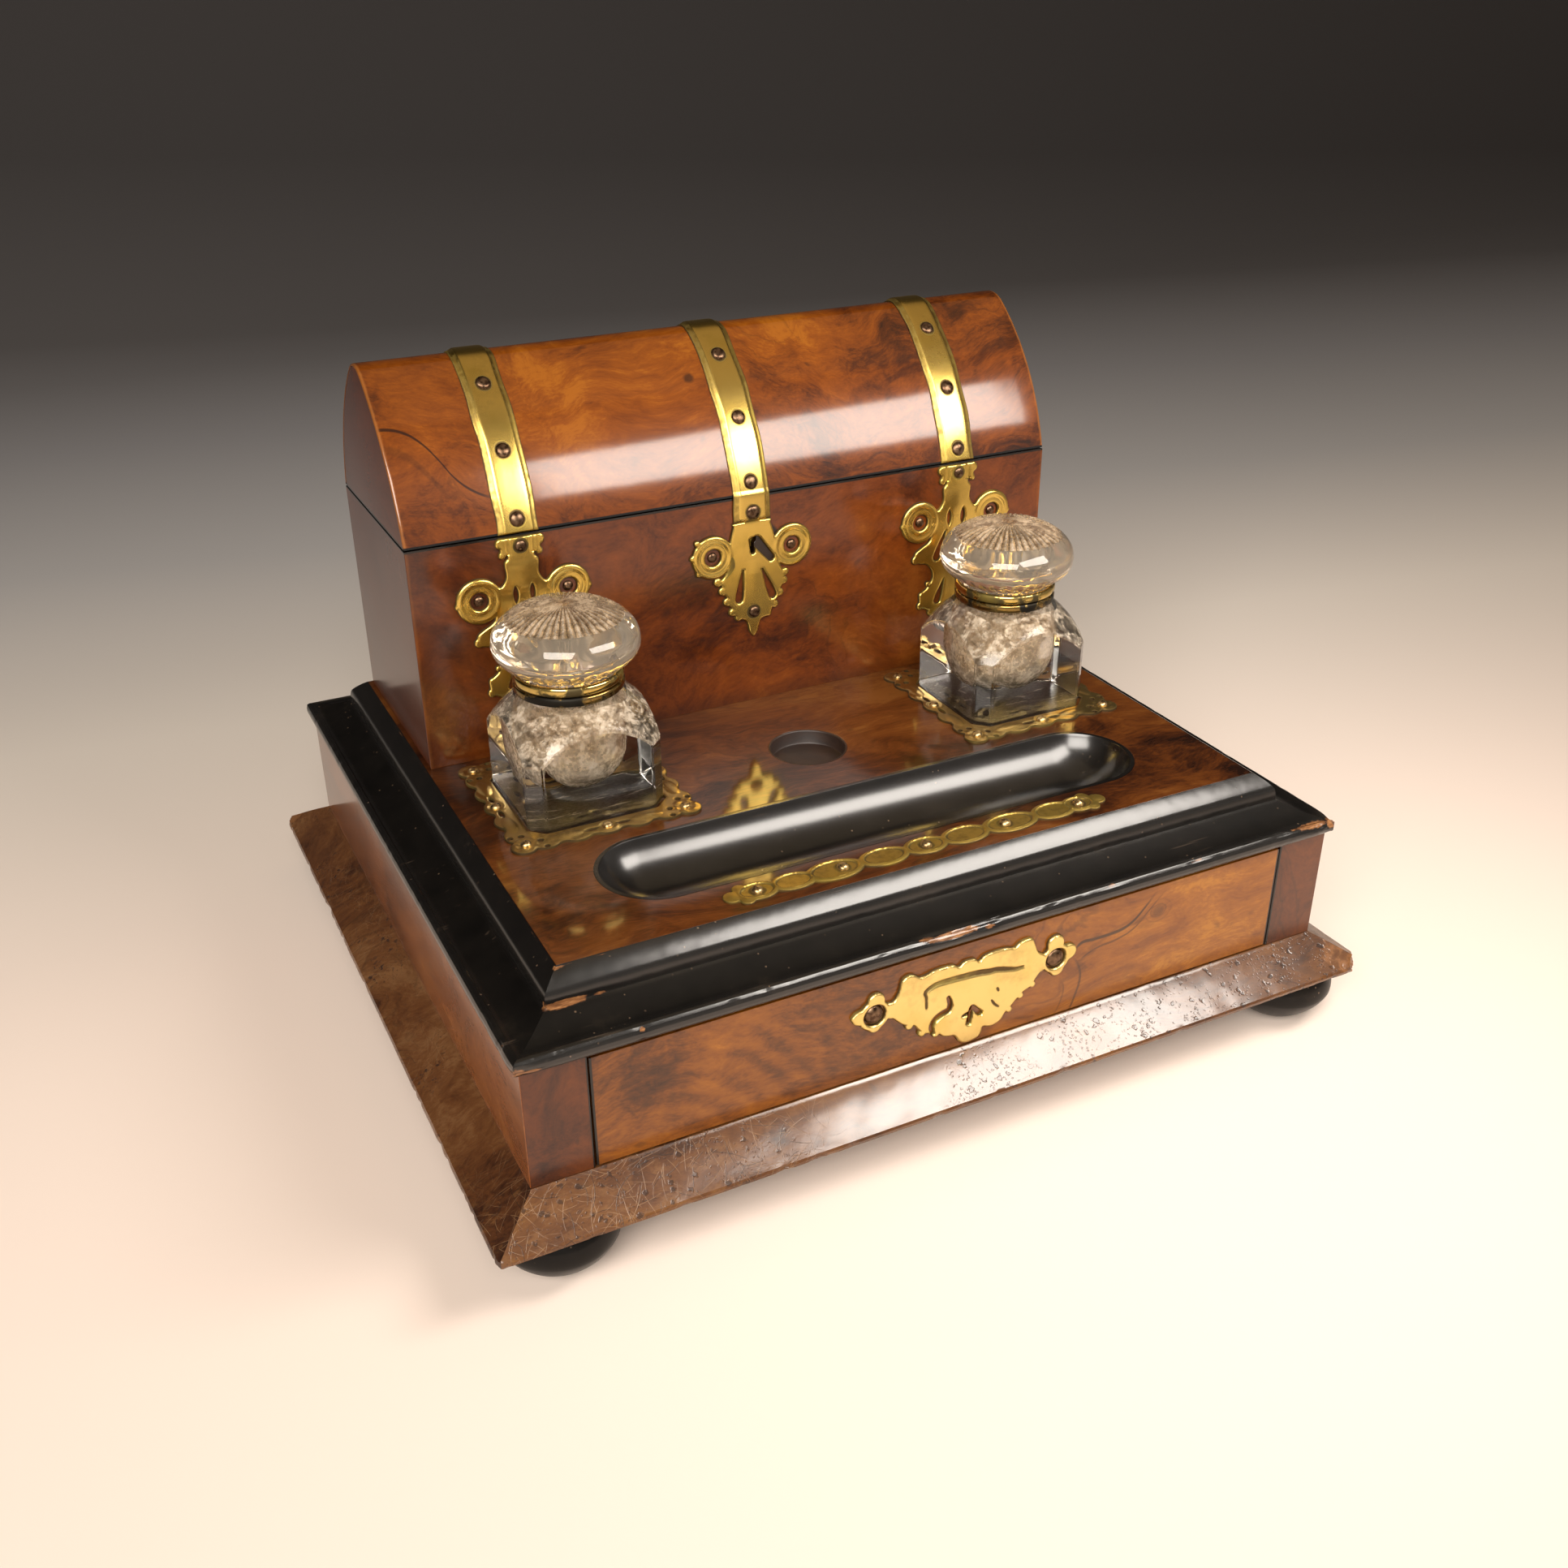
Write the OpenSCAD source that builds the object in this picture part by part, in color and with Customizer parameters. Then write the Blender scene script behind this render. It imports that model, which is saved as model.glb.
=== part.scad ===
// Victorian desk inkstand: a walnut case with one drawer on a moulded plinth and bun feet,
// a pen tray and two square glass inkwells on top, and a dome-lidded stationery chest behind them.
// Millimetres. +Z is up, the drawer faces -Y, and the origin is on the ground under the middle of the stand.

/* [Case] */
// Width of the case body, left to right
case_w = 330; // [326:1:336]
// Depth of the case body, front to back
case_d = 288.8; // [286:0.4:294]
// Height of the case walls between plinth and top moulding
case_h = 46.5; // [45.5:0.5:50]
// Thickness of the case and chest walls
wall = 9; // [8:0.5:9.5]
// Height of the bun feet
foot_h = 23.6; // [22:0.2:26]
// Height of the plinth moulding
plinth_h = 13; // [12:0.5:15]
// How far the plinth stands out from the case
plinth_out = 17.6; // [15:0.2:20]

/* [Top] */
// Thickness of the top board and its moulding
top_t = 21.3; // [20.3:0.5:24]
// How far the top board is set in from the case faces
top_in = 21.7; // [20:0.1:23]
// Length of the pen tray
tray_len = 226; // [200:1:230]
// Width of the pen tray
tray_w = 45; // [40:1:46]
// Depth of the pen trough
tray_depth = 14; // [10:0.5:15]
// Radius of the small round recess
recess_r = 15; // [12:0.5:17]

/* [Chest] */
// Width of the stationery chest
chest_w = 283.4; // [276:0.2:284]
// Depth of the stationery chest
chest_d = 91.5; // [90:0.5:93]
// Front face of the chest, measured from the middle of the stand
chest_y = 27.7; // [27.2:0.1:28.2]
// Height of the chest up to the lid seam
chest_h = 90.6; // [90:0.2:92]
// Height of the domed lid above the seam
lid_h = 59; // [57:0.5:60]
// Radius of the front and back curve of the lid
flank_r = 98.45; // [97:0.5:100]

/* [Brass] */
// Width of the lid straps
strap_w = 16.5; // [14:0.5:18]
// Thickness of the brass plates
brass_t = 1.6; // [1.4:0.1:1.8]
// Distance of the outer straps from the middle
strap_x = 97.7; // [94:0.5:99]

/* [Inkwells] */
// Side of the square glass bottle
well_w = 54; // [52:0.5:54]
// Distance of each inkwell from the middle
well_x = 96.3; // [95:0.5:97]
// Position of the inkwells, front to back
well_y = -15; // [-16:0.5:-14.5]
// Radius of the glass lid at its widest
cap_r = 27.5; // [25:0.5:28]

/* [Hidden] */
$fn = 64;

hw = case_w / 2;
hd = case_d / 2;
z_plinth = foot_h;
z_case = foot_h + plinth_h;
z_under = z_case + case_h;          // underside of the top
z_top = z_under + top_t;            // surface of the top
z_seam = z_top + chest_h;
gap = 0.3;                          // half the gap at the lid seam
mitre_gap = 0.03;                   // glue line at a mitre, each side
open_x = hw - 22.6;                 // half width of the drawer opening
cw = chest_w / 2;
y_back = chest_y + chest_d;
hinge_y = y_back + 2.9;
hinge_z = z_seam;
hinge_x = 60;
knuckle_r = 2.6;
half_d = chest_d / 2;
f_y = 95.66;                        // flank centre, measured back from the chest front
f_z = -23.26;                       // flank centre, measured up from the seam
ridge_a = f_y - half_d;
ridge_b = lid_h - f_z;
ridge_r = (ridge_a*ridge_a + ridge_b*ridge_b - flank_r*flank_r) / (2*(ridge_b - flank_r));
ridge_z = lid_h - ridge_r;
ridge_ang = atan2(ridge_z - f_z, half_d - f_y);   // where the flank runs into the ridge
tray_y = -80.5;
recess_pos = [-0.5, -23];
strip_y = -112.6;
front_y = -hd;
keyhole_x = 0.8;
pin_ang = [132.3, 148.3, 163.2];       // pin angles up the front of the lid
walnut = [0.45, 0.20, 0.07];
ebony = [0.06, 0.055, 0.05];
brass = [0.80, 0.60, 0.20];
bronze = [0.30, 0.20, 0.13];
glass = [0.82, 0.85, 0.84, 0.45];
pine = [0.70, 0.55, 0.36];
steel = [0.50, 0.50, 0.50];

function bez(a, b, c, d, n) = [for (i = [0:n]) let (t = i/n, s = 1 - t) s*s*s*a + 3*s*s*t*b + 3*s*t*t*c + t*t*t*d];
function flipped(p) = [for (i = [len(p)-1:-1:0]) [-p[i][0], p[i][1]]];
function both(p) = concat(p, flipped(p));
function ellipse(a, b, n) = [for (i = [0:n-1]) [a*cos(360*i/n), b*sin(360*i/n)]];

// ---- shared shapes ----
// bar along X with its section given as [y, z]
module bar_x(pts, l) { rotate([90, 0, 90]) translate([0, 0, -l/2]) linear_extrude(l) polygon(pts); }
// one side of a mitred frame round a rectangle; the section is given as [outward, z]
module frame_side(pts, w, d) {
  intersection() {
    translate([0, d, 0]) bar_x(pts, 2*(w + 45));
    linear_extrude(300) polygon([[-(w-40) + mitre_gap, d-40], [w-40 - mitre_gap, d-40], [w+40 - mitre_gap, d+40], [-(w+40) + mitre_gap, d+40]]);
  }
}
module frame_round(pts, w, d) {
  frame_side(pts, w, d);
  rotate(180) frame_side(pts, w, d);
  rotate(90) frame_side(pts, d, w);
  rotate(-90) frame_side(pts, d, w);
}
// flat plate standing on the face y = y0, its outline given in [x, z], thickness t towards -Y
module front_plate(y0, t) { translate([0, y0, 0]) rotate([90, 0, 0]) linear_extrude(t) children(); }
// domed pin head with a driven shank; its head stands along +Z from z = 0
module pin(r, h, shank) {
  big = (r*r + h*h) / (2*h);
  intersection() {
    translate([0, 0, h - big]) sphere(r = big, $fn = 48);
    cylinder(r = r + 1, h = h + 1);
  }
  translate([0, 0, -shank]) cylinder(r = 0.8, h = shank + 0.2, $fn = 24);
}
module pin_front(x, y0, z, r = 2.3, h = 1.2, shank = 5.5) { translate([x, y0, z]) rotate([90, 0, 0]) pin(r, h, shank); }
// lens between two arcs, l long and w wide, along Y
module lens(l, w) {
  r = (l*l/4 + w*w/4) / w;
  intersection() { translate([r - w/2, 0]) circle(r = r); translate([-(r - w/2), 0]) circle(r = r); }
}
module keyhole(r, slot) { circle(r = r); translate([-r*0.5, -slot]) square([r, slot]); }

// ---- base ----
module base_board() { color(pine) translate([-(hw - wall - 0.1), -(hd - wall - 0.1), z_case - 6]) cube([2*(hw - wall - 0.1), 2*(hd - wall - 0.1), 6]); }

plinth_pts = concat(
  [[-wall, z_case], [-wall, z_case - 6], [-22, z_case - 6], [-22, z_plinth], [plinth_out - 1, z_plinth], [plinth_out, z_plinth + 0.9], [plinth_out, z_plinth + 2]],
  bez([plinth_out - 0.5, z_plinth + 2.9], [plinth_out*0.68, z_plinth + 5.9], [plinth_out*0.36, z_case - 3.2], [0.6, z_case - 0.4], 6),
  [[0, z_case]]);
module plinth_mouldings() { color(walnut) frame_round(plinth_pts, hw, hd); }

foot_in = [9.1, 4.2]; // foot centres, in from the case faces
module bun_foot() {
  rotate_extrude($fn = 96) polygon(concat(
    [[0, 0]],
    bez([4.5, 0], [11.5, 1.2], [19.3, 8.2], [21.4, 14.2], 8),
    bez([21.5, 15.6], [21.6, 18.5], [20.4, 21.6], [18.6, foot_h], 5),
    [[0, foot_h]]));
  translate([0, 0, foot_h - 0.5]) cylinder(r = 5, h = 8.5);
}
module bun_feet() { color(ebony) for (sx = [-1, 1], sy = [-1, 1]) translate([sx*(hw - foot_in[0]), sy*(hd - foot_in[1]), 0]) bun_foot(); }

// ---- case ----
module side_wall() { translate([0, 0, z_case]) linear_extrude(case_h) polygon([[hw, -hd], [hw, hd], [hw - wall, hd - wall], [hw - wall, -hd + wall]]); }
module case_side_left() { color(walnut) mirror([1, 0, 0]) side_wall(); }
module case_side_right() { color(walnut) side_wall(); }
module case_back() { color(walnut) translate([0, 0, z_case]) linear_extrude(case_h) polygon([[-hw, hd], [hw, hd], [hw - wall, hd - wall], [-hw + wall, hd - wall]]); }
module front_post() { translate([0, 0, z_case]) linear_extrude(case_h) polygon([[open_x, -hd], [hw, -hd], [hw - wall, -hd + wall], [hw - wall, -hd + 20], [open_x, -hd + 20]]); }
module front_post_left() { color(walnut) mirror([1, 0, 0]) front_post(); }
module front_post_right() { color(walnut) front_post(); }
module drawer_guides() { color(pine) for (s = [0, 1]) mirror([s, 0, 0]) translate([open_x, -hd + 20, z_case]) cube([hw - wall - open_x, 2*hd - 20 - wall, 14]); }

// ---- top ----
module stadium(l, r, h) {
  translate([-(l/2 - r), -r, 0]) cube([l - 2*r, 2*r, h]);
  for (s = [-1, 1]) translate([s*(l/2 - r), 0, 0]) cylinder(r = r, h = h);
}
tray_h = tray_depth + 3.4;
module top_board() {
  color(walnut) difference() {
    translate([-(hw - top_in), -(hd - top_in), z_under]) cube([2*(hw - top_in), 2*(hd - top_in), top_t]);
    translate([0, tray_y, z_top - tray_h]) stadium(tray_len + 0.1, tray_w/2 + 0.05, tray_h + 5);
    translate([recess_pos[0], recess_pos[1], z_top - 8]) cylinder(r = recess_r + 0.85, h = 12);
  }
}
// a rounded shoulder under the board's edge, then a shallow hollow down to the lip bead
mould_pts = concat(
  [[-top_in, z_under], [0, z_under], [1.4, z_under + 0.4], [2.3, z_under + 1.3], [2.65, z_under + 2.6], [2.6, z_under + 3.9], [2.1, z_under + 5.2], [1.2, z_under + 6.1], [0.1, z_under + 6.4]],
  bez([-1, z_under + 6.2], [-5.5, z_under + 6.4], [-10.2, z_under + 8.8], [-14.5, z_under + 11.0], 6),
  bez([-14.55, z_under + 11.6], [-14.6, z_under + 13.8], [-14.9, z_under + 15.6], [-15.9, z_under + 16.7], 4),
  bez([-16.1, z_under + 16.9], [-17.7, z_under + 18.5], [-19.9, z_under + 20.3], [-top_in, z_top], 4));
module top_mouldings() { color(ebony) frame_round(mould_pts, hw, hd); }
module pen_tray() {
  cut_r = ((tray_w/2 - 1.5)*(tray_w/2 - 1.5) + tray_depth*tray_depth) / (2*tray_depth);
  color(ebony) difference() {
    translate([0, tray_y, z_top - tray_h]) stadium(tray_len, tray_w/2, tray_h);
    translate([0, tray_y, z_top - tray_depth + cut_r]) {
      rotate([0, 90, 0]) cylinder(r = cut_r, h = tray_len - tray_w, center = true, $fn = 96);
      for (s = [-1, 1]) translate([s*(tray_len - tray_w)/2, 0, 0]) sphere(r = cut_r, $fn = 96);
    }
  }
}
module recess_liner() {
  color(walnut) translate([recess_pos[0], recess_pos[1], z_top - 7.9]) difference() {
    cylinder(r = recess_r + 0.8, h = 7.9);
    translate([0, 0, 1.7]) cylinder(r = recess_r, h = 10);
  }
}

// ---- chest ----
chest_top = z_seam - gap;
module chest_wall_x(y_out, dir, h) { // front (dir 1) or back (dir -1), mitred at the corners
  translate([0, y_out, z_top]) linear_extrude(h) polygon([[-cw, 0], [cw, 0], [cw - wall, dir*wall], [-cw + wall, dir*wall]]);
}
module chest_front() {
  color(walnut) difference() {
    chest_wall_x(chest_y, 1, chest_h - gap);
    translate([-17, chest_y + 3.1, z_seam - 23]) cube([34, 20, 40]);
    translate([-20.1, chest_y + 2.2, chest_top - 1.2]) cube([40.2, 20, 10]);
    front_plate(chest_y + 20, 40) translate([0, 176.5]) keyhole(2, 6);
  }
}
module chest_back() {
  color(walnut) difference() {
    chest_wall_x(y_back, -1, chest_h - gap);
    for (s = [-1, 1]) translate([s*hinge_x - 19.1, y_back - wall + 1, chest_top - 1.1]) cube([38.2, 20, 5]);
  }
}
module chest_end() {
  difference() {
    translate([0, 0, z_top]) linear_extrude(chest_h - gap) polygon([[cw, chest_y], [cw, y_back], [cw - wall, y_back - wall], [cw - wall, chest_y + wall]]);
    for (y = divider_y) translate([cw - wall - 1, y - 1.6, z_top + 4]) cube([3.2, 3.2, 100]);
  }
}
divider_y = [chest_y + wall + 23, chest_y + wall + 49];
module chest_left() { color(walnut) mirror([1, 0, 0]) chest_end(); }
module chest_right() { color(walnut) chest_end(); }
module chest_floor() { color(pine) translate([-(cw - wall - 0.1), chest_y + wall + 0.1, z_top]) cube([2*(cw - wall - 0.1), chest_d - 2*wall - 0.2, 4]); }
module letter_dividers() {
  color(walnut) for (i = [0, 1]) translate([0, divider_y[i] + 1.5, z_top + 4.2]) rotate([90, 0, 0]) linear_extrude(3) difference() {
    h = 58 + 16*i;
    translate([-(cw - wall + 2), 0]) square([2*(cw - wall + 2), h]);
    translate([0, h + 150]) circle(r = 166, $fn = 160);
  }
}

// ---- lid ----
// end profile of the lid in [y, z] from the chest front and the seam, g inside the outer surface
module dome(g) {
  zt = ridge_z + (ridge_r - g)*sin(ridge_ang);
  translate([chest_y, z_seam]) union() {
    intersection() {
      translate([f_y, f_z]) circle(r = flank_r - g, $fn = 180);
      translate([chest_d - f_y, f_z]) circle(r = flank_r - g, $fn = 180);
      translate([-5, gap]) square([chest_d + 10, zt - gap]);
    }
    intersection() {
      translate([half_d, ridge_z]) circle(r = ridge_r - g, $fn = 96);
      translate([-5, zt]) square([chest_d + 10, 40]);
    }
  }
}
module along_x(l) { rotate([90, 0, 90]) translate([0, 0, -l/2]) linear_extrude(l) children(); }
module lid_shell() {
  color(walnut) difference() {
    along_x(2*(cw - wall)) difference() { dome(0); dome(wall - 1); translate([chest_y + wall, z_seam - 1]) square([chest_d - 2*wall, 10]); }
    translate([-20.1, chest_y + 2.2, z_seam]) cube([40.2, 20, gap + 1.2]);
    for (s = [-1, 1]) translate([s*hinge_x - 19.1, y_back - wall + 1, z_seam]) cube([38.2, 20, gap + 1.1]);
  }
}
module lid_end_right() { color(walnut) translate([cw - wall/2, 0, 0]) along_x(wall) dome(0); }
module lid_end_left() { color(walnut) translate([-(cw - wall/2), 0, 0]) along_x(wall) dome(0); }

// strap bent over the lid: a full-width band with a raised flat middle
strap_edge = 1.7;
module lid_strap() {
  difference() {
    along_x(strap_w) difference() { dome(-brass_t); dome(0); }
    for (s = [-1, 1]) translate([s*strap_w/2, 0, 0]) along_x(2*strap_edge) difference() {
      translate([chest_y - 8, z_seam - 4]) square([chest_d + 16, 80]);
      dome(-brass_t + 0.8);
    }
  }
}
module lid_strap_left() { color(brass) translate([-strap_x, 0, 0]) lid_strap(); }
module lid_strap_right() { color(brass) translate([strap_x, 0, 0]) lid_strap(); }
// the middle strap carries on below the seam as a tongue over the chest front
module lid_strap_centre() {
  color(brass) {
    lid_strap();
    translate([-strap_w/2, chest_y - gap - 1.4, z_seam - 10.2]) cube([strap_w, 1.4, 12]);
    translate([-strap_w/2, chest_y - gap - 1.4, z_seam + 0.6]) cube([strap_w, 1.7, 1.2]);
  }
}
module strap_pins(x) {
  for (s = [0, 1]) translate([0, s*(2*chest_y + chest_d), 0]) mirror([0, s, 0]) for (a = pin_ang)
    translate([x, chest_y + f_y + (flank_r + brass_t)*cos(a), z_seam + f_z + (flank_r + brass_t)*sin(a)]) rotate([a - 90, 0, 0]) pin(2.5, 1.3, 6);
}
module lid_rivets() { color(bronze) { for (x = [-strap_x, 0, strap_x]) strap_pins(x); pin_front(0, chest_y - gap - 1.4, z_seam - 6.6, 2.5, 1.2, 1.2); } }

// ---- mounts on the chest front ----
module ring_lobe(x, z) { translate([x, z]) circle(r = 9.3); }
centre_half = [[0, 133.6], [1.8, 135], [2.8, 138], [3.4, 141], [7, 141.8], [9.4, 144], [10.2, 147], [12.6, 149.4], [14.2, 152.6], [15, 156], [16, 158.2], [12, 162], [13, 166], [12, 178.4], [10, 181], [8.2, 184.6]];
module finial_centre() {
  color(brass) front_plate(chest_y, brass_t) difference() {
    union() {
      polygon(both(centre_half));
      for (s = [-1, 1]) { ring_lobe(s*17.9, 171.6); translate([s*16.4, 160.6]) circle(r = 2.1, $fn = 32); translate([s*14.4, 152]) circle(r = 2, $fn = 32); }
    }
    for (s = [-1, 1]) { translate([s*17.9, 171.6]) circle(r = 3.4); translate([s*7, 156.5]) rotate(s*8) lens(12, 3.4); }
    translate([0, 176.5]) keyhole(1.7, 5.6);
    translate([3.8, 172.6]) rotate(38) lens(15, 3);
  }
}
side_half = [[0, 116], [2.2, 118.4], [3.2, 122], [6.5, 125.4], [11, 128.6], [15, 130.6], [17.2, 134], [16.8, 137.6], [13.4, 140.4], [11, 144], [11.2, 147.6], [14, 151], [19, 151.8], [22.6, 153.8], [22.8, 156.8], [18.6, 159.2], [14.4, 160.6], [12.6, 164], [12, 176], [8.6, 175.4], [6.6, 179], [6, 185.6]];
module finial_side() {
  front_plate(chest_y, brass_t) difference() {
    union() {
      polygon(both(side_half));
      for (s = [-1, 1]) { ring_lobe(s*17.9, 170.8); translate([s*17.6, 160.6]) circle(r = 2, $fn = 32); translate([s*23, 170.4]) circle(r = 5.4); }
      translate([-8.2, 187.2]) square([16.4, 6.8]);
      translate([-5.4, 184]) square([10.8, 5]);
    }
    for (s = [-1, 1]) { translate([s*17.9, 170.8]) circle(r = 3.4); translate([s*8, 157.4]) rotate(s*6) lens(13, 4); translate([s*6.4, 136]) rotate(s*14) lens(10, 2.6); translate([s*3.4, 171]) lens(7, 1.8); }
  }
}
module finial_left() { color(brass) translate([-strap_x, 0, 0]) finial_side(); }
module finial_right() { color(brass) translate([strap_x, 0, 0]) finial_side(); }
module chest_rivets() {
  y1 = chest_y - brass_t;
  color(bronze) {
    pin_front(0, y1, 145.4);
    for (s = [-1, 1]) {
      pin_front(s*17.9, chest_y, 171.6, 2.5, 1.5);
      pin_front(s*strap_x, y1, 190.6, 2.4, 1.2);
      pin_front(s*strap_x, y1, 128.6);
      for (t = [-1, 1]) pin_front(s*strap_x + t*17.9, chest_y, 170.8, 2.5, 1.5);
    }
  }
}

// ---- lid hinges and lock ----
// knuckles are cut into five: fixed leaf carries 1, 3 and 5, moving leaf 2 and 4
module hinge_leaf(fixed) {
  for (s = [-1, 1]) translate([s*hinge_x, 0, 0]) difference() {
    union() {
      translate([-19, y_back - wall + 1.1, fixed ? hinge_z - gap - 1.1 : hinge_z + gap]) cube([38, wall - 1.1 + 0.25, 1.1]);
      for (i = [0:4]) if ((i % 2 == 0) == fixed) translate([-19 + i*7.6 + 0.15, 0, 0]) {
        translate([0, y_back, fixed ? hinge_z - gap - 1.1 : hinge_z + gap]) cube([7.3, 2.9, 1.1]);
        translate([0, hinge_y, hinge_z]) rotate([0, 90, 0]) cylinder(r = knuckle_r, h = 7.3);
      }
    }
    translate([-30, hinge_y, hinge_z]) rotate([0, 90, 0]) cylinder(r = 1.25, h = 60, $fn = 48);
  }
}
module lid_hinge_fixed_leaves() { color(brass) hinge_leaf(true); }
module lid_hinge_moving_leaves() { color(brass) hinge_leaf(false); }
module lid_hinge_pins() { color(steel) for (s = [-1, 1]) translate([s*hinge_x - 19, hinge_y, hinge_z]) rotate([0, 90, 0]) cylinder(r = 1.2, h = 38, $fn = 48); }
module chest_lock() {
  color(brass) difference() {
    union() {
      translate([-16.9, chest_y + 3.2, z_seam - 22.9]) cube([33.8, 5.7, 21.6]);
      translate([-20, chest_y + 2.3, chest_top - 1.2]) cube([40, 6.6, 1.2]);
    }
    for (s = [-1, 1]) translate([s*8 - 3.4, chest_y + 4, z_seam - 8]) cube([6.8, 3.6, 10]);
    front_plate(chest_y + 8, 6) translate([0, 176.5]) keyhole(1.6, 5);
  }
}
module lid_lock_plate() {
  color(brass) {
    translate([-20, chest_y + 2.3, z_seam + gap]) cube([40, 6.4, 1.2]);
    for (s = [-1, 1]) translate([s*8 - 2.6, chest_y + 4.7, z_seam - 6]) cube([5.2, 2, 7]);
  }
}

// ---- drawer ----
dx = open_x - 0.4;
d_front = 12;
d_side_top = z_under - 7;
d_len = 256;
module drawer_front() {
  color(walnut) difference() {
    translate([-dx, front_y, z_case + 0.9]) cube([2*dx, d_front, case_h - 2.5]);
    front_plate(front_y + d_front + 5, d_front + 10) translate([keyhole_x, 53.2]) keyhole(2.2, 6.6);
    translate([-22.1, front_y + 6.5, z_under - 3.2]) cube([44.2, 20, 10]);
  }
}
module drawer_side() { translate([dx - 7.4, front_y + d_front, z_case + 0.3]) cube([7, d_len, d_side_top - z_case - 0.3]); }
module drawer_side_left() { color(pine) mirror([1, 0, 0]) drawer_side(); }
module drawer_side_right() { color(pine) drawer_side(); }
module drawer_back() { color(pine) translate([-(dx - 7.4), front_y + d_front + d_len - 7, z_case + 6.6]) cube([2*(dx - 7.4), 7, d_side_top - z_case - 9]); }
module drawer_bottom() { color(pine) translate([-(dx - 7.4), front_y + d_front, z_case + 2.4]) cube([2*(dx - 7.4), d_len, 4.2]); }
module drawer_lock() {
  color(brass) difference() {
    union() {
      translate([-20, front_y + d_front, z_case + 7.4]) cube([40, 7, z_under - 3.1 - z_case - 7.4]);
      translate([-22, front_y + 6.6, z_under - 3.1]) cube([44, d_front + 0.4, 1.4]);
    }
    front_plate(front_y + d_front + 5, 6) translate([keyhole_x, 53.2]) keyhole(1.9, 6);
    translate([-9, front_y + d_front + 1.5, z_under - 10]) cube([18, 4, 12]);
  }
  color(steel) translate([-8.8, front_y + d_front + 1.7, z_under - 9.8]) cube([17.6, 3.6, 7.4]);
}
esc_half = [[0, 38.4], [3.4, 39.6], [5.6, 42], [8, 43.2], [11.8, 43.6], [14.4, 46], [17.6, 47.8], [20, 51], [23.8, 53.4], [27.4, 56], [29.6, 59.4], [33, 60.8], [33, 66.2], [30.4, 68], [28.8, 71.6], [28.2, 75.6], [25.2, 76], [22, 73.2], [19.6, 73.4], [17.6, 74.8], [14, 73.8], [10.4, 74.4], [7, 74.6], [4.4, 72.2], [2, 73.4], [0, 73.2]];
module drawer_escutcheon() {
  color(brass) front_plate(front_y, brass_t) difference() {
    union() {
      polygon(both(esc_half));
      for (s = [-1, 1]) {
        translate([s*38.2, 63.8]) circle(r = 6.4);
        translate([s*37, 69.6]) circle(r = 3.5);
        translate([s*44.2, 64]) circle(r = 3.5);
        translate([s*37.4, 58.4]) circle(r = 3.5);
      }
    }
    for (s = [-1, 1]) translate([s*38, 63.8]) circle(r = 4.3);
    translate([keyhole_x, 53.2]) keyhole(2, 6.4);
    // pierced scroll under the top edge
    difference() {
      translate([1.2, 44.4]) circle(r = 26.2, $fn = 96);
      translate([1.2, 42.2]) circle(r = 26, $fn = 96);
      translate([-50, 0]) square([100, 63.4]);
    }
    difference() {
      translate([-15.6, 63.4]) circle(r = 4.6);
      translate([-14.2, 62.2]) circle(r = 3.8);
      translate([-16, 63.4]) square([20, 20]);
    }
    // comma beside the keyhole
    translate([-8.4, 58.4]) rotate(-14) lens(8.4, 3);
    translate([-13.2, 52.6]) rotate(-40) lens(9, 3.2);
  }
}
module escutcheon_screws() { color(bronze) for (s = [-1, 1]) pin_front(s*38, front_y, 63.8, 3.9, 1.9, 8); }

// ---- galleries and strip on the top ----
gx = 36;
gy = 36.6;
module gallery() {
  translate([0, 0, z_top]) linear_extrude(1.5) difference() {
    union() {
      square([2*gx - 1.4, 2*gy - 1.4], center = true);
      for (a = [-24, -12, 0, 12, 24], s = [-1, 1]) { translate([a, s*(gy - 6.2)]) circle(r = 6.9); translate([s*(gx - 6.2), a]) circle(r = 6.9); }
      for (sx = [-1, 1], sy = [-1, 1]) translate([sx*(gx - 4), sy*(gy - 4)]) circle(r = 5.2);
    }
    polygon([for (i = [0:3]) each [[cos(90*i)*27.6 - sin(90*i)*22, sin(90*i)*27.6 + cos(90*i)*22], [cos(90*i)*22 - sin(90*i)*27.6, sin(90*i)*22 + cos(90*i)*27.6]]]);
    for (i = [0:3]) rotate(90*i) for (t = [-1, 1]) { translate([t*6.2, 32.2]) rotate(90) lens(4.6, 1.7); translate([t*18, 32.4]) circle(r = 1.2, $fn = 24); }
  }
}
module gallery_left() { color(brass) translate([-well_x, well_y, 0]) gallery(); }
module gallery_right() { color(brass) translate([well_x, well_y, 0]) gallery(); }
module gallery_pins() {
  color(brass) for (s = [-1, 1]) translate([s*well_x, well_y, z_top + 1.5]) {
    for (i = [0:3]) rotate(90*i) translate([0, 32.4, 0]) pin(2.1, 1.3, 5);
    for (sx = [-1, 1], sy = [-1, 1]) translate([sx*31.4, sy*32, 0]) pin(2.1, 1.3, 5);
  }
}
module tray_strip() {
  color(brass) translate([0, strip_y, z_top]) linear_extrude(1.3) {
    for (k = [-4:2:4]) translate([k*16.5, 0]) polygon(ellipse(9.4, 5.3, 28));
    for (k = [-3:2:3]) translate([k*16.5, 0]) polygon(ellipse(9.6, 6.5, 28));
    for (s = [-1, 1]) { translate([s*76.2, 0]) circle(r = 3.4); translate([s*71.6, 3.6]) circle(r = 2.9); translate([s*71.6, -3.6]) circle(r = 2.9); }
  }
}
module strip_pins() { color(brass) for (k = [-4:2:4]) translate([k*16.5, strip_y, z_top + 1.3]) pin(2.3, 1.3, 5); }

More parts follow.
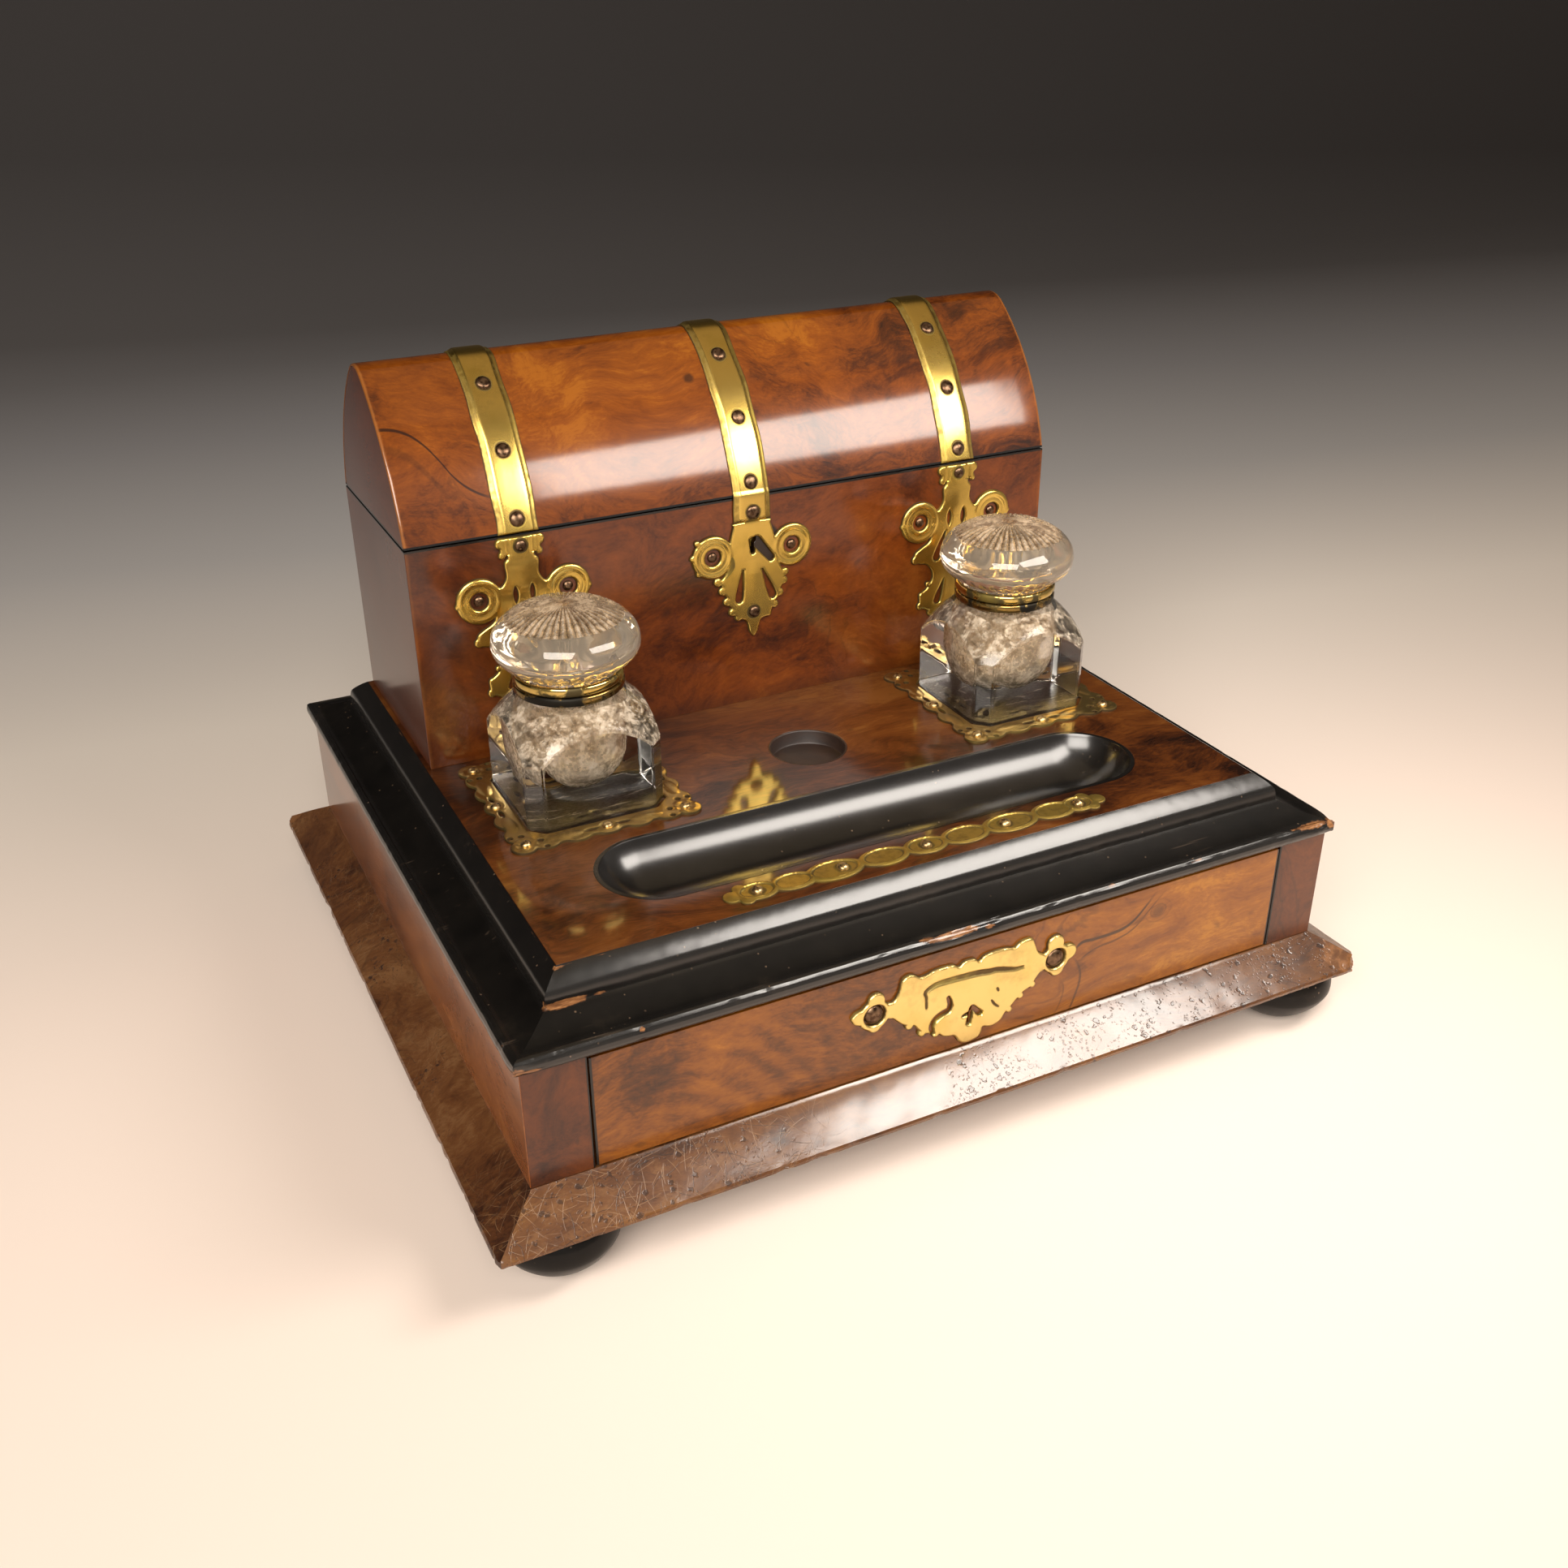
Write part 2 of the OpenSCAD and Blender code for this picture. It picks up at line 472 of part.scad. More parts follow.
// ---- inkwells ----
well_z = z_top + 0.3;
neck_r = 18.6;
collar_z = well_z + 44.5;
pivot_y = 22.5;
pivot_z = collar_z + 3.7;
module octagon(w, c) { polygon([for (i = [0:3]) each [[cos(90*i)*w/2 - sin(90*i)*(w/2 - c), sin(90*i)*w/2 + cos(90*i)*(w/2 - c)], [cos(90*i)*(w/2 - c) - sin(90*i)*w/2, sin(90*i)*(w/2 - c) + cos(90*i)*w/2]]]); }
// square body with cut corners under a round shoulder
module bottle() {
  translate([0, 0, well_z]) difference() {
    union() {
      intersection() {
        linear_extrude(44.2) octagon(well_w, 5.5);
        rotate_extrude($fn = 96) intersection() {
          translate([-12.6, 0.2]) circle(r = 54, $fn = 160);
          square([45, 44.2]);
        }
      }
      linear_extrude(24) octagon(well_w, 5.5);
      translate([0, 0, 40]) cylinder(r = neck_r, h = 8);
    }
    translate([0, 0, 24.5]) sphere(r = 17, $fn = 96);
    translate([0, 0, 24.5]) cylinder(r = 17, h = 12);
    translate([0, 0, 36.4]) cylinder(r = 13.6, h = 20);
  }
}
module knuckle(x0, l, up) {
  translate([x0, pivot_y - 3.2, up ? pivot_z + 0.2 : pivot_z - 2.6]) cube([l, 3.2, 2.4]);
  translate([x0, pivot_y, pivot_z]) rotate([0, 90, 0]) cylinder(r = 1.7, h = l, $fn = 40);
}
module collar() {
  difference() {
    union() {
      translate([0, 0, collar_z]) difference() {
        rotate_extrude($fn = 96) polygon([[neck_r + 0.05, 0], [20.2, 0], [20.8, 0.6], [20.8, 2.6], [20.2, 3.5], [neck_r + 0.05, 3.5]]);
      }
      for (x = [-5.2, 2]) knuckle(x, 3.2, false);
    }
    translate([-10, pivot_y, pivot_z]) rotate([0, 90, 0]) cylinder(r = 0.85, h = 20, $fn = 40);
    cylinder(r = neck_r + 0.05, h = 300, $fn = 96);
  }
}
module hinge_pin() { translate([-5.2, pivot_y, pivot_z]) rotate([0, 90, 0]) cylinder(r = 0.8, h = 10.4, $fn = 40); }
ring_z = collar_z + 3.9;
module lid_ring() {
  difference() {
    union() {
      translate([0, 0, ring_z]) rotate_extrude($fn = 96) polygon([[14, 0], [20.2, 0], [20.8, 0.7], [20.8, 3], [20.4, 3.6], [18.9, 3.6], [18.9, 1.2], [14, 1.2]]);
      knuckle(-1.8, 3.6, true);
    }
    translate([-10, pivot_y, pivot_z]) rotate([0, 90, 0]) cylinder(r = 0.85, h = 20, $fn = 40);
    translate([0, 0, ring_z + 1.2]) cylinder(r = 18.9, h = 20, $fn = 96);
  }
}
cap_z = ring_z + 1.3;   // underside of the glass lid
module glass_lid() {
  translate([0, 0, cap_z]) rotate_extrude($fn = 96) polygon(concat(
    [[0, 0], [18.6, 0], [18.8, 2.9], [20.6, 4.2]],
    bez([22.4, 5.1], [25.4, 6.6], [cap_r, 9.4], [cap_r, 13], 6),
    bez([cap_r - 0.1, 14.2], [cap_r - 0.5, 19], [cap_r - 5.5, 23.4], [15, 25.8], 8),
    [[9, 27], [0, 27.5]]));
}
module at_left() { translate([-well_x, well_y, 0]) children(); }
module at_right() { translate([well_x, well_y, 0]) children(); }
module inkwell_left_bottle() { color(glass) at_left() bottle(); }
module inkwell_left_collar() { color(brass) at_left() collar(); }
module inkwell_left_hinge_pin() { color(steel) at_left() hinge_pin(); }
module inkwell_left_lid_ring() { color(brass) at_left() lid_ring(); }
module inkwell_left_glass_lid() { color(glass) at_left() glass_lid(); }
module inkwell_right_bottle() { color(glass) at_right() bottle(); }
module inkwell_right_collar() { color(brass) at_right() collar(); }
module inkwell_right_hinge_pin() { color(steel) at_right() hinge_pin(); }
module inkwell_right_lid_ring() { color(brass) at_right() lid_ring(); }
module inkwell_right_glass_lid() { color(glass) at_right() glass_lid(); }

base_board();
plinth_mouldings();
bun_feet();
case_side_left();
case_side_right();
case_back();
front_post_left();
front_post_right();
drawer_guides();
top_board();
top_mouldings();
pen_tray();
recess_liner();
chest_front();
chest_back();
chest_left();
chest_right();
chest_floor();
letter_dividers();
lid_shell();
lid_end_left();
lid_end_right();
lid_strap_left();
lid_strap_centre();
lid_strap_right();
finial_left();
finial_centre();
finial_right();
lid_rivets();
chest_rivets();
lid_hinge_fixed_leaves();
lid_hinge_moving_leaves();
lid_hinge_pins();
chest_lock();
lid_lock_plate();
drawer_front();
drawer_side_left();
drawer_side_right();
drawer_back();
drawer_bottom();
drawer_lock();
drawer_escutcheon();
escutcheon_screws();
gallery_left();
gallery_right();
gallery_pins();
tray_strip();
strip_pins();
inkwell_left_bottle();
inkwell_left_collar();
inkwell_left_hinge_pin();
inkwell_left_lid_ring();
inkwell_left_glass_lid();
inkwell_right_bottle();
inkwell_right_collar();
inkwell_right_hinge_pin();
inkwell_right_lid_ring();
inkwell_right_glass_lid();
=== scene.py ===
import math

import bmesh
import bpy
import numpy as np
from mathutils import Matrix, Vector


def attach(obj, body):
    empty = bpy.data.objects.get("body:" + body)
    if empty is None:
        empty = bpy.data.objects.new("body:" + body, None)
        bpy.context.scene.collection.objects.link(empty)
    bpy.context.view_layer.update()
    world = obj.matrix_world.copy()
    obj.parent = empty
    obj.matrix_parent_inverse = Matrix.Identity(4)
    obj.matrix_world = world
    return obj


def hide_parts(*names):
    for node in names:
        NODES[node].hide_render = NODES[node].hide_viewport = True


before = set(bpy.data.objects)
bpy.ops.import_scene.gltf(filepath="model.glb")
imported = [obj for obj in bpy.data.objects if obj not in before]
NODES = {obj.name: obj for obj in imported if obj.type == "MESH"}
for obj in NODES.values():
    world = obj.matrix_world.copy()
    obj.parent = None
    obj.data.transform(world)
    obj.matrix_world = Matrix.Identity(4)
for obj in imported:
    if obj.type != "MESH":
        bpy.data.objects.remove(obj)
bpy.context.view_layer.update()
MM = 0.001

# ------------------------------------------------------------------ sizes, the same numbers as the part's source, in mm
HW, HD = 165.0, 144.4
Z_PLINTH, Z_CASE, Z_UNDER, Z_TOP, Z_SEAM = 23.6, 36.6, 83.1, 104.4, 195.0
TOP_IN, PLINTH_OUT, WALL, GAP = 21.7, 17.6, 9.0, 0.3
CW, CHEST_Y, CHEST_D, LID_H, FLANK_R = 141.7, 27.7, 91.5, 59.0, 98.45
Y_BACK, HALF_D = CHEST_Y + CHEST_D, CHEST_D / 2
F_Y, F_Z = 95.66, -23.26
RIDGE_R = ((F_Y - HALF_D) ** 2 + (LID_H - F_Z) ** 2 - FLANK_R**2) / (2 * (LID_H - F_Z - FLANK_R))
RIDGE_Z = LID_H - RIDGE_R
RIDGE_ANG = math.degrees(math.atan2(RIDGE_Z - F_Z, HALF_D - F_Y))
STRAP_W, BRASS_T, STRAP_X = 16.5, 1.6, 97.7
PIN_ANG = (132.3, 148.3, 163.2)
WELL_W, WELL_X, WELL_Y, CAP_R = 54.0, 96.3, -15.0, 27.5
FRONT_Y = -HD


# ------------------------------------------------------------------ mesh tools
def bez(a, b, c, d, n):
    t = np.linspace(0, 1, n + 1)[:, None]
    a, b, c, d = (np.array(p, float) for p in (a, b, c, d))
    return [tuple(p) for p in (1 - t) ** 3 * a + 3 * (1 - t) ** 2 * t * b + 3 * (1 - t) * t * t * c + t**3 * d]


def hash3(ix, iy, iz, seed):
    h = (ix * 374761393 + iy * 668265263 + iz * 2147483647 + seed * 1274126177) & 0xFFFFFFFF
    h = ((h ^ (h >> 13)) * 1274126177) & 0xFFFFFFFF
    return ((h ^ (h >> 16)) & 0xFFFF) / 65535.0


def vnoise(P, size, seed=0):
    """Smooth value noise from 0 to 1 at points P (n, 3), with cells of this size in mm."""
    Q = np.asarray(P, float) / size
    I = np.floor(Q).astype(np.int64)
    F = Q - I
    F = F * F * (3 - 2 * F)
    out = np.zeros(len(Q))
    for dx in (0, 1):
        for dy in (0, 1):
            for dz in (0, 1):
                w = (F[:, 0] if dx else 1 - F[:, 0]) * (F[:, 1] if dy else 1 - F[:, 1]) * (F[:, 2] if dz else 1 - F[:, 2])
                out += w * hash3(I[:, 0] + dx, I[:, 1] + dy, I[:, 2] + dz, seed)
    return out


def fbm(P, size, seed=0, octaves=3):
    v, a, s = 0.0, 0.5, 0.0
    for k in range(octaves):
        v = v + a * vnoise(P, size / 2**k, seed + 17 * k)
        s += a
        a *= 0.5
    return v / s


def build(name, V, F, material, body, replaces=(), angle=35.0, attrs=None, extra=(), face_mat=None):
    """A mesh object from points in mm, riding on a CAD body."""
    me = bpy.data.meshes.new(name)
    me.from_pydata((np.asarray(V, float) * MM).tolist(), [], [tuple(int(i) for i in f) for f in F])
    for k, a in (attrs or {}).items():
        at = me.attributes.new(k, "FLOAT", "POINT")
        at.data.foreach_set("value", np.asarray(a, np.float32))
    me.materials.append(material)
    for m in extra:
        me.materials.append(m)
    if face_mat is not None:
        me.polygons.foreach_set("material_index", np.asarray(face_mat, np.int32))
    bm = bmesh.new()
    bm.from_mesh(me)
    bmesh.ops.recalc_face_normals(bm, faces=bm.faces)
    bm.to_mesh(me)
    bm.free()
    me.shade_smooth()
    me.set_sharp_from_angle(angle=math.radians(angle))
    me.update()
    ob = bpy.data.objects.new(name, me)
    bpy.context.scene.collection.objects.link(ob)
    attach(ob, body)
    if replaces:
        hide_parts(*replaces)
    return ob


def grid_faces(nu, nv, wrap_u=False, wrap_v=False, base=0):
    """Quads of a grid of nu rows by nv columns, vertex index = row * nv + column."""
    out = []
    for i in range(nu if wrap_u else nu - 1):
        for j in range(nv if wrap_v else nv - 1):
            a, b = i * nv + j, i * nv + (j + 1) % nv
            c, d = ((i + 1) % nu) * nv + (j + 1) % nv, ((i + 1) % nu) * nv + j
            out.append((base + a, base + b, base + c, base + d))
    return out


def rounded(pts, radii, n=3):
    """Closed outline with each corner rounded; radii is one number, or one for each point."""
    pts = [np.array(p, float) for p in pts]
    m = len(pts)
    if np.isscalar(radii):
        radii = [radii] * m
    out = []
    for i in range(m):
        p, a, b = pts[i], pts[i - 1], pts[(i + 1) % m]
        u, v = a - p, b - p
        lu, lv = np.linalg.norm(u), np.linalg.norm(v)
        if radii[i] <= 0 or lu < 1e-9 or lv < 1e-9:
            out.append(tuple(p))
            continue
        u, v = u / lu, v / lv
        half = math.acos(max(-1, min(1, float(u @ v)))) / 2
        if half > math.radians(86):
            out.append(tuple(p))
            continue
        t = min(radii[i] / math.tan(half), lu * 0.45, lv * 0.45)
        for k in range(n + 1):
            s = k / n
            out.append(tuple((1 - s) ** 2 * (p + u * t) + 2 * s * (1 - s) * p + s * s * (p + v * t)))
    return out


def resample(pts, step, closed=False):
    """The same line with no gap between points longer than step."""
    out = []
    m = len(pts)
    for i in range(m if closed else m - 1):
        a, b = np.array(pts[i], float), np.array(pts[(i + 1) % m], float)
        k = max(1, int(math.ceil(np.linalg.norm(b - a) / step)))
        out += [tuple(a + (b - a) * j / k) for j in range(k)]
    if not closed:
        out.append(tuple(pts[-1]))
    return out


def lathe(profile, seg=96, closed=False, warp=None):
    """(points, faces) of a revolve of (r, z). An open profile starts and ends on the axis; a closed one is a ring."""
    V, rows = [], []
    for r, z in profile:
        if not closed and r < 1e-6:
            rows.append([len(V)] * seg)
            V.append((0, 0, z))
        else:
            row = []
            for k in range(seg):
                t = 2 * math.pi * k / seg
                rr, zz = warp(r, z, t) if warp else (r, z)
                row.append(len(V))
                V.append((rr * math.cos(t), rr * math.sin(t), zz))
            rows.append(row)
    F = []
    n = len(rows)
    for i in range(n if closed else n - 1):
        a, b = rows[i], rows[(i + 1) % n]
        for k in range(seg):
            q = [a[k], a[(k + 1) % seg], b[(k + 1) % seg], b[k]]
            f = [x for j, x in enumerate(q) if x != q[j - 1]]
            if len(f) >= 3:
                F.append(tuple(f))
    return np.array(V, float), F


def join(parts):
    """Several (points, faces) as one."""
    V, F, n = [], [], 0
    for v, f in parts:
        V.append(np.asarray(v, float))
        F += [tuple(i + n for i in q) for q in f]
        n += len(v)
    return np.concatenate(V), F


# ------------------------------------------------------------------ material tools
def lin(r, g, b, a=1.0):
    """sRGB 0-255 to the linear colour that a shader takes."""
    f = lambda c: (c / 255 / 12.92) if c / 255 <= 0.04045 else ((c / 255 + 0.055) / 1.055) ** 2.4
    return (f(r), f(g), f(b), a)


class Mat:
    def __init__(s, name):
        s.m = bpy.data.materials.new(name)
        s.m.use_nodes = True
        s.t = s.m.node_tree
        s.t.nodes.clear()
        out = s.t.nodes.new("ShaderNodeOutputMaterial")
        s.b = s.t.nodes.new("ShaderNodeBsdfPrincipled")
        s.t.links.new(s.b.outputs[0], out.inputs[0])
        s.obj = s.t.nodes.new("ShaderNodeTexCoord").outputs["Object"]

    def put(s, sock, v):
        if isinstance(v, bpy.types.NodeSocket):
            s.t.links.new(v, sock)
        elif v is not None:
            if hasattr(sock.default_value, "__len__") and not hasattr(v, "__len__"):
                v = [v] * len(sock.default_value)
            sock.default_value = v

    def set(s, **kw):
        for k, v in kw.items():
            s.put(s.b.inputs[k.replace("_", " ")], v)
        return s

    def math(s, op, a, b=None, c=None, clamp=False):
        n = s.t.nodes.new("ShaderNodeMath")
        n.operation, n.use_clamp = op, clamp
        for i, v in enumerate((a, b, c)):
            s.put(n.inputs[i], v)
        return n.outputs[0]

    def vec(s, op, a, b=None, scale=None):
        n = s.t.nodes.new("ShaderNodeVectorMath")
        n.operation = op
        s.put(n.inputs[0], a)
        s.put(n.inputs[1], b)
        if scale is not None:
            s.put(n.inputs["Scale"], scale)
        return n.outputs["Value"] if op in ("LENGTH", "DISTANCE", "DOT_PRODUCT") else n.outputs[0]

    def xyz(s, v):
        n = s.t.nodes.new("ShaderNodeSeparateXYZ")
        s.put(n.inputs[0], v)
        return n.outputs[0], n.outputs[1], n.outputs[2]

    def comb(s, x, y, z):
        n = s.t.nodes.new("ShaderNodeCombineXYZ")
        for i, v in enumerate((x, y, z)):
            s.put(n.inputs[i], v)
        return n.outputs[0]

    def mapped(s, v, loc=(0, 0, 0), rot=(0, 0, 0), scale=(1, 1, 1)):
        n = s.t.nodes.new("ShaderNodeMapping")
        s.put(n.inputs["Vector"], v)
        n.inputs["Location"].default_value = loc
        n.inputs["Rotation"].default_value = [math.radians(a) for a in rot]
        n.inputs["Scale"].default_value = scale
        return n.outputs[0]

    def noise(s, v, scale, detail=3.0, rough=0.5, dist=0.0, colour=False):
        n = s.t.nodes.new("ShaderNodeTexNoise")
        s.put(n.inputs["Vector"], v)
        n.inputs["Scale"].default_value = scale
        n.inputs["Detail"].default_value = detail
        n.inputs["Roughness"].default_value = rough
        n.inputs["Distortion"].default_value = dist
        return n.outputs[1 if colour else 0]

    def voro(s, v, scale, feature="F1", rand=1.0, out="Distance"):
        n = s.t.nodes.new("ShaderNodeTexVoronoi")
        n.feature = feature
        s.put(n.inputs["Vector"], v)
        n.inputs["Scale"].default_value = scale
        n.inputs["Randomness"].default_value = rand
        return n.outputs[out]

    def mr(s, v, a, b, c=0.0, d=1.0, smooth=True):
        n = s.t.nodes.new("ShaderNodeMapRange")
        n.interpolation_type = "SMOOTHSTEP" if smooth else "LINEAR"
        for i, x in enumerate((v, a, b, c, d)):
            s.put(n.inputs[i], x)
        return n.outputs[0]

    def ramp(s, fac, stops, interp="LINEAR"):
        n = s.t.nodes.new("ShaderNodeValToRGB")
        n.color_ramp.interpolation = interp
        e = n.color_ramp.elements
        while len(e) < len(stops):
            e.new(0.5)
        for i, (p, c) in enumerate(stops):
            e[i].position, e[i].color = p, c
        s.put(n.inputs[0], fac)
        return n.outputs[0]

    def mix(s, fac, a, b, blend="MIX"):
        n = s.t.nodes.new("ShaderNodeMix")
        n.data_type, n.blend_type = "RGBA", blend
        s.put(n.inputs[0], fac)
        s.put(n.inputs[6], a)
        s.put(n.inputs[7], b)
        return n.outputs[2]

    def attr(s, name):
        n = s.t.nodes.new("ShaderNodeAttribute")
        n.attribute_name = name
        return n.outputs["Fac"]

    def curve(s, v, pts):
        n = s.t.nodes.new("ShaderNodeFloatCurve")
        c = n.mapping.curves[0]
        while len(c.points) < len(pts):
            c.points.new(0.5, 0.5)
        for i, (x, y) in enumerate(pts):
            c.points[i].location = (x, y)
        n.mapping.update()
        s.put(n.inputs["Value"], v)
        n.inputs["Factor"].default_value = 1.0
        return n.outputs[0]

    def bump(s, h, strength=0.3, dist=0.0003, normal=None):
        n = s.t.nodes.new("ShaderNodeBump")
        n.inputs["Strength"].default_value = strength
        n.inputs["Distance"].default_value = dist
        s.put(n.inputs["Height"], h)
        if normal is not None:
            s.put(n.inputs["Normal"], normal)
        return n.outputs[0]


# burr walnut tones, dark to golden
def tones(mid, dark=0.13, low=0.45, high=1.42, top=1.95):
    """Five stops round a middle colour; the light ends turn more golden."""
    r, g, b = mid
    return [(0.0, (r * dark, g * dark * 0.95, b * dark * 1.6, 1)), (0.25, (r * low, g * low * 0.92, b * low * 1.1, 1)), (0.52, (r, g, b, 1)), (0.78, (r * high, g * high * 1.10, b * high * 1.12, 1)), (1.0, (r * top, g * top * 1.32, b * top * 1.65, 1))]


TONES = {
    "lid": tones((0.118, 0.0265, 0.0012)), "chest": tones((0.083, 0.0165, 0.0012)), "side": tones((0.068, 0.0125, 0.0016)), "top": tones((0.068, 0.0180, 0.0026)),
    "drawer": tones((0.148, 0.0420, 0.0022), dark=0.16), "case": tones((0.165, 0.0450, 0.0090)), "post": tones((0.070, 0.0150, 0.0014)),
    "plinth_front": tones((0.078, 0.0255, 0.0044)), "plinth_side": tones((0.078, 0.0270, 0.0080)), "inner": tones((0.055, 0.0190, 0.0065)), "recess": tones((0.016, 0.0060, 0.0028), high=1.8, top=3.0),
}


def vein(m, u, v, pts, width, v_range):
    """0 to 1 on a line v = f(u), given by points (u, v) in metres; fades in its last tenth."""
    u0, u1 = pts[0][0], pts[-1][0]
    lo, hi = v_range
    f = m.curve(m.mr(u, u0, u1, smooth=False), [((a - u0) / (u1 - u0), (b - lo) / (hi - lo)) for a, b in pts])
    d = m.math("ABSOLUTE", m.math("SUBTRACT", v, m.mr(f, 0, 1, lo, hi, smooth=False)))
    on = m.math("MULTIPLY", m.mr(u, u0 - 0.001, u0 + 0.002), m.mr(u, u1 + 0.002, u1 - 0.006))
    return m.math("MULTIPLY", m.mr(d, width, width * 0.35), on)


def scratches(m, u, v, scale, width, length, seed, keep=0.5, bend=6.0):
    """Random scratches over the flat coordinates (u, v): one in some of the cells of a mosaic, each at its own angle."""
    q = m.comb(m.math("ADD", u, seed), m.math("ADD", v, seed * 0.37), 0.0)
    n = m.t.nodes.new("ShaderNodeTexVoronoi")
    n.voronoi_dimensions = "2D"
    m.put(n.inputs["Vector"], q)
    n.inputs["Scale"].default_value = scale
    dx, dy, _ = m.xyz(m.vec("SUBTRACT", q, n.outputs["Position"]))
    r, g, b = m.xyz(n.outputs["Color"])
    a = m.math("MULTIPLY", r, 6.2832)
    c, s = m.math("COSINE", a), m.math("SINE", a)
    along = m.math("ADD", m.math("MULTIPLY", dx, c), m.math("MULTIPLY", dy, s))
    off = m.math("SUBTRACT", m.math("MULTIPLY", dy, c), m.math("MULTIPLY", dx, s))
    curl = m.math("MULTIPLY", m.math("SUBTRACT", b, 0.5), bend * 4)
    off = m.math("MULTIPLY_ADD", m.math("MULTIPLY", along, along), curl, off)
    line = m.mr(m.math("ABSOLUTE", off), width, width * 0.35)
    end = m.mr(m.math("ABSOLUTE", along), length, length * 0.55)
    return m.math("MULTIPLY", m.math("MULTIPLY", line, end), m.math("GREATER_THAN", g, 1 - keep))


def most(m, *vals):
    out = vals[0]
    for v in vals[1:]:
        out = m.math("MAXIMUM", out, v)
    return out


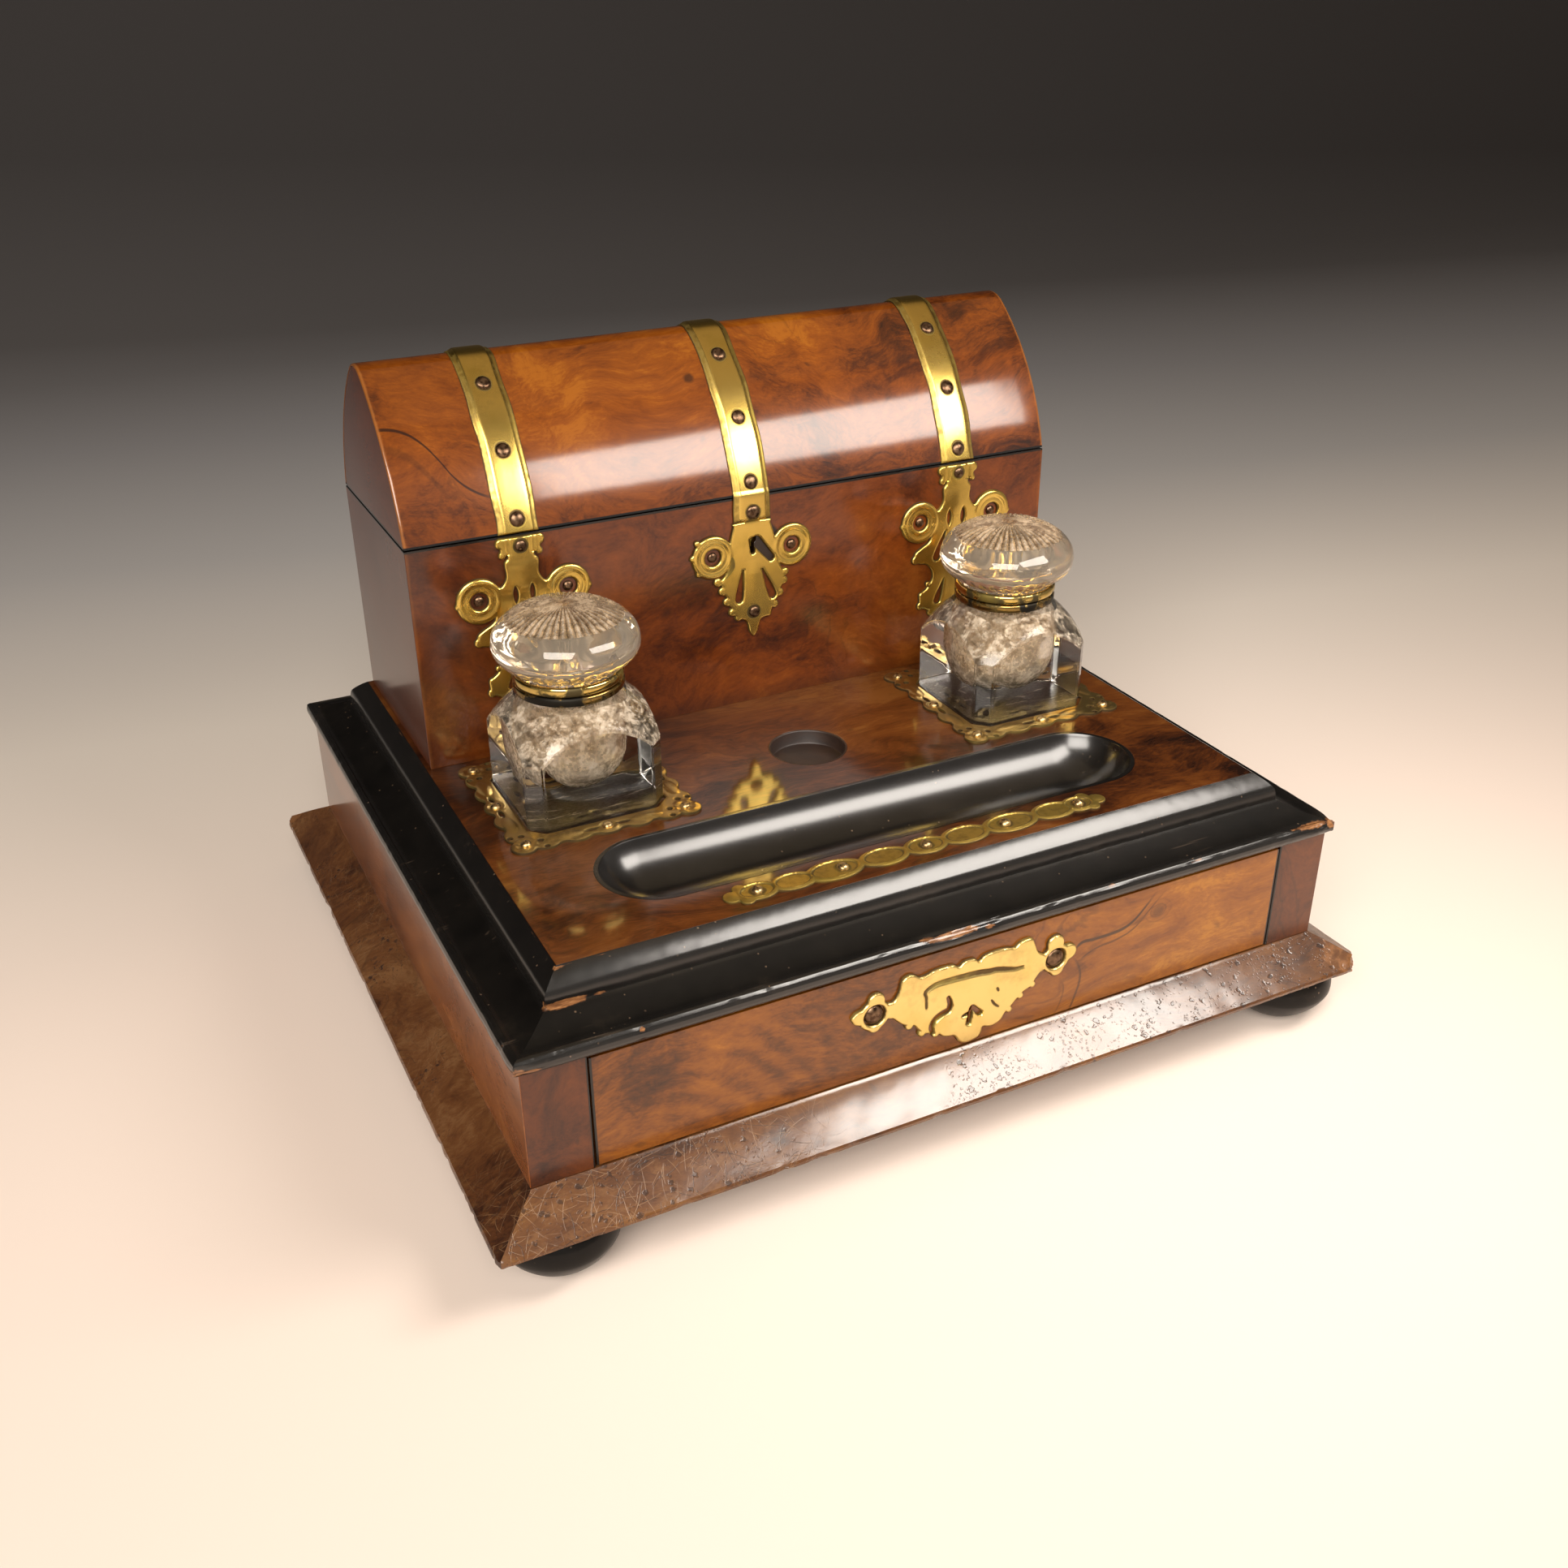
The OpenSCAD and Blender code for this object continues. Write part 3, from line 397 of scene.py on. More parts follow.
def walnut(name, tone, seed=0.0, size=1.0, stretch=(1, 1, 1), rot=(0, 0, 0), contrast=1.0, vein_amount=0.6, extra=None, worn=None, coat_rough=0.10, rough=0.45, shift=0.0, seam=False, feather=0.9, lean=(0, 38, 0), tilt=None, gap=None, arris=None, rub=0.55, varnish=1.5):
    m = Mat(name)
    P = m.mapped(m.obj, (seed, seed * 0.7, -seed * 0.4), rot, [k / size for k in stretch])
    w1 = m.vec("SCALE", m.vec("SUBTRACT", m.noise(P, 9, 2, 0.5, 0, True), (0.5, 0.5, 0.5)), scale=0.075)
    P1 = m.vec("ADD", P, w1)
    w2 = m.vec("SCALE", m.vec("SUBTRACT", m.noise(P1, 38, 2, 0.5, 0, True), (0.5, 0.5, 0.5)), scale=0.020)
    P2 = m.vec("ADD", P1, w2)
    broad = m.noise(P2, 13, 3, 0.5, 0.5)
    mottle = m.noise(P2, 58, 4, 0.62, 0.8)
    plume = m.noise(m.mapped(P2, rot=lean, scale=(0.30, 1.0, 1.5)), 78, 4, 0.62, 0.6)
    fibre = m.noise(m.mapped(P2, rot=lean, scale=(0.8, 3.2, 2.6)), 240, 3, 0.6, 0.4)
    fine = m.noise(m.mapped(P1, scale=(1, 4.0, 2.5)), 620, 2, 0.6, 0.2)
    v = m.math("MULTIPLY", m.math("SUBTRACT", broad, 0.5), 1.75 * contrast)
    v = m.math("MULTIPLY_ADD", m.math("SUBTRACT", mottle, 0.5), 0.85 * contrast, v)
    v = m.math("MULTIPLY_ADD", m.math("SUBTRACT", plume, 0.5), feather * contrast, v)
    v = m.math("MULTIPLY_ADD", m.math("SUBTRACT", fibre, 0.5), 0.62 * contrast, v)
    v = m.math("MULTIPLY_ADD", m.math("SUBTRACT", fine, 0.5), 0.34 * contrast, v)
    if tilt:
        v = m.math("ADD", v, tilt(m, P2))
    v = m.math("ADD", v, 0.52 + shift)
    col = m.ramp(v, TONES[tone])
    # growth lines that follow the warped figure, strong in some areas only
    rings = m.math("SINE", m.math("MULTIPLY_ADD", broad, 96.0, m.math("MULTIPLY", mottle, 9.0)))
    line = m.mr(rings, 0.80, 1.0)
    where = m.mr(m.noise(P, 11, 2, 0.5), 0.50, 0.66)
    dark = m.math("MULTIPLY", m.math("MULTIPLY", line, where), vein_amount)
    # pips of the burr
    dist = m.voro(P2, 95)
    pick = m.mr(m.noise(P1, 30, 2), 0.52, 0.64)
    pip = m.math("MULTIPLY", m.mr(dist, 0.20, 0.07), pick)
    dark = m.math("MAXIMUM", dark, m.math("MULTIPLY", pip, 0.55))
    # marks from extra: figure and knots, and on the chest front painted shade too
    if extra:
        dark = most(m, dark, *extra(m, P2))
    col = m.mix(m.math("MULTIPLY", dark, 0.84), col, (0.0060, 0.0022, 0.0012, 1))
    height = m.math("MULTIPLY", fibre, 0.25)
    x, y, z = m.xyz(m.obj)
    if arris:  # pale rubbed line down the end edges
        near = m.mr(m.math("ADD", m.math("ABSOLUTE", x), m.math("MULTIPLY", m.noise(m.obj, 160, 3), 0.0010)), arris - 0.0004, arris + 0.0006)
        col = m.mix(m.math("MULTIPLY", near, rub), col, (0.300, 0.110, 0.024, 1))
    if seam:  # black line where lid and chest meet: partly the joint's own dark line, partly painted shade of the gap, so it is drawn wider than the gap
        near = m.mr(m.math("ABSOLUTE", m.math("SUBTRACT", z, Z_SEAM * MM)), 0.00130, 0.0009)
        col = m.mix(near, col, (0.0020, 0.0016, 0.0014, 1))
    if gap:  # painted shade in the joint round the drawer: black between two distances from the middle plane
        ax = m.math("ABSOLUTE", x)
        near = m.math("MULTIPLY", m.mr(ax, gap[0] - 0.00025, gap[0] + 0.0001), m.mr(ax, gap[1] + 0.00025, gap[1] - 0.0001))
        near = m.math("MULTIPLY", near, m.mr(y, -0.1436, -0.1440))
        col = m.mix(near, col, (0.0016, 0.0012, 0.0010, 1))
    r = m.mr(m.noise(P, 24, 3), 0.3, 0.7, rough - 0.05, rough + 0.08)
    if worn:
        ax, ay = m.math("ABSOLUTE", x), m.math("ABSOLUTE", y)
        u, w = (x, ay) if worn == "front" else (y, ax)
        q = m.math("MULTIPLY_ADD", w, 0.804, m.math("MULTIPLY", z, -0.595))
        cloud = m.noise(m.obj, 22, 3, 0.6)
        if worn == "front":
            zone = most(m, m.mr(u, -0.040, -0.085), m.math("MULTIPLY", m.mr(cloud, 0.46, 0.60), 0.30))
            spots = most(m, m.mr(u, 0.005, 0.045), m.math("MULTIPLY", m.mr(u, -0.060, -0.09), 0.8), m.mr(cloud, 0.56, 0.66))
        else:
            zone = most(m, m.mr(u, -0.090, -0.150, 0, 0.9), m.math("MULTIPLY", m.mr(cloud, 0.44, 0.58), 0.55))
            spots = m.mr(cloud, 0.50, 0.62)
        pale = most(m, scratches(m, u, q, 60, 0.00013, 0.0120, 1.7, 0.75, 10), scratches(m, u, q, 95, 0.00012, 0.0080, 4.3, 0.8, 18), scratches(m, u, q, 90, 0.00012, 0.0085, 9.1, 0.75, 24), scratches(m, u, q, 170, 0.00011, 0.0042, 14.9, 0.7, 30), scratches(m, u, q, 190, 0.00011, 0.0038, 33.1, 0.7, 30))
        black = most(m, scratches(m, u, q, 70, 0.00014, 0.0090, 21.3, 0.6, 20), scratches(m, u, q, 130, 0.00013, 0.0055, 27.7, 0.6, 30))
        rub = m.math("MULTIPLY", m.mr(m.noise(m.mapped(m.obj, scale=(1, 1.6, 1.6)), 110, 4, 0.72), 0.50, 0.68), zone)
        col = m.mix(m.math("MULTIPLY", rub, 0.42), col, (0.190, 0.088, 0.030, 1))
        col = m.mix(m.math("MULTIPLY", m.math("MULTIPLY", black, zone), 0.75), col, (0.010, 0.005, 0.003, 1))
        pale = m.math("MULTIPLY", pale, zone)
        col = m.mix(m.math("MULTIPLY", m.math("MULTIPLY", pale, m.mr(m.noise(m.obj, 90, 3, 0.6), 0.36, 0.60, 0.25, 1.0)), 0.62), col, (0.260, 0.150, 0.075, 1))
        ragged = m.vec("ADD", m.obj, m.vec("SCALE", m.noise(m.obj, 700, 2, 0.5, 0, True), scale=0.0022))
        pit = m.math("MULTIPLY", m.mr(m.voro(ragged, 260), 0.34, 0.22), m.mr(m.noise(m.obj, 130, 3, 0.6), 0.50, 0.56))
        small = m.math("MULTIPLY", m.mr(m.voro(ragged, 620), 0.30, 0.18), m.mr(m.noise(m.obj, 60, 3, 0.6), 0.44, 0.54))
        pit = m.math("MULTIPLY", m.math("MAXIMUM", pit, m.math("MULTIPLY", small, 0.7)), spots)
        col = m.mix(m.math("MULTIPLY", pit, 0.88), col, (0.018, 0.007, 0.004, 1))
        edge = m.mr(m.math("ADD", m.attr("edge"), m.math("MULTIPLY", m.math("SUBTRACT", m.noise(m.obj, 240, 3, 0.6), 0.5), 0.9)), 0.42, 0.62)
        col = m.mix(m.math("MULTIPLY", edge, 0.70), col, (0.215, 0.090, 0.030, 1))
        r = m.math("ADD", m.math("ADD", r, m.math("MULTIPLY", zone, 0.12)), m.math("MULTIPLY", pit, 0.25))
        height = m.math("SUBTRACT", m.math("SUBTRACT", m.math("MULTIPLY", m.noise(m.obj, 150, 3, 0.6), m.mr(zone, 0, 1, 0.35, 1.5)), m.math("MULTIPLY", m.math("MAXIMUM", pale, black), m.math("MULTIPLY", zone, 0.5))), m.math("MULTIPLY", pit, 1.6))
        m.set(Base_Color=col, Roughness=r, Normal=m.bump(height, 0.40, 0.00022), Specular_IOR_Level=0.30)
        m.set(Coat_Weight=m.mr(zone, 0.1, 0.9, 1.0, 0.42), Coat_Roughness=coat_rough, Coat_IOR=1.66, Coat_Normal=m.bump(height, 0.30, 0.00014))
    else:
        nrm = m.bump(height, 0.12, 0.00015)
        ripple = m.math("ADD", m.noise(m.obj, 42, 2), m.math("MULTIPLY", m.noise(m.obj, 260, 2), 0.10))
        m.set(Base_Color=col, Roughness=r, Normal=nrm, Specular_IOR_Level=0.12)
        m.set(Coat_Weight=1.0, Coat_Roughness=coat_rough, Coat_IOR=varnish, Coat_Normal=m.bump(ripple, 0.30, 0.00022))
    return m.m


def ebonised(name, coat=0.7, coat_rough=0.12, rough=0.42, chips=True, level=0.25, polish=1.5):
    m = Mat(name)
    tone = m.noise(m.obj, 60, 4, 0.6)
    col = m.ramp(tone, [(0.3, (0.0024, 0.0021, 0.0018, 1)), (0.62, (0.0048, 0.0040, 0.0033, 1)), (0.8, (0.0130, 0.0098, 0.0070, 1))])
    grain = m.noise(m.obj, 900, 2)
    # dust and small knocks
    near = m.voro(m.obj, 300)
    speck = m.math("MULTIPLY", m.mr(near, 0.15, 0.07), m.mr(m.noise(m.obj, 75, 3), 0.54, 0.64))
    col = m.mix(m.math("MULTIPLY", speck, 0.55), col, (0.190, 0.125, 0.080, 1))
    scuff = m.mr(m.noise(m.mapped(m.obj, rot=(0, 0, 23), scale=(30, 500, 500)), 1.0, 2), 0.66, 0.74)
    scuff = m.math("MULTIPLY", scuff, m.mr(m.noise(m.obj, 30, 2), 0.5, 0.62))
    col = m.mix(m.math("MULTIPLY", scuff, 0.20), col, (0.120, 0.085, 0.060, 1))
    h = m.math("ADD", m.math("MULTIPLY", grain, 0.25), m.noise(m.obj, 120, 3))
    if chips:
        c0 = m.math("ADD", m.attr("chip"), m.math("MULTIPLY", m.math("SUBTRACT", m.noise(m.obj, 330, 4, 0.65), 0.5), 0.75))
        c = m.mr(c0, 0.46, 0.56)
        wood = m.ramp(m.noise(m.mapped(m.obj, scale=(1, 5, 5)), 260, 3), [(0.28, (0.060, 0.022, 0.008, 1)), (0.5, (0.175, 0.072, 0.024, 1)), (0.72, (0.290, 0.140, 0.055, 1))])
        wood = m.mix(m.mr(c0, 0.66, 0.50), wood, (0.050, 0.020, 0.009, 1))
        col = m.mix(c, col, wood)
        m.set(Roughness=m.mix(c, (rough, rough, rough, 1), (0.8, 0.8, 0.8, 1)))
        h = m.math("SUBTRACT", h, m.math("MULTIPLY", c, 1.2))
    else:
        m.set(Roughness=m.mr(tone, 0.3, 0.7, rough - 0.04, rough + 0.08))
    m.set(Base_Color=col, Specular_IOR_Level=level, Normal=m.bump(h, 0.20, 0.0002))
    if chips:
        coat = m.mr(m.attr("gloss"), 0.0, 1.0, 0.22 * coat, coat)
    m.set(Coat_Weight=coat, Coat_Roughness=coat_rough, Coat_IOR=polish, Coat_Normal=m.bump(m.math("MULTIPLY_ADD", m.noise(m.obj, 420, 2), 0.12, m.noise(m.obj, 90, 3)), 0.14, 0.0002))
    return m.m


def brass(name, base=(0.74, 0.510, 0.120), dark=(0.050, 0.030, 0.012), rough=0.27, tarnish=0.40, rim=True, bump=0.06, patch=0.0, edge=(0.55, 0.10), fray=0.45):
    m = Mat(name)
    cloud = m.noise(m.obj, 45, 4, 0.6)
    fine = m.noise(m.obj, 420, 3, 0.6)
    t = m.math("MULTIPLY", m.mr(m.math("ADD", m.math("MULTIPLY", cloud, 0.72), m.math("MULTIPLY", fine, 0.28)), 0.50, 0.72), tarnish)
    if patch:  # black stains
        t = m.math("MAXIMUM", t, m.math("MULTIPLY", m.mr(m.noise(m.obj, 95, 4, 0.62), 0.47, 0.56), patch))
    # tarnish along the cut edges, and painted shade: the dark outline also stands for the shade where the plate stands
    # off the wood
    if rim:
        e = m.math("ADD", m.attr("rim"), m.math("MULTIPLY", m.math("SUBTRACT", m.noise(m.obj, 300, 3, 0.6), 0.5), fray))
        t = m.math("MAXIMUM", t, m.mr(e, edge[0], edge[1], 0.0, 0.96))
    col = m.mix(t, (*base, 1), (*dark, 1))
    col = m.mix(m.mr(m.noise(m.obj, 70, 3), 0.45, 0.75, 0.0, 0.40), col, (base[0] * 0.70, base[1] * 0.72, base[2] * 0.45, 1))
    m.set(Base_Color=col, Metallic=m.mr(t, 0.3, 1.0, 1.0, 0.72), Roughness=m.mr(t, 0.0, 0.9, rough, 0.50))
    scr = m.noise(m.mapped(m.obj, rot=(0, 20, 35), scale=(60, 900, 400)), 1.0, 2)
    m.set(Normal=m.bump(m.math("ADD", m.math("MULTIPLY", m.noise(m.obj, 160, 2), 1.0), m.math("MULTIPLY", scr, 0.25)), bump, 0.00025))
    return m.m


def bronze(name, tone=(0.30, 0.19, 0.115)):
    m = Mat(name)
    n = m.noise(m.obj, 600, 3)
    col = m.mix(m.mr(n, 0.35, 0.7), (tone[0] * 0.35, tone[1] * 0.30, tone[2] * 0.28, 1), (*tone, 1))
    m.set(Base_Color=col, Metallic=0.92, Roughness=m.mr(n, 0.3, 0.7, 0.24, 0.38), Normal=m.bump(n, 0.15, 0.0002))
    return m.m


def pine(name, tones=((168, 122, 74), (206, 164, 108), (224, 186, 132)), along="x", rough=0.6):
    m = Mat(name)
    sc = {"x": (0.06, 1, 1), "y": (1, 0.06, 1), "z": (1, 1, 0.06)}[along]
    P = m.vec("ADD", m.mapped(m.obj, scale=sc), m.vec("SCALE", m.noise(m.obj, 12, 2, 0.5, 0, True), scale=0.006))
    g = m.noise(P, 170, 3, 0.55, 0.5)
    f = m.noise(m.mapped(m.obj, scale=[k * 1.0 for k in sc]), 1100, 2)
    v = m.math("ADD", m.math("MULTIPLY", g, 0.8), m.math("MULTIPLY", f, 0.25))
    col = m.ramp(v, [(0.32, lin(*tones[0])), (0.52, lin(*tones[1])), (0.75, lin(*tones[2]))])
    col = m.mix(m.mr(m.noise(m.obj, 20, 3), 0.45, 0.75, 0.0, 0.35), col, lin(128, 88, 52))
    m.set(Base_Color=col, Roughness=rough, Specular_IOR_Level=0.35, Normal=m.bump(v, 0.25, 0.0002))
    return m.m


def steel(name):
    m = Mat(name)
    n = m.noise(m.obj, 700, 3)
    m.set(Base_Color=m.ramp(n, [(0.35, (0.22, 0.21, 0.20, 1)), (0.7, (0.50, 0.49, 0.47, 1))]), Metallic=1.0, Roughness=m.mr(n, 0.3, 0.7, 0.28, 0.45))
    return m.m


def glass(name, tint=(0.965, 0.945, 0.915), rough=0.012, dust=0.0, wave=0.10, scale=120):
    m = Mat(name)
    n = m.noise(m.obj, scale, 3, 0.55)
    r = m.mr(m.noise(m.obj, 90, 4, 0.6), 0.45, 0.75, rough, rough + 0.05)
    m.set(Base_Color=m.mix(m.mr(m.noise(m.obj, 140, 4, 0.65), 0.5, 0.8), (*tint, 1), (tint[0] * 0.90, tint[1] * 0.87, tint[2] * 0.82, 1)), Transmission_Weight=1.0 - dust, Roughness=r, IOR=1.52, Normal=m.bump(n, wave, 0.0003))
    return m.m


def dusty(name, tint, clear, rough=0.34, radial=False, swirl=False, streak=False, film=False):
    """Glass under a film of dust and dried ink: part of the light goes through, the rest is scattered."""
    m = Mat(name)
    n = m.noise(m.obj, 170, 5, 0.68, 0.8)
    n2 = m.noise(m.obj, 620, 3, 0.6)
    grime = m.math("ADD", m.math("MULTIPLY", n, 0.7), m.math("MULTIPLY", n2, 0.3))
    col = m.ramp(grime, [(0.34, (tint[0] * 0.60, tint[1] * 0.56, tint[2] * 0.52, 1)), (0.52, (*tint, 1)), (0.68, (min(0.92, tint[0] * 1.35), min(0.88, tint[1] * 1.40), min(0.82, tint[2] * 1.50), 1))])
    h = m.math("ADD", m.math("MULTIPLY", n, 1.0), m.math("MULTIPLY", n2, 0.3))
    if swirl:  # pressed glass is full of drawn-out ripples
        q = m.vec("ADD", m.mapped(m.obj, rot=(0, 25, 0), scale=(0.4, 0.4, 2.2)), m.vec("SCALE", m.noise(m.obj, 34, 2, 0.5, 0, True), scale=0.030))
        w = m.noise(q, 100, 2, 0.5, 0.4)
        h = m.math("MULTIPLY_ADD", w, 2.0, m.math("MULTIPLY", h, 0.55))
        col = m.mix(m.mr(w, 0.54, 0.66, 0.0, 0.34), col, (0.90, 0.81, 0.67, 1))
        col = m.mix(m.mr(w, 0.46, 0.36, 0.0, 0.34), col, (0.30, 0.205, 0.115, 1))
    if film:  # wiped dust
        w = m.noise(m.mapped(m.obj, rot=(0, 0, 40), scale=(0.6, 2.2, 1)), 150, 4, 0.62, 1.4)
        col = m.mix(m.mr(w, 0.50, 0.38, 0.0, 0.45), col, (0.24, 0.165, 0.095, 1))
        col = m.mix(m.mr(w, 0.54, 0.66, 0.0, 0.38), col, (0.86, 0.77, 0.63, 1))
    if streak:
        w = m.noise(m.mapped(m.obj, rot=(0, 0, 35), scale=(0.5, 2.0, 1)), 120, 4, 0.65, 1.2)
        col = m.mix(m.mr(w, 0.58, 0.70, 0.0, 0.7), col, (0.45, 0.41, 0.36, 1))
    if radial:  # dirt lies in the cuts: the attribute is 0 in a cut and 1 on a ridge
        k = m.attr("ridge")
        col = m.mix(m.mr(k, 0.50, 0.05, 0.0, 0.75), col, (0.060, 0.043, 0.026, 1))
        col = m.mix(m.mr(k, 0.72, 0.98, 0.0, 0.45), col, (0.52, 0.47, 0.40, 1))
    if clear:
        m.set(Transmission_Weight=m.mr(grime, 0.40, 0.64, min(1.0, clear + 0.28), max(0.0, clear - 0.22)), IOR=1.50)
    m.set(Base_Color=col, Roughness=m.mr(n2, 0.3, 0.7, rough - 0.08, rough + 0.10), Normal=m.bump(h, 0.35, 0.0004 if swirl else 0.00025))
    return m.m


# figure placed one by one
def lid_extra(m, P):
    x, y, z = m.xyz(m.obj)
    # the dark line that runs in from the left arris towards the strap: height over the seam along x
    a = vein(m, x, z, [(-0.1417, 0.2352), (-0.1324, 0.2334), (-0.1265, 0.2292), (-0.1223, 0.2240), (-0.1177, 0.2172), (-0.1119, 0.2121), (-0.1040, 0.2085)], 0.00075, (0.190, 0.250))
    a = m.math("MULTIPLY", a, m.mr(y, 0.072, 0.068))
    soft = vein(m, x, z, [(-0.1417, 0.2290), (-0.1340, 0.2262), (-0.1290, 0.2216), (-0.1240, 0.2150), (-0.1190, 0.2090)], 0.0022, (0.190, 0.250))
    soft = m.math("MULTIPLY", m.math("MULTIPLY", soft, 0.35), m.mr(y, 0.072, 0.068))
    knot = m.mr(m.vec("DISTANCE", m.vec("ADD", m.obj, m.vec("SCALE", m.noise(m.obj, 180, 2, 0.5, 0, True), scale=0.002)), (-0.0144, 0.0523, 0.2398)), 0.0030, 0.0012)
    patch = m.mr(m.vec("DISTANCE", P, (-0.082, 0.045, 0.226)), 0.030, 0.004, 0.0, 0.42)
    return [a, soft, m.math("MULTIPLY", knot, 0.85), m.math("MULTIPLY", patch, m.mr(m.noise(P, 85, 4, 0.6), 0.42, 0.62))]


def drawer_extra(m, P):
    x, y, z = m.xyz(m.obj)
    a = vein(m, x, z, [(0.0470, 0.0622), (0.0486, 0.0655), (0.0560, 0.0662), (0.0624, 0.0662), (0.0700, 0.0672), (0.0735, 0.0690), (0.0776, 0.0728), (0.0830, 0.0790)], 0.0011, (0.036, 0.084))
    b = vein(m, x, z, [(0.0500, 0.0588), (0.0570, 0.0618), (0.0660, 0.0628), (0.0740, 0.0655), (0.0800, 0.0712), (0.0870, 0.0782)], 0.0007, (0.036, 0.084))
    c = vein(m, z, x, [(0.0370, 0.0470), (0.0430, 0.0492), (0.0500, 0.0508), (0.0560, 0.0498), (0.0615, 0.0462)], 0.0008, (0.040, 0.060))
    d = vein(m, z, x, [(0.0370, 0.0400), (0.0430, 0.0428), (0.0490, 0.0434), (0.0540, 0.0410)], 0.0006, (0.030, 0.050))
    rings = m.math("SINE", m.math("MULTIPLY", m.vec("DISTANCE", m.vec("ADD", m.mapped(m.obj, scale=(1, 1, 1.25)), m.vec("SCALE", m.noise(m.obj, 90, 2, 0.5, 0, True), scale=0.003)), (0.0863, -0.1429, 0.0890)), 2400))
    eye = m.math("MULTIPLY", m.mr(rings, 0.2, 1.0), m.mr(m.vec("DISTANCE", m.obj, (0.0848, -0.1444, 0.0699)), 0.0085, 0.0020))
    core = m.mr(m.vec("DISTANCE", m.obj, (0.0848, -0.1444, 0.0699)), 0.0042, 0.0016)
    return [a, m.math("MULTIPLY", b, 0.7), m.math("MULTIPLY", c, 0.75), m.math("MULTIPLY", d, 0.5), m.math("MULTIPLY", eye, 0.5), m.math("MULTIPLY", core, 0.55)]


def chest_extra(m, P):
    # cloudy dark cluster right of the middle finial, and painted shade at the chest's left end and foot
    x, y, z = m.xyz(m.obj)
    k = m.noise(P, 70, 4, 0.6)
    a = m.math("MULTIPLY", m.mr(m.vec("DISTANCE", P, (0.028, 0.030, 0.142)), 0.046, 0.008), m.mr(k, 0.42, 0.60))
    b = m.math("MULTIPLY", m.mr(m.vec("DISTANCE", P, (-0.012, 0.030, 0.128)), 0.032, 0.006), m.mr(k, 0.46, 0.62))
    # painted shade: the wood behind the slots of the middle mount is painted black for the dark of the lock's recess
    hole = m.mr(m.vec("DISTANCE", m.mapped(m.obj, scale=(1, 0.2, 1)), (0.0035, 0.0055, 0.1735)), 0.0105, 0.0090)
    # finish rubbed dark round the brass mounts; painted shade darkens the foot of the chest and its left end
    foot = m.math("MULTIPLY", m.mr(z, 0.1125, 0.1050), 0.45)
    left = m.math("MULTIPLY", m.mr(x, -0.098, -0.136), m.mr(k, 0.34, 0.60, 0.10, 0.55))
    under = m.math("MULTIPLY", m.mr(m.vec("DISTANCE", P, (0.060, 0.030, 0.168)), 0.044, 0.010), m.mr(k, 0.44, 0.60))
    return [m.math("MULTIPLY", a, 0.76), m.math("MULTIPLY", b, 0.58), m.math("MULTIPLY", under, 0.42), left, m.math("MULTIPLY", hole, 1.15), foot]


def drawer_tilt(m, P):
    x, y, z = m.xyz(m.obj)
    t = m.math("ADD", m.mr(x, -0.055, 0.040, -0.04, 0.06), m.mr(x, -0.075, -0.120, 0.0, -0.04))
    # fan of fine streaks left of the mount
    q = m.vec("ADD", m.obj, m.vec("SCALE", m.noise(m.obj, 55, 3, 0.6, 0, True), scale=0.012))
    fan = m.math("SINE", m.math("MULTIPLY", m.vec("DISTANCE", q, (-0.1160, -0.1380, 0.0240)), 640))
    near = m.mr(m.vec("DISTANCE", m.obj, (-0.088, -0.1444, 0.050)), 0.045, 0.012)
    t = m.math("MULTIPLY_ADD", m.math("MULTIPLY", fan, near), 0.10, t)
    # dark knot left of it
    k = m.mr(m.vec("DISTANCE", q, (-0.1130, -0.1370, 0.0720)), 0.026, 0.004)
    return m.math("MULTIPLY_ADD", k, -0.26, t)


def lid_tilt(m, P):
    x, y, z = m.xyz(m.obj)
    low = m.mr(z, 0.212, 0.199, 0.0, -0.20)
    left = m.math("MULTIPLY", m.mr(x, -0.095, -0.135), m.mr(z, 0.232, 0.205, 0.0, -0.14))
    back = m.mr(y, 0.045, 0.075, 0.0, 0.03)
    return m.math("ADD", m.math("ADD", low, left), back)


def chest_tilt(m, P):
    x, y, z = m.xyz(m.obj)
    return m.math("ADD", m.mr(x, 0.075, 0.140, 0.0, 0.12), m.math("ADD", m.mr(x, -0.080, -0.140, 0.0, -0.06), m.mr(z, 0.140, 0.108, 0.0, 0.05)))


def top_tilt(m, P):
    x, y, z = m.xyz(m.obj)
    near = m.math("MULTIPLY", m.mr(x, -0.070, -0.135), m.mr(y, -0.060, -0.120, 0.25, 1.0))
    return m.math("ADD", m.math("MULTIPLY", near, 0.15), m.mr(y, -0.050, 0.020, 0.0, 0.07))


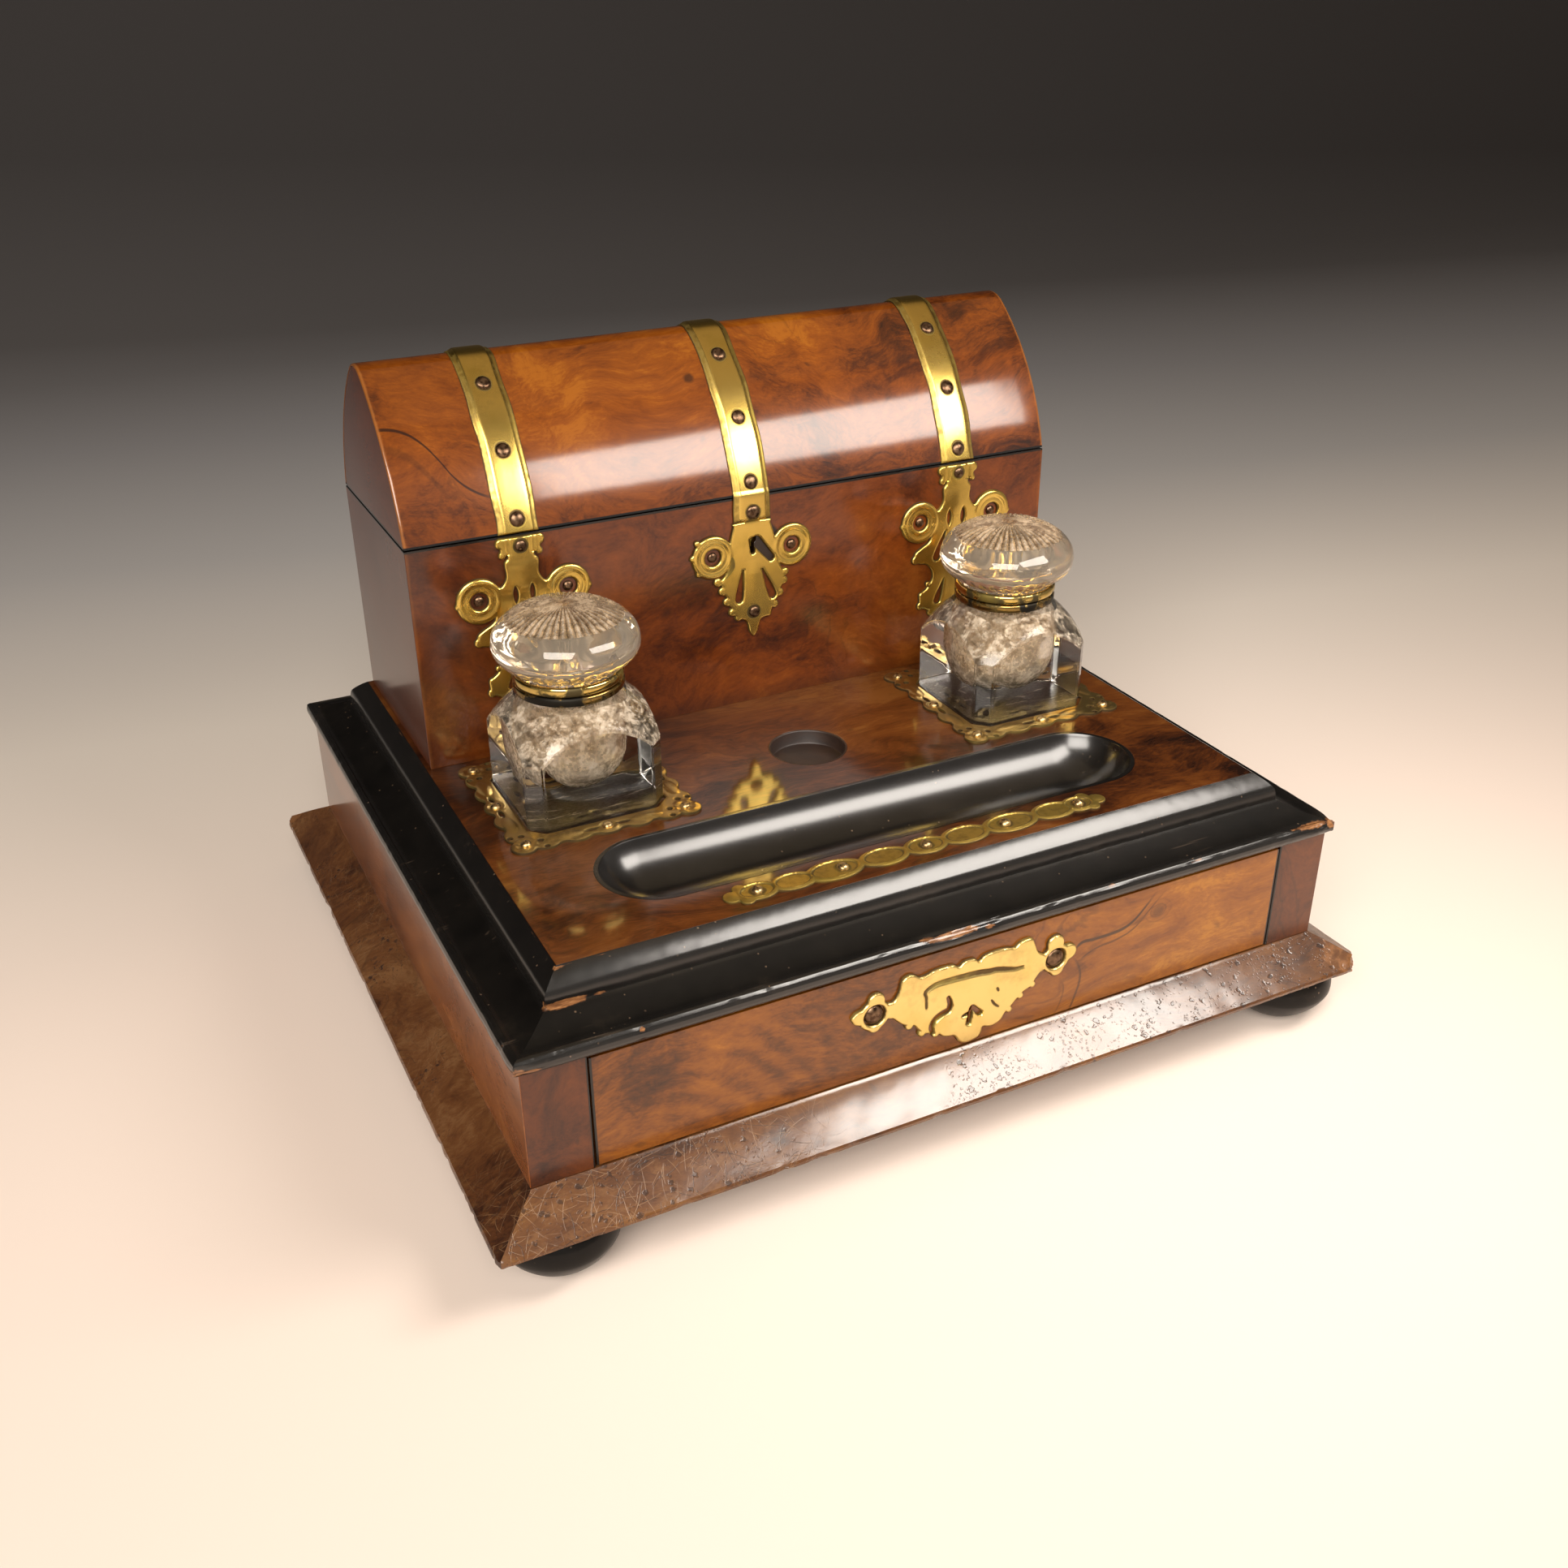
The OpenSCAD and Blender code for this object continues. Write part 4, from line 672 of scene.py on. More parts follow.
MAT = {
    "lid": walnut("WalnutLid", "lid", 0.31, 1.05, (1, 1, 1), contrast=0.88, vein_amount=0.30, extra=lid_extra, seam=True, coat_rough=0.12, tilt=lid_tilt, feather=1.2, arris=0.1411),
    "lid_end": walnut("WalnutLidEnd", "side", 2.7, 1.3, (1, 0.5, 1), contrast=0.48, vein_amount=0.15, seam=True, coat_rough=0.16, varnish=1.36),
    "chest": walnut("WalnutChest", "chest", 1.9, 1.25, (1, 1, 0.8), contrast=0.95, vein_amount=0.35, extra=chest_extra, seam=True, coat_rough=0.16, tilt=chest_tilt, lean=(0, 70, 0), arris=0.1411, rub=0.14),
    "chest_side": walnut("WalnutChestSide", "side", 4.4, 1.5, (1, 1, 0.7), contrast=0.48, vein_amount=0.12, seam=True, coat_rough=0.17, feather=0.6, varnish=1.36),
    "top": walnut("WalnutTop", "top", 3.3, 1.05, (0.6, 1, 1), contrast=1.25, vein_amount=0.45, coat_rough=0.085, lean=(0, 0, 25), tilt=top_tilt),
    "drawer": walnut("WalnutDrawer", "drawer", 5.1, 1.2, (0.75, 1, 1.05), contrast=0.92, vein_amount=0.50, extra=drawer_extra, coat_rough=0.15, tilt=drawer_tilt, gap=(0.1412, 0.20)),
    "case": walnut("WalnutCase", "case", 6.6, 1.1, (1, 0.6, 1), contrast=0.85, vein_amount=0.35, coat_rough=0.15),
    "post": walnut("WalnutPost", "post", 8.3, 0.9, (1, 1, 0.7), contrast=0.8, vein_amount=0.35, coat_rough=0.17, shift=0.03, lean=(0, 80, 0), gap=(0.130, 0.1431)),
    "plinth_front": walnut("WalnutPlinthFront", "plinth_front", 9.2, 0.95, (0.8, 1, 1), contrast=0.9, vein_amount=0.35, worn="front", coat_rough=0.18, shift=0.03, rough=0.36),
    "plinth_side": walnut("WalnutPlinthSide", "plinth_side", 11.7, 1.15, (1, 0.8, 1), contrast=1.05, vein_amount=0.35, worn="side", coat_rough=0.20, shift=-0.03, rough=0.40),
    "recess": walnut("WalnutRecess", "recess", 13.0, 0.8, contrast=0.7, vein_amount=0.3, coat_rough=0.5, rough=0.6),
    "divider": walnut("WalnutDividers", "inner", 15.0, 1.3, (0.3, 1, 1), contrast=0.7, vein_amount=0.2, coat_rough=0.2),
    "ebony": ebonised("EbonisedMoulding", coat=1.0, coat_rough=0.22, rough=0.55, level=0.08, polish=1.62),
    "tray": ebonised("EbonisedTray", coat=1.0, coat_rough=0.20, chips=False, level=0.08, polish=1.62),
    "foot": ebonised("EbonisedFoot", coat=0.25, coat_rough=0.12, chips=False, level=0.08),
    "finial": brass("BrassFinials", base=(0.78, 0.545, 0.135), rough=0.24, tarnish=0.22, bump=0.04, edge=(0.50, 0.08), fray=0.22),
    "esc": brass("BrassEscutcheon", base=(0.84, 0.640, 0.240), dark=(0.075, 0.040, 0.014), rough=0.30, tarnish=0.25, bump=0.05, edge=(0.42, 0.05)),
    "strap": brass("BrassStraps", base=(0.76, 0.530, 0.135), rough=0.26, tarnish=0.30),
    "gallery": brass("BrassGalleries", base=(0.56, 0.400, 0.150), dark=(0.060, 0.035, 0.014), rough=0.36, tarnish=0.80, bump=0.22),
    "strip": brass("BrassStrip", base=(0.60, 0.430, 0.110), dark=(0.085, 0.052, 0.018), rough=0.44, tarnish=0.60, bump=0.12, edge=(0.40, 0.08)),
    "collar": brass("BrassCollar", base=(0.300, 0.200, 0.070), dark=(0.010, 0.008, 0.005), rough=0.20, tarnish=0.95, rim=False, patch=1.0, bump=0.10),
    "ring": brass("BrassLidRing", base=(0.66, 0.480, 0.150), dark=(0.016, 0.012, 0.007), rough=0.13, tarnish=0.50, rim=False, patch=0.92, bump=0.10),
    "hinge": brass("BrassHinges", rough=0.33, rim=False, bump=0.12),
    "pin": bronze("BronzePins", (0.200, 0.125, 0.075)),
    "brass_pin": bronze("BrassPins", (0.66, 0.49, 0.24)),
    "pine_x": pine("PineAcross", ((106, 76, 45), (132, 104, 68), (146, 120, 84)), along="x"),
    "pine_y": pine("PineLengthways", ((106, 76, 45), (132, 104, 68), (146, 120, 84)), along="y"),
    "pine_z": pine("PineUpright", ((106, 76, 45), (132, 104, 68), (146, 120, 84)), along="z"),
    "steel": steel("SteelPins"),
    "glass": glass("CutGlass"),
    "well": dusty("DustyWell", (0.90, 0.76, 0.57), 0.36, rough=0.24, swirl=True),
    # ink-stained foot, and painted shade: its near-black opaque faces darken the low part of the bottle
    "base": dusty("InkStainedShadedBase", (0.0045, 0.0032, 0.0022), 0.0, rough=0.45, streak=True),
    "shoulder": dusty("DustyShoulder", (0.66, 0.55, 0.42), 0.68, rough=0.10, film=True),
    "cap": glass("CutGlassLid", tint=(0.90, 0.80, 0.66), rough=0.035, dust=0.09, wave=0.26),
    "cap_top": dusty("FrostedLidTop", (0.360, 0.255, 0.155), 0.40, rough=0.24, radial=True),
}

# ------------------------------------------------------------------ CAD nodes that stay: finer edges and their material
STAY = {
    "base_board": ("pine_x", 0.4), "case_side_left": ("case", 0.5), "case_side_right": ("case", 0.5), "case_back": ("case", 0.5),
    "front_post_left": ("post", 0.5), "front_post_right": ("post", 0.5), "drawer_guides": ("pine_y", 0.4), "top_board": ("top", 0.25),
    "chest_front": ("chest", 0.45), "chest_back": ("chest_side", 0.45), "chest_left": ("chest_side", 0.45), "chest_right": ("chest_side", 0.45),
    "chest_floor": ("pine_x", 0.3), "letter_dividers": ("divider", 0.8), "lid_hinge_fixed_leaves": ("hinge", 0.2), "lid_hinge_moving_leaves": ("hinge", 0.2),
    "lid_hinge_pins": ("steel", 0.25), "chest_lock": ("hinge", 0.3), "lid_lock_plate": ("hinge", 0.3), "drawer_front": ("drawer", 0.45),
    "drawer_side_left": ("pine_y", 0.5), "drawer_side_right": ("pine_y", 0.5), "drawer_back": ("pine_x", 0.5), "drawer_bottom": ("pine_y", 0.3),
    "drawer_lock": ("hinge", 0.3), "inkwell_left_hinge_pin": ("steel", 0.15), "inkwell_right_hinge_pin": ("steel", 0.15),
}
for node, (mat, width) in STAY.items():
    o = NODES[node]
    o.data.materials.clear()
    o.data.materials.append(MAT[mat])
    w = o.modifiers.new("weld", "WELD")
    w.merge_threshold = 2e-6
    d = o.modifiers.new("planar", "DECIMATE")
    d.decimate_type, d.angle_limit = "DISSOLVE", math.radians(0.6)
    b = o.modifiers.new("edges", "BEVEL")
    b.width, b.segments, b.limit_method, b.angle_limit = width * MM, 2, "ANGLE", math.radians(32)
    b.use_clamp_overlap, b.miter_outer = True, "MITER_SHARP"
    n = o.modifiers.new("normals", "WEIGHTED_NORMAL")
    n.weight, n.keep_sharp = 60, False


# ------------------------------------------------------------------ mitred mouldings
def side_maps(w, d):
    """Four sides as (name, half length, depth, turn): the section runs outward from the side's face."""
    return [("front", w, d, lambda x, o: (x, -(d + o))), ("back", w, d, lambda x, o: (-x, d + o)), ("left", d, w, lambda x, o: (-(w + o), -x)), ("right", d, w, lambda x, o: (w + o, x))]


def round_corner(V, w, d, out_max, radii):
    """Wears the vertical corners of a rectangle round: radii for (left front, right front, left back, right back)."""
    V = V.copy()
    for (sx, sy), r in zip(((-1, -1), (1, -1), (-1, 1), (1, 1)), radii):
        if r <= 0:
            continue
        u, v = sx * V[:, 0] - (w + out_max), sy * V[:, 1] - (d + out_max)
        cu, cv = -r, -r
        du, dv = u - cu, v - cv
        k = (du > 0) & (dv > 0)
        rad = np.hypot(du, dv)
        over = k & (rad > r)
        f = np.where(over, r / np.maximum(rad, 1e-9), 1)
        V[:, 0] = np.where(over, sx * (w + out_max + cu + du * f), V[:, 0])
        V[:, 1] = np.where(over, sy * (d + out_max + cv + dv * f), V[:, 1])
    return V


def moulding(name, node, profile, w, d, step, material_of, wear):
    """Four mitred lengths swept from one section [outward, z], worn by wear(V, side, convexity)."""
    prof = np.array(profile, float)
    n = len(prof)
    prev, nxt = np.roll(prof, 1, 0), np.roll(prof, -1, 0)
    tan = nxt - prev
    nrm = np.stack([tan[:, 1], -tan[:, 0]], 1)
    nrm /= np.maximum(np.linalg.norm(nrm, axis=1), 1e-9)[:, None]
    area = 0.5 * np.sum(prof[:, 0] * nxt[:, 1] - nxt[:, 0] * prof[:, 1])
    if area < 0:
        nrm = -nrm
    a, b = prof - prev, nxt - prof
    turn = np.degrees(np.arctan2(a[:, 0] * b[:, 1] - a[:, 1] * b[:, 0], (a * b).sum(1))) * (1 if area > 0 else -1)
    for side, half, depth, place in side_maps(w, d):
        k = max(8, int(2 * half / step[side]))
        s = np.linspace(-1, 1, k + 1)
        if side in ("front", "right", "left"):  # closer rows at the mitres, where the wear is
            fine = 1 - np.arange(1, 34) * 0.55 / (half + 10)
            s = np.unique(np.concatenate([s[(s > -fine[-1]) & (s < fine[-1])], fine, -fine, [-1.0, 1.0]]).round(7))
            k = len(s) - 1
        V, N, C = [], [], []
        for t in s:
            for (o, z), (no, nz), c in zip(prof, nrm, turn):
                x = t * (half + o - 0.03)
                px, py = place(x, o)
                qx, qy = place(x, o + no)
                V.append((px, py, z))
                N.append((qx - px, qy - py, nz))
                C.append(c)
        V, N, C = np.array(V), np.array(N), np.array(C)
        V, attrs = wear(V, N, side, C)
        F = grid_faces(k + 1, n, wrap_v=True)
        F.append(tuple(range(n)))
        F.append(tuple(reversed(range(k * n, (k + 1) * n))))
        build(f"{name}_{side}", V, F, material_of(side), "stand", (node,), angle=28, attrs=attrs)


def gauss(V, centre, radii, power=2):
    q = ((V - np.array(centre)) / np.array(radii)) ** 2
    return np.exp(-q.sum(1))


plinth_vis = [(PLINTH_OUT - 1, Z_PLINTH), (PLINTH_OUT, Z_PLINTH + 0.9), (PLINTH_OUT, Z_PLINTH + 2.0)] + bez((PLINTH_OUT - 0.5, Z_PLINTH + 2.9), (PLINTH_OUT * 0.68, Z_PLINTH + 5.9), (PLINTH_OUT * 0.36, Z_CASE - 3.2), (0.6, Z_CASE - 0.4), 10) + [(0, Z_CASE)]
plinth_prof = [(-WALL, Z_CASE), (-WALL, Z_CASE - 6), (-22, Z_CASE - 6), (-22, Z_PLINTH)] + resample(plinth_vis, 1.1)


def plinth_wear(V, N, side, C):
    out = V.copy()
    outward = np.maximum(np.abs(V[:, 0]) - HW, np.abs(V[:, 1]) - HD)
    low = np.clip(1 - np.abs(V[:, 2] - (Z_PLINTH + 1.2)) / 2.4, 0, 1) * np.clip((outward - 14) / 3, 0, 1)
    rough = fbm(V, 7, 3, 3)
    nick = np.clip((fbm(V * [1, 1, 0.2], 3.2, 9, 2) - 0.60) / 0.2, 0, 1) * low
    push = -0.10 - 0.55 * nick + 0.16 * (rough - 0.5)
    visible = outward > 0.5
    if side == "front":
        for x, dep, wid in ((-81.5, 1.5, 1.6), (-67.5, 1.0, 1.2), (-20, 0.8, 1.2), (34, 0.9, 1.8), (88, 0.7, 1.4), (-118, 0.6, 2.0)):
            push -= dep * np.exp(-(((V[:, 0] - x) / wid) ** 2)) * low
    if side == "left":
        for y, dep, wid in ((-96, 0.7, 2.0), (12, 0.6, 1.8), (74, 0.8, 2.4)):
            push -= dep * np.exp(-(((V[:, 1] - y) / wid) ** 2)) * low
    out += N * (np.where(visible, push, 0))[:, None]
    out = round_corner(out, HW, HD, PLINTH_OUT, (4.2, 2.2, 7.5, 3.0))
    # the tip at the right front corner is broken off
    u, v = out[:, 0] - HW, -out[:, 1] - HD
    ridge = np.round(fbm(np.stack([u - v, V[:, 2] * 1.6, 0 * u], 1), 3.6, 61, 3) * 6) / 6
    limit = 25.4 + 2.6 * ridge - 0.22 * (V[:, 2] - Z_PLINTH)
    over = np.where(visible, np.maximum(u + v - limit, 0), 0)
    out[:, 0] -= over / 2
    out[:, 1] += over / 2
    corner = np.clip(1 - np.abs(np.abs(V[:, 0]) - HW - (np.abs(V[:, 1]) - HD)) / 2.2, 0, 1) * (outward > 1)
    edge = np.maximum(np.maximum(low * (0.34 + 0.30 * nick), corner * 0.42), np.clip(gauss(V, (HW + 12, -(HD + 12), 30), (14, 10, 9)), 0, 0.5))
    edge = np.maximum(edge, 0.75 * gauss(V, (-(HW + 14), HD + 14, 30), (9, 7, 9)))
    edge = np.maximum(edge, np.clip(over * 1.2, 0, 0.9))
    out[:, 2] = np.clip(out[:, 2], Z_PLINTH, Z_CASE)
    return out, {"edge": edge}


moulding("plinth_moulding", "plinth_mouldings", plinth_prof, HW, HD, {"front": 1.6, "left": 1.9, "back": 4, "right": 3}, lambda s: MAT["plinth_front"] if s in ("front", "back") else MAT["plinth_side"], plinth_wear)

U = Z_UNDER
top_vis = [(0, U), (1.4, U + 0.4), (2.3, U + 1.3), (2.65, U + 2.6), (2.6, U + 3.9), (2.1, U + 5.2), (1.2, U + 6.1), (0.1, U + 6.4)]
top_vis = rounded([(-30, U + 0.1)] + top_vis + [(-30, U + 6.5)], 0.7, 2)[3:-3]
top_vis = [(0.0, U)] + [p for p in top_vis if p[0] > 0.05]
cove = bez((-1, U + 6.2), (-5.5, U + 6.4), (-10.2, U + 8.8), (-14.5, U + 11.0), 16)
shoulder = bez((-14.55, U + 11.6), (-14.6, U + 13.8), (-14.9, U + 15.6), (-15.9, U + 16.7), 8) + bez((-16.1, U + 16.9), (-17.7, U + 18.5), (-19.9, U + 20.3), (-TOP_IN, Z_TOP), 10)
top_prof = [(-TOP_IN, U)] + resample(top_vis + [(0.0, U + 6.4), (-0.5, U + 6.15)] + cove + shoulder, 0.9)


def top_wear(V, N, side, C):
    out = V.copy()
    outward = np.maximum(np.abs(V[:, 0]) - HW, np.abs(V[:, 1]) - HD)
    z = V[:, 2] - U
    visible = (outward > -21.62) & (z > 0.2)
    bead = np.clip(1 - np.abs(z - 5.6) / 1.8, 0, 1) * np.clip((outward + 1.0) / 1.5, 0, 1)
    lip = np.clip(1 - np.abs(outward - 2.4) / 1.0, 0, 1) * (z < 6)
    brk = np.clip(1 - np.hypot(outward + 14.5, z - 11.4) / 1.3, 0, 1)
    arris = np.clip(1 - np.abs(outward + 21.5) / 0.75, 0, 1) * (z > 18)
    rough = fbm(V, 5, 21, 3)
    edge = np.maximum.reduce([bead, lip * 0.8, brk * 0.6])
    knock = np.clip((fbm(V * [1, 1, 0.5], 4.0, 33, 3) - 0.60) / 0.16, 0, 1) * edge
    near_corner = np.clip(1 - np.minimum(np.abs(np.abs(V[:, 0]) - HW), 30) / 26, 0, 1) * np.clip(1 - np.minimum(np.abs(np.abs(V[:, 1]) - HD), 30) / 26, 0, 1)
    chip = knock * (0.34 + 0.35 * near_corner)
    push = 0.10 * (rough - 0.5) - 0.28 * knock
    for c, r, amt, dep in (
        ((-7, -HD - 1.6, U + 5.6), (13.5, 2.6, 1.9), 1.05, 0.75), ((-17, -HD - 0.6, U + 6.4), (5, 2.2, 1.3), 0.8, 0.4), ((7, -HD - 1.8, U + 4.6), (4, 2, 1.6), 0.7, 0.4),
        ((157, -HD - 1.0, U + 6.0), (10, 3.0, 2.2), 0.95, 0.9), ((165.5, -HD - 0.4, U + 4.2), (3.0, 4, 3.2), 1.0, 0.9), ((147, -HD - 0.6, U + 6.2), (5, 1.6, 1.2), 0.62, 0.3),
        ((-144, -129.6, U + 11.2), (9.5, 2.0, 1.7), 1.05, 0.35), ((-132, -129.6, U + 11.2), (4, 1.2, 1.0), 0.75, 0.2), ((-150.5, -128.9, U + 11.8), (1.6, 2.2, 1.8), 0.9, 0.3),
        ((-166, -146, U + 2.4), (3.6, 3.6, 2.6), 0.9, 0.7), ((-161, -147, U + 1.6), (5, 1.8, 1.4), 0.85, 0.35), ((-124, -146.6, U + 5.2), (1.2, 1.2, 1.2), 0.9, 0.2), ((60, -146, U + 5.9), (6, 1.6, 1.2), 0.62, 0.25), ((-143.6, -123.2, Z_TOP), (3.4, 2.2, 1.3), 0.8, 0.25),
        ((100, -146, U + 5.9), (9, 1.5, 1.0), 0.58, 0.2),
    ):
        g = gauss(V, c, r)
        chip = np.maximum(chip, amt * g)
        push -= dep * g * (0.5 + rough)
    chip = np.maximum(chip, arris * (0.52 + 0.34 * np.clip(-V[:, 0] / 150, -0.6, 1)) * (0.55 + 0.9 * rough))
    out += N * (np.where(visible, push, 0))[:, None]
    out = round_corner(out, HW, HD, 2.65, (2.2, 2.6, 1.6, 1.6))
    out[:, 2] = np.minimum(out[:, 2], Z_TOP)
    gloss = np.maximum(np.clip((-12.6 - outward) / 2.2, 0, 1), np.clip((outward + 2.6) / 1.6, 0, 1))
    return out, {"chip": np.where(visible, chip, 0), "gloss": gloss}


moulding("top_moulding", "top_mouldings", top_prof, HW, HD, {"front": 1.2, "left": 1.8, "back": 4, "right": 2.4}, lambda s: MAT["ebony"], top_wear)


# ------------------------------------------------------------------ feet, tray, recess
def feet():
    prof = [(0, 0), (4.2, 0)] + bez((4.5, 0.04), (11.5, 1.2), (19.3, 8.2), (21.4, 14.2), 22) + bez((21.5, 15.6), (21.6, 18.5), (20.4, 21.6), (18.6, Z_PLINTH), 10) + [(12, Z_PLINTH), (0, Z_PLINTH)]
    V, F = lathe(prof, 72)
    parts = []
    for i, (sx, sy) in enumerate(((-1, -1), (1, -1), (-1, 1), (1, 1))):
        n = ("left_front", "right_front", "left_back", "right_back")[i]
        w = V.copy()
        w[:, :2] *= 1 + 0.004 * (fbm(w + 40 * i, 12, i, 2)[:, None] - 0.5)
        parts.append(build(f"bun_foot_{n}", w + [sx * (HW - 9.1), sy * (HD - 4.2), 0], F, MAT["foot"], "stand", ("bun_feet",), angle=50))


feet()


def stadium_point(rho, t, half):
    """Point at distance rho round a straight centre line of this half length; t runs 0 to 1 once round."""
    a = 2 * math.pi * t
    return (half if math.cos(a) >= 0 else -half) + rho * math.cos(a), rho * math.sin(a)


def tray():
    depth, r, length = 14.0, 22.5, 226.0
    half = length / 2 - r
    cut = ((r - 1.5) ** 2 + depth**2) / (2 * depth)
    ts = []
    n_arc, n_str = 40, 44
    for s in (1, -1):
        for k in range(n_arc + 1):
            a = -math.pi / 2 + math.pi * k / n_arc
            ts.append(("arc", s, a))
        for k in range(1, n_str):
            ts.append(("line", s, k / n_str))
    rhos = list(np.linspace(0.0, r - 2.0, 22)) + [r - 1.7, r - 1.5, r - 1.25, r - 0.9, r - 0.5, r - 0.2, r]
    V, rows = [], []

    def depth_at(rho):
        z = Z_TOP - depth + cut - math.sqrt(max(cut * cut - rho * rho, 0))
        if rho > r - 2.1:  # small rounded lip
            k = min(1.0, (rho - (r - 2.1)) / 0.95)
            k = k * k * (3 - 2 * k)
            z = z * (1 - k) + Z_TOP * k
        return min(z, Z_TOP)

    def ring(rho, z):
        row = []
        for kind, s, q in ts:
            if kind == "arc":
                x, y = s * half + rho * s * math.cos(q), rho * s * math.sin(q)
            else:
                x, y = s * (half - 2 * half * q), s * rho
            row.append(len(V))
            V.append((x, -80.5 + y, z))
        rows.append(row)

    for rho in rhos:
        ring(max(rho, 1e-3), depth_at(rho))
    ring(r, Z_TOP - 0.25)
    ring(r, Z_TOP - 17.4)
    ring(1e-3, Z_TOP - 17.4)
    n = len(ts)
    F = grid_faces(len(rows), n, wrap_v=True)
    V = np.array(V)
    V[:, 2] += np.where(V[:, 2] < Z_TOP - 2, 0.10 * (fbm(V, 16, 4, 2) - 0.5), 0)
    ob = build("pen_tray_trough", V, F, MAT["tray"], "stand", ("pen_tray",), angle=40)
    bm = bmesh.new()
    bm.from_mesh(ob.data)
    bmesh.ops.remove_doubles(bm, verts=bm.verts, dist=4e-6)
    bmesh.ops.dissolve_degenerate(bm, dist=2e-6, edges=bm.edges)
    bmesh.ops.recalc_face_normals(bm, faces=bm.faces)
    bm.to_mesh(ob.data)
    bm.free()


tray()
V, F = lathe([(0, 1.7), (8, 1.72), (13.6, 1.75), (14.6, 2.0), (15.0, 2.6), (15.0, 7.3), (15.15, 7.7), (15.5, 7.9), (15.8, 7.85), (15.8, 0), (0, 0)], 72)
build("recess_cup", V + [-0.5, -23, Z_TOP - 7.9], F, MAT["recess"], "stand", ("recess_liner",), angle=40)


# ------------------------------------------------------------------ domed lid
def dome_path(g, n_flank=44, n_ridge=18, low=GAP):
    """Points (y, z, ny, nz) over the lid from its front bottom edge to the back, g inside the outer face."""
    r, rr = FLANK_R - g, RIDGE_R - g
    a0 = 180 - math.degrees(math.asin((low - F_Z) / r))
    out = []
    for k in range(n_flank):
        a = math.radians(a0 + (RIDGE_ANG - a0) * k / n_flank)
        out.append((CHEST_Y + F_Y + r * math.cos(a), Z_SEAM + F_Z + r * math.sin(a), math.cos(a), math.sin(a)))
    for k in range(n_ridge + 1):
        a = math.radians(RIDGE_ANG + (180 - 2 * RIDGE_ANG) * k / n_ridge)
        out.append((CHEST_Y + HALF_D + rr * math.cos(a), Z_SEAM + RIDGE_Z + rr * math.sin(a), math.cos(a), math.sin(a)))
    for k in range(n_flank - 1, -1, -1):
        a = math.radians(180 - (a0 + (RIDGE_ANG - a0) * k / n_flank))
        out.append((CHEST_Y + CHEST_D - F_Y + r * math.cos(a), Z_SEAM + F_Z + r * math.sin(a), math.cos(a), math.sin(a)))
    return out


def lid_pieces():
    # shell with its veneer running out over the two end boards
    ven = 0.9
    stations = [(-CW, 0.55, ven), (-CW + 0.18, 0.22, ven), (-CW + 0.55, 0.04, ven), (-CW + 1.2, 0.0, ven)]
    inner_x = CW - WALL
    stations += [(-inner_x - 0.02, 0.0, ven), (-inner_x, 0.0, 8.0)]
    stations += [(x, 0.0, 8.0) for x in np.linspace(-inner_x, inner_x, 68)[1:-1]]
    stations += [(inner_x, 0.0, 8.0), (inner_x + 0.02, 0.0, ven)]
    stations += [(-x, g, i) for x, g, i in stations[3::-1]]
    V, rows = [], []
    for x, g, gi in stations:
        outer = dome_path(g)
        inner = dome_path(gi)
        row = []
        for p in outer:
            row.append(len(V))
            V.append((x, p[0], p[1]))
        for p in reversed(inner):
            row.append(len(V))
            V.append((x, p[0], p[1]))
        rows.append(row)
    V = np.array(V)
    n = len(rows[0])
    half = n // 2
    # the flat polished surface is never quite true
    k = np.tile(np.arange(n) < half, len(rows))
    P = dome_path(0.0)
    nrm = np.array([(0, p[2], p[3]) for p in P] + [(0, 0, 0)] * (n - half))
    wob = 0.16 * (fbm(V * [0.6, 1, 1], 42, 5, 2) - 0.5)
    V += np.tile(nrm, (len(rows), 1)) * (np.where(k, wob, 0))[:, None]
    F = grid_faces(len(rows), n, wrap_v=True)
    F.append(tuple(range(n)))
    F.append(tuple(reversed(range((len(rows) - 1) * n, len(rows) * n))))
    V[:, 2] = np.maximum(V[:, 2], Z_SEAM + GAP)
    build("lid_shell_veneered", V, F, MAT["lid"], "chest_lid", ("lid_shell",), angle=38)
    for s, name in ((-1, "left"), (1, "right")):
        V, rows = [], []
        for x, g in ((CW - WALL + 0.05, ven + 0.02), (CW - 0.35, ven + 0.02), (CW - 0.12, ven + 0.12), (CW - 0.06, ven + 0.5)):
            row = []
            for p in dome_path(g):
                row.append(len(V))
                V.append((s * x, p[0], p[1]))
            rows.append(row)
        n = len(rows[0])
        F = grid_faces(4, n)
        # flat faces as fans of strips between front and back
        for row, flip in ((rows[0], False), (rows[-1], True)):
            for i in range(n // 2):
                j = n - 1 - i
                if i + 1 < j - 1 or i + 1 == j - 1:
                    F.append((row[i], row[i + 1], row[j - 1], row[j]) if i + 1 < j - 1 else (row[i], row[i + 1], row[j]))
        for i in range(3):
            F.append((rows[i][0], rows[i + 1][0], rows[i + 1][-1], rows[i][-1]))
        build(f"lid_end_board_{name}", V, F, MAT["lid_end"], "chest_lid", (f"lid_end_{name}",), angle=30)


lid_pieces()


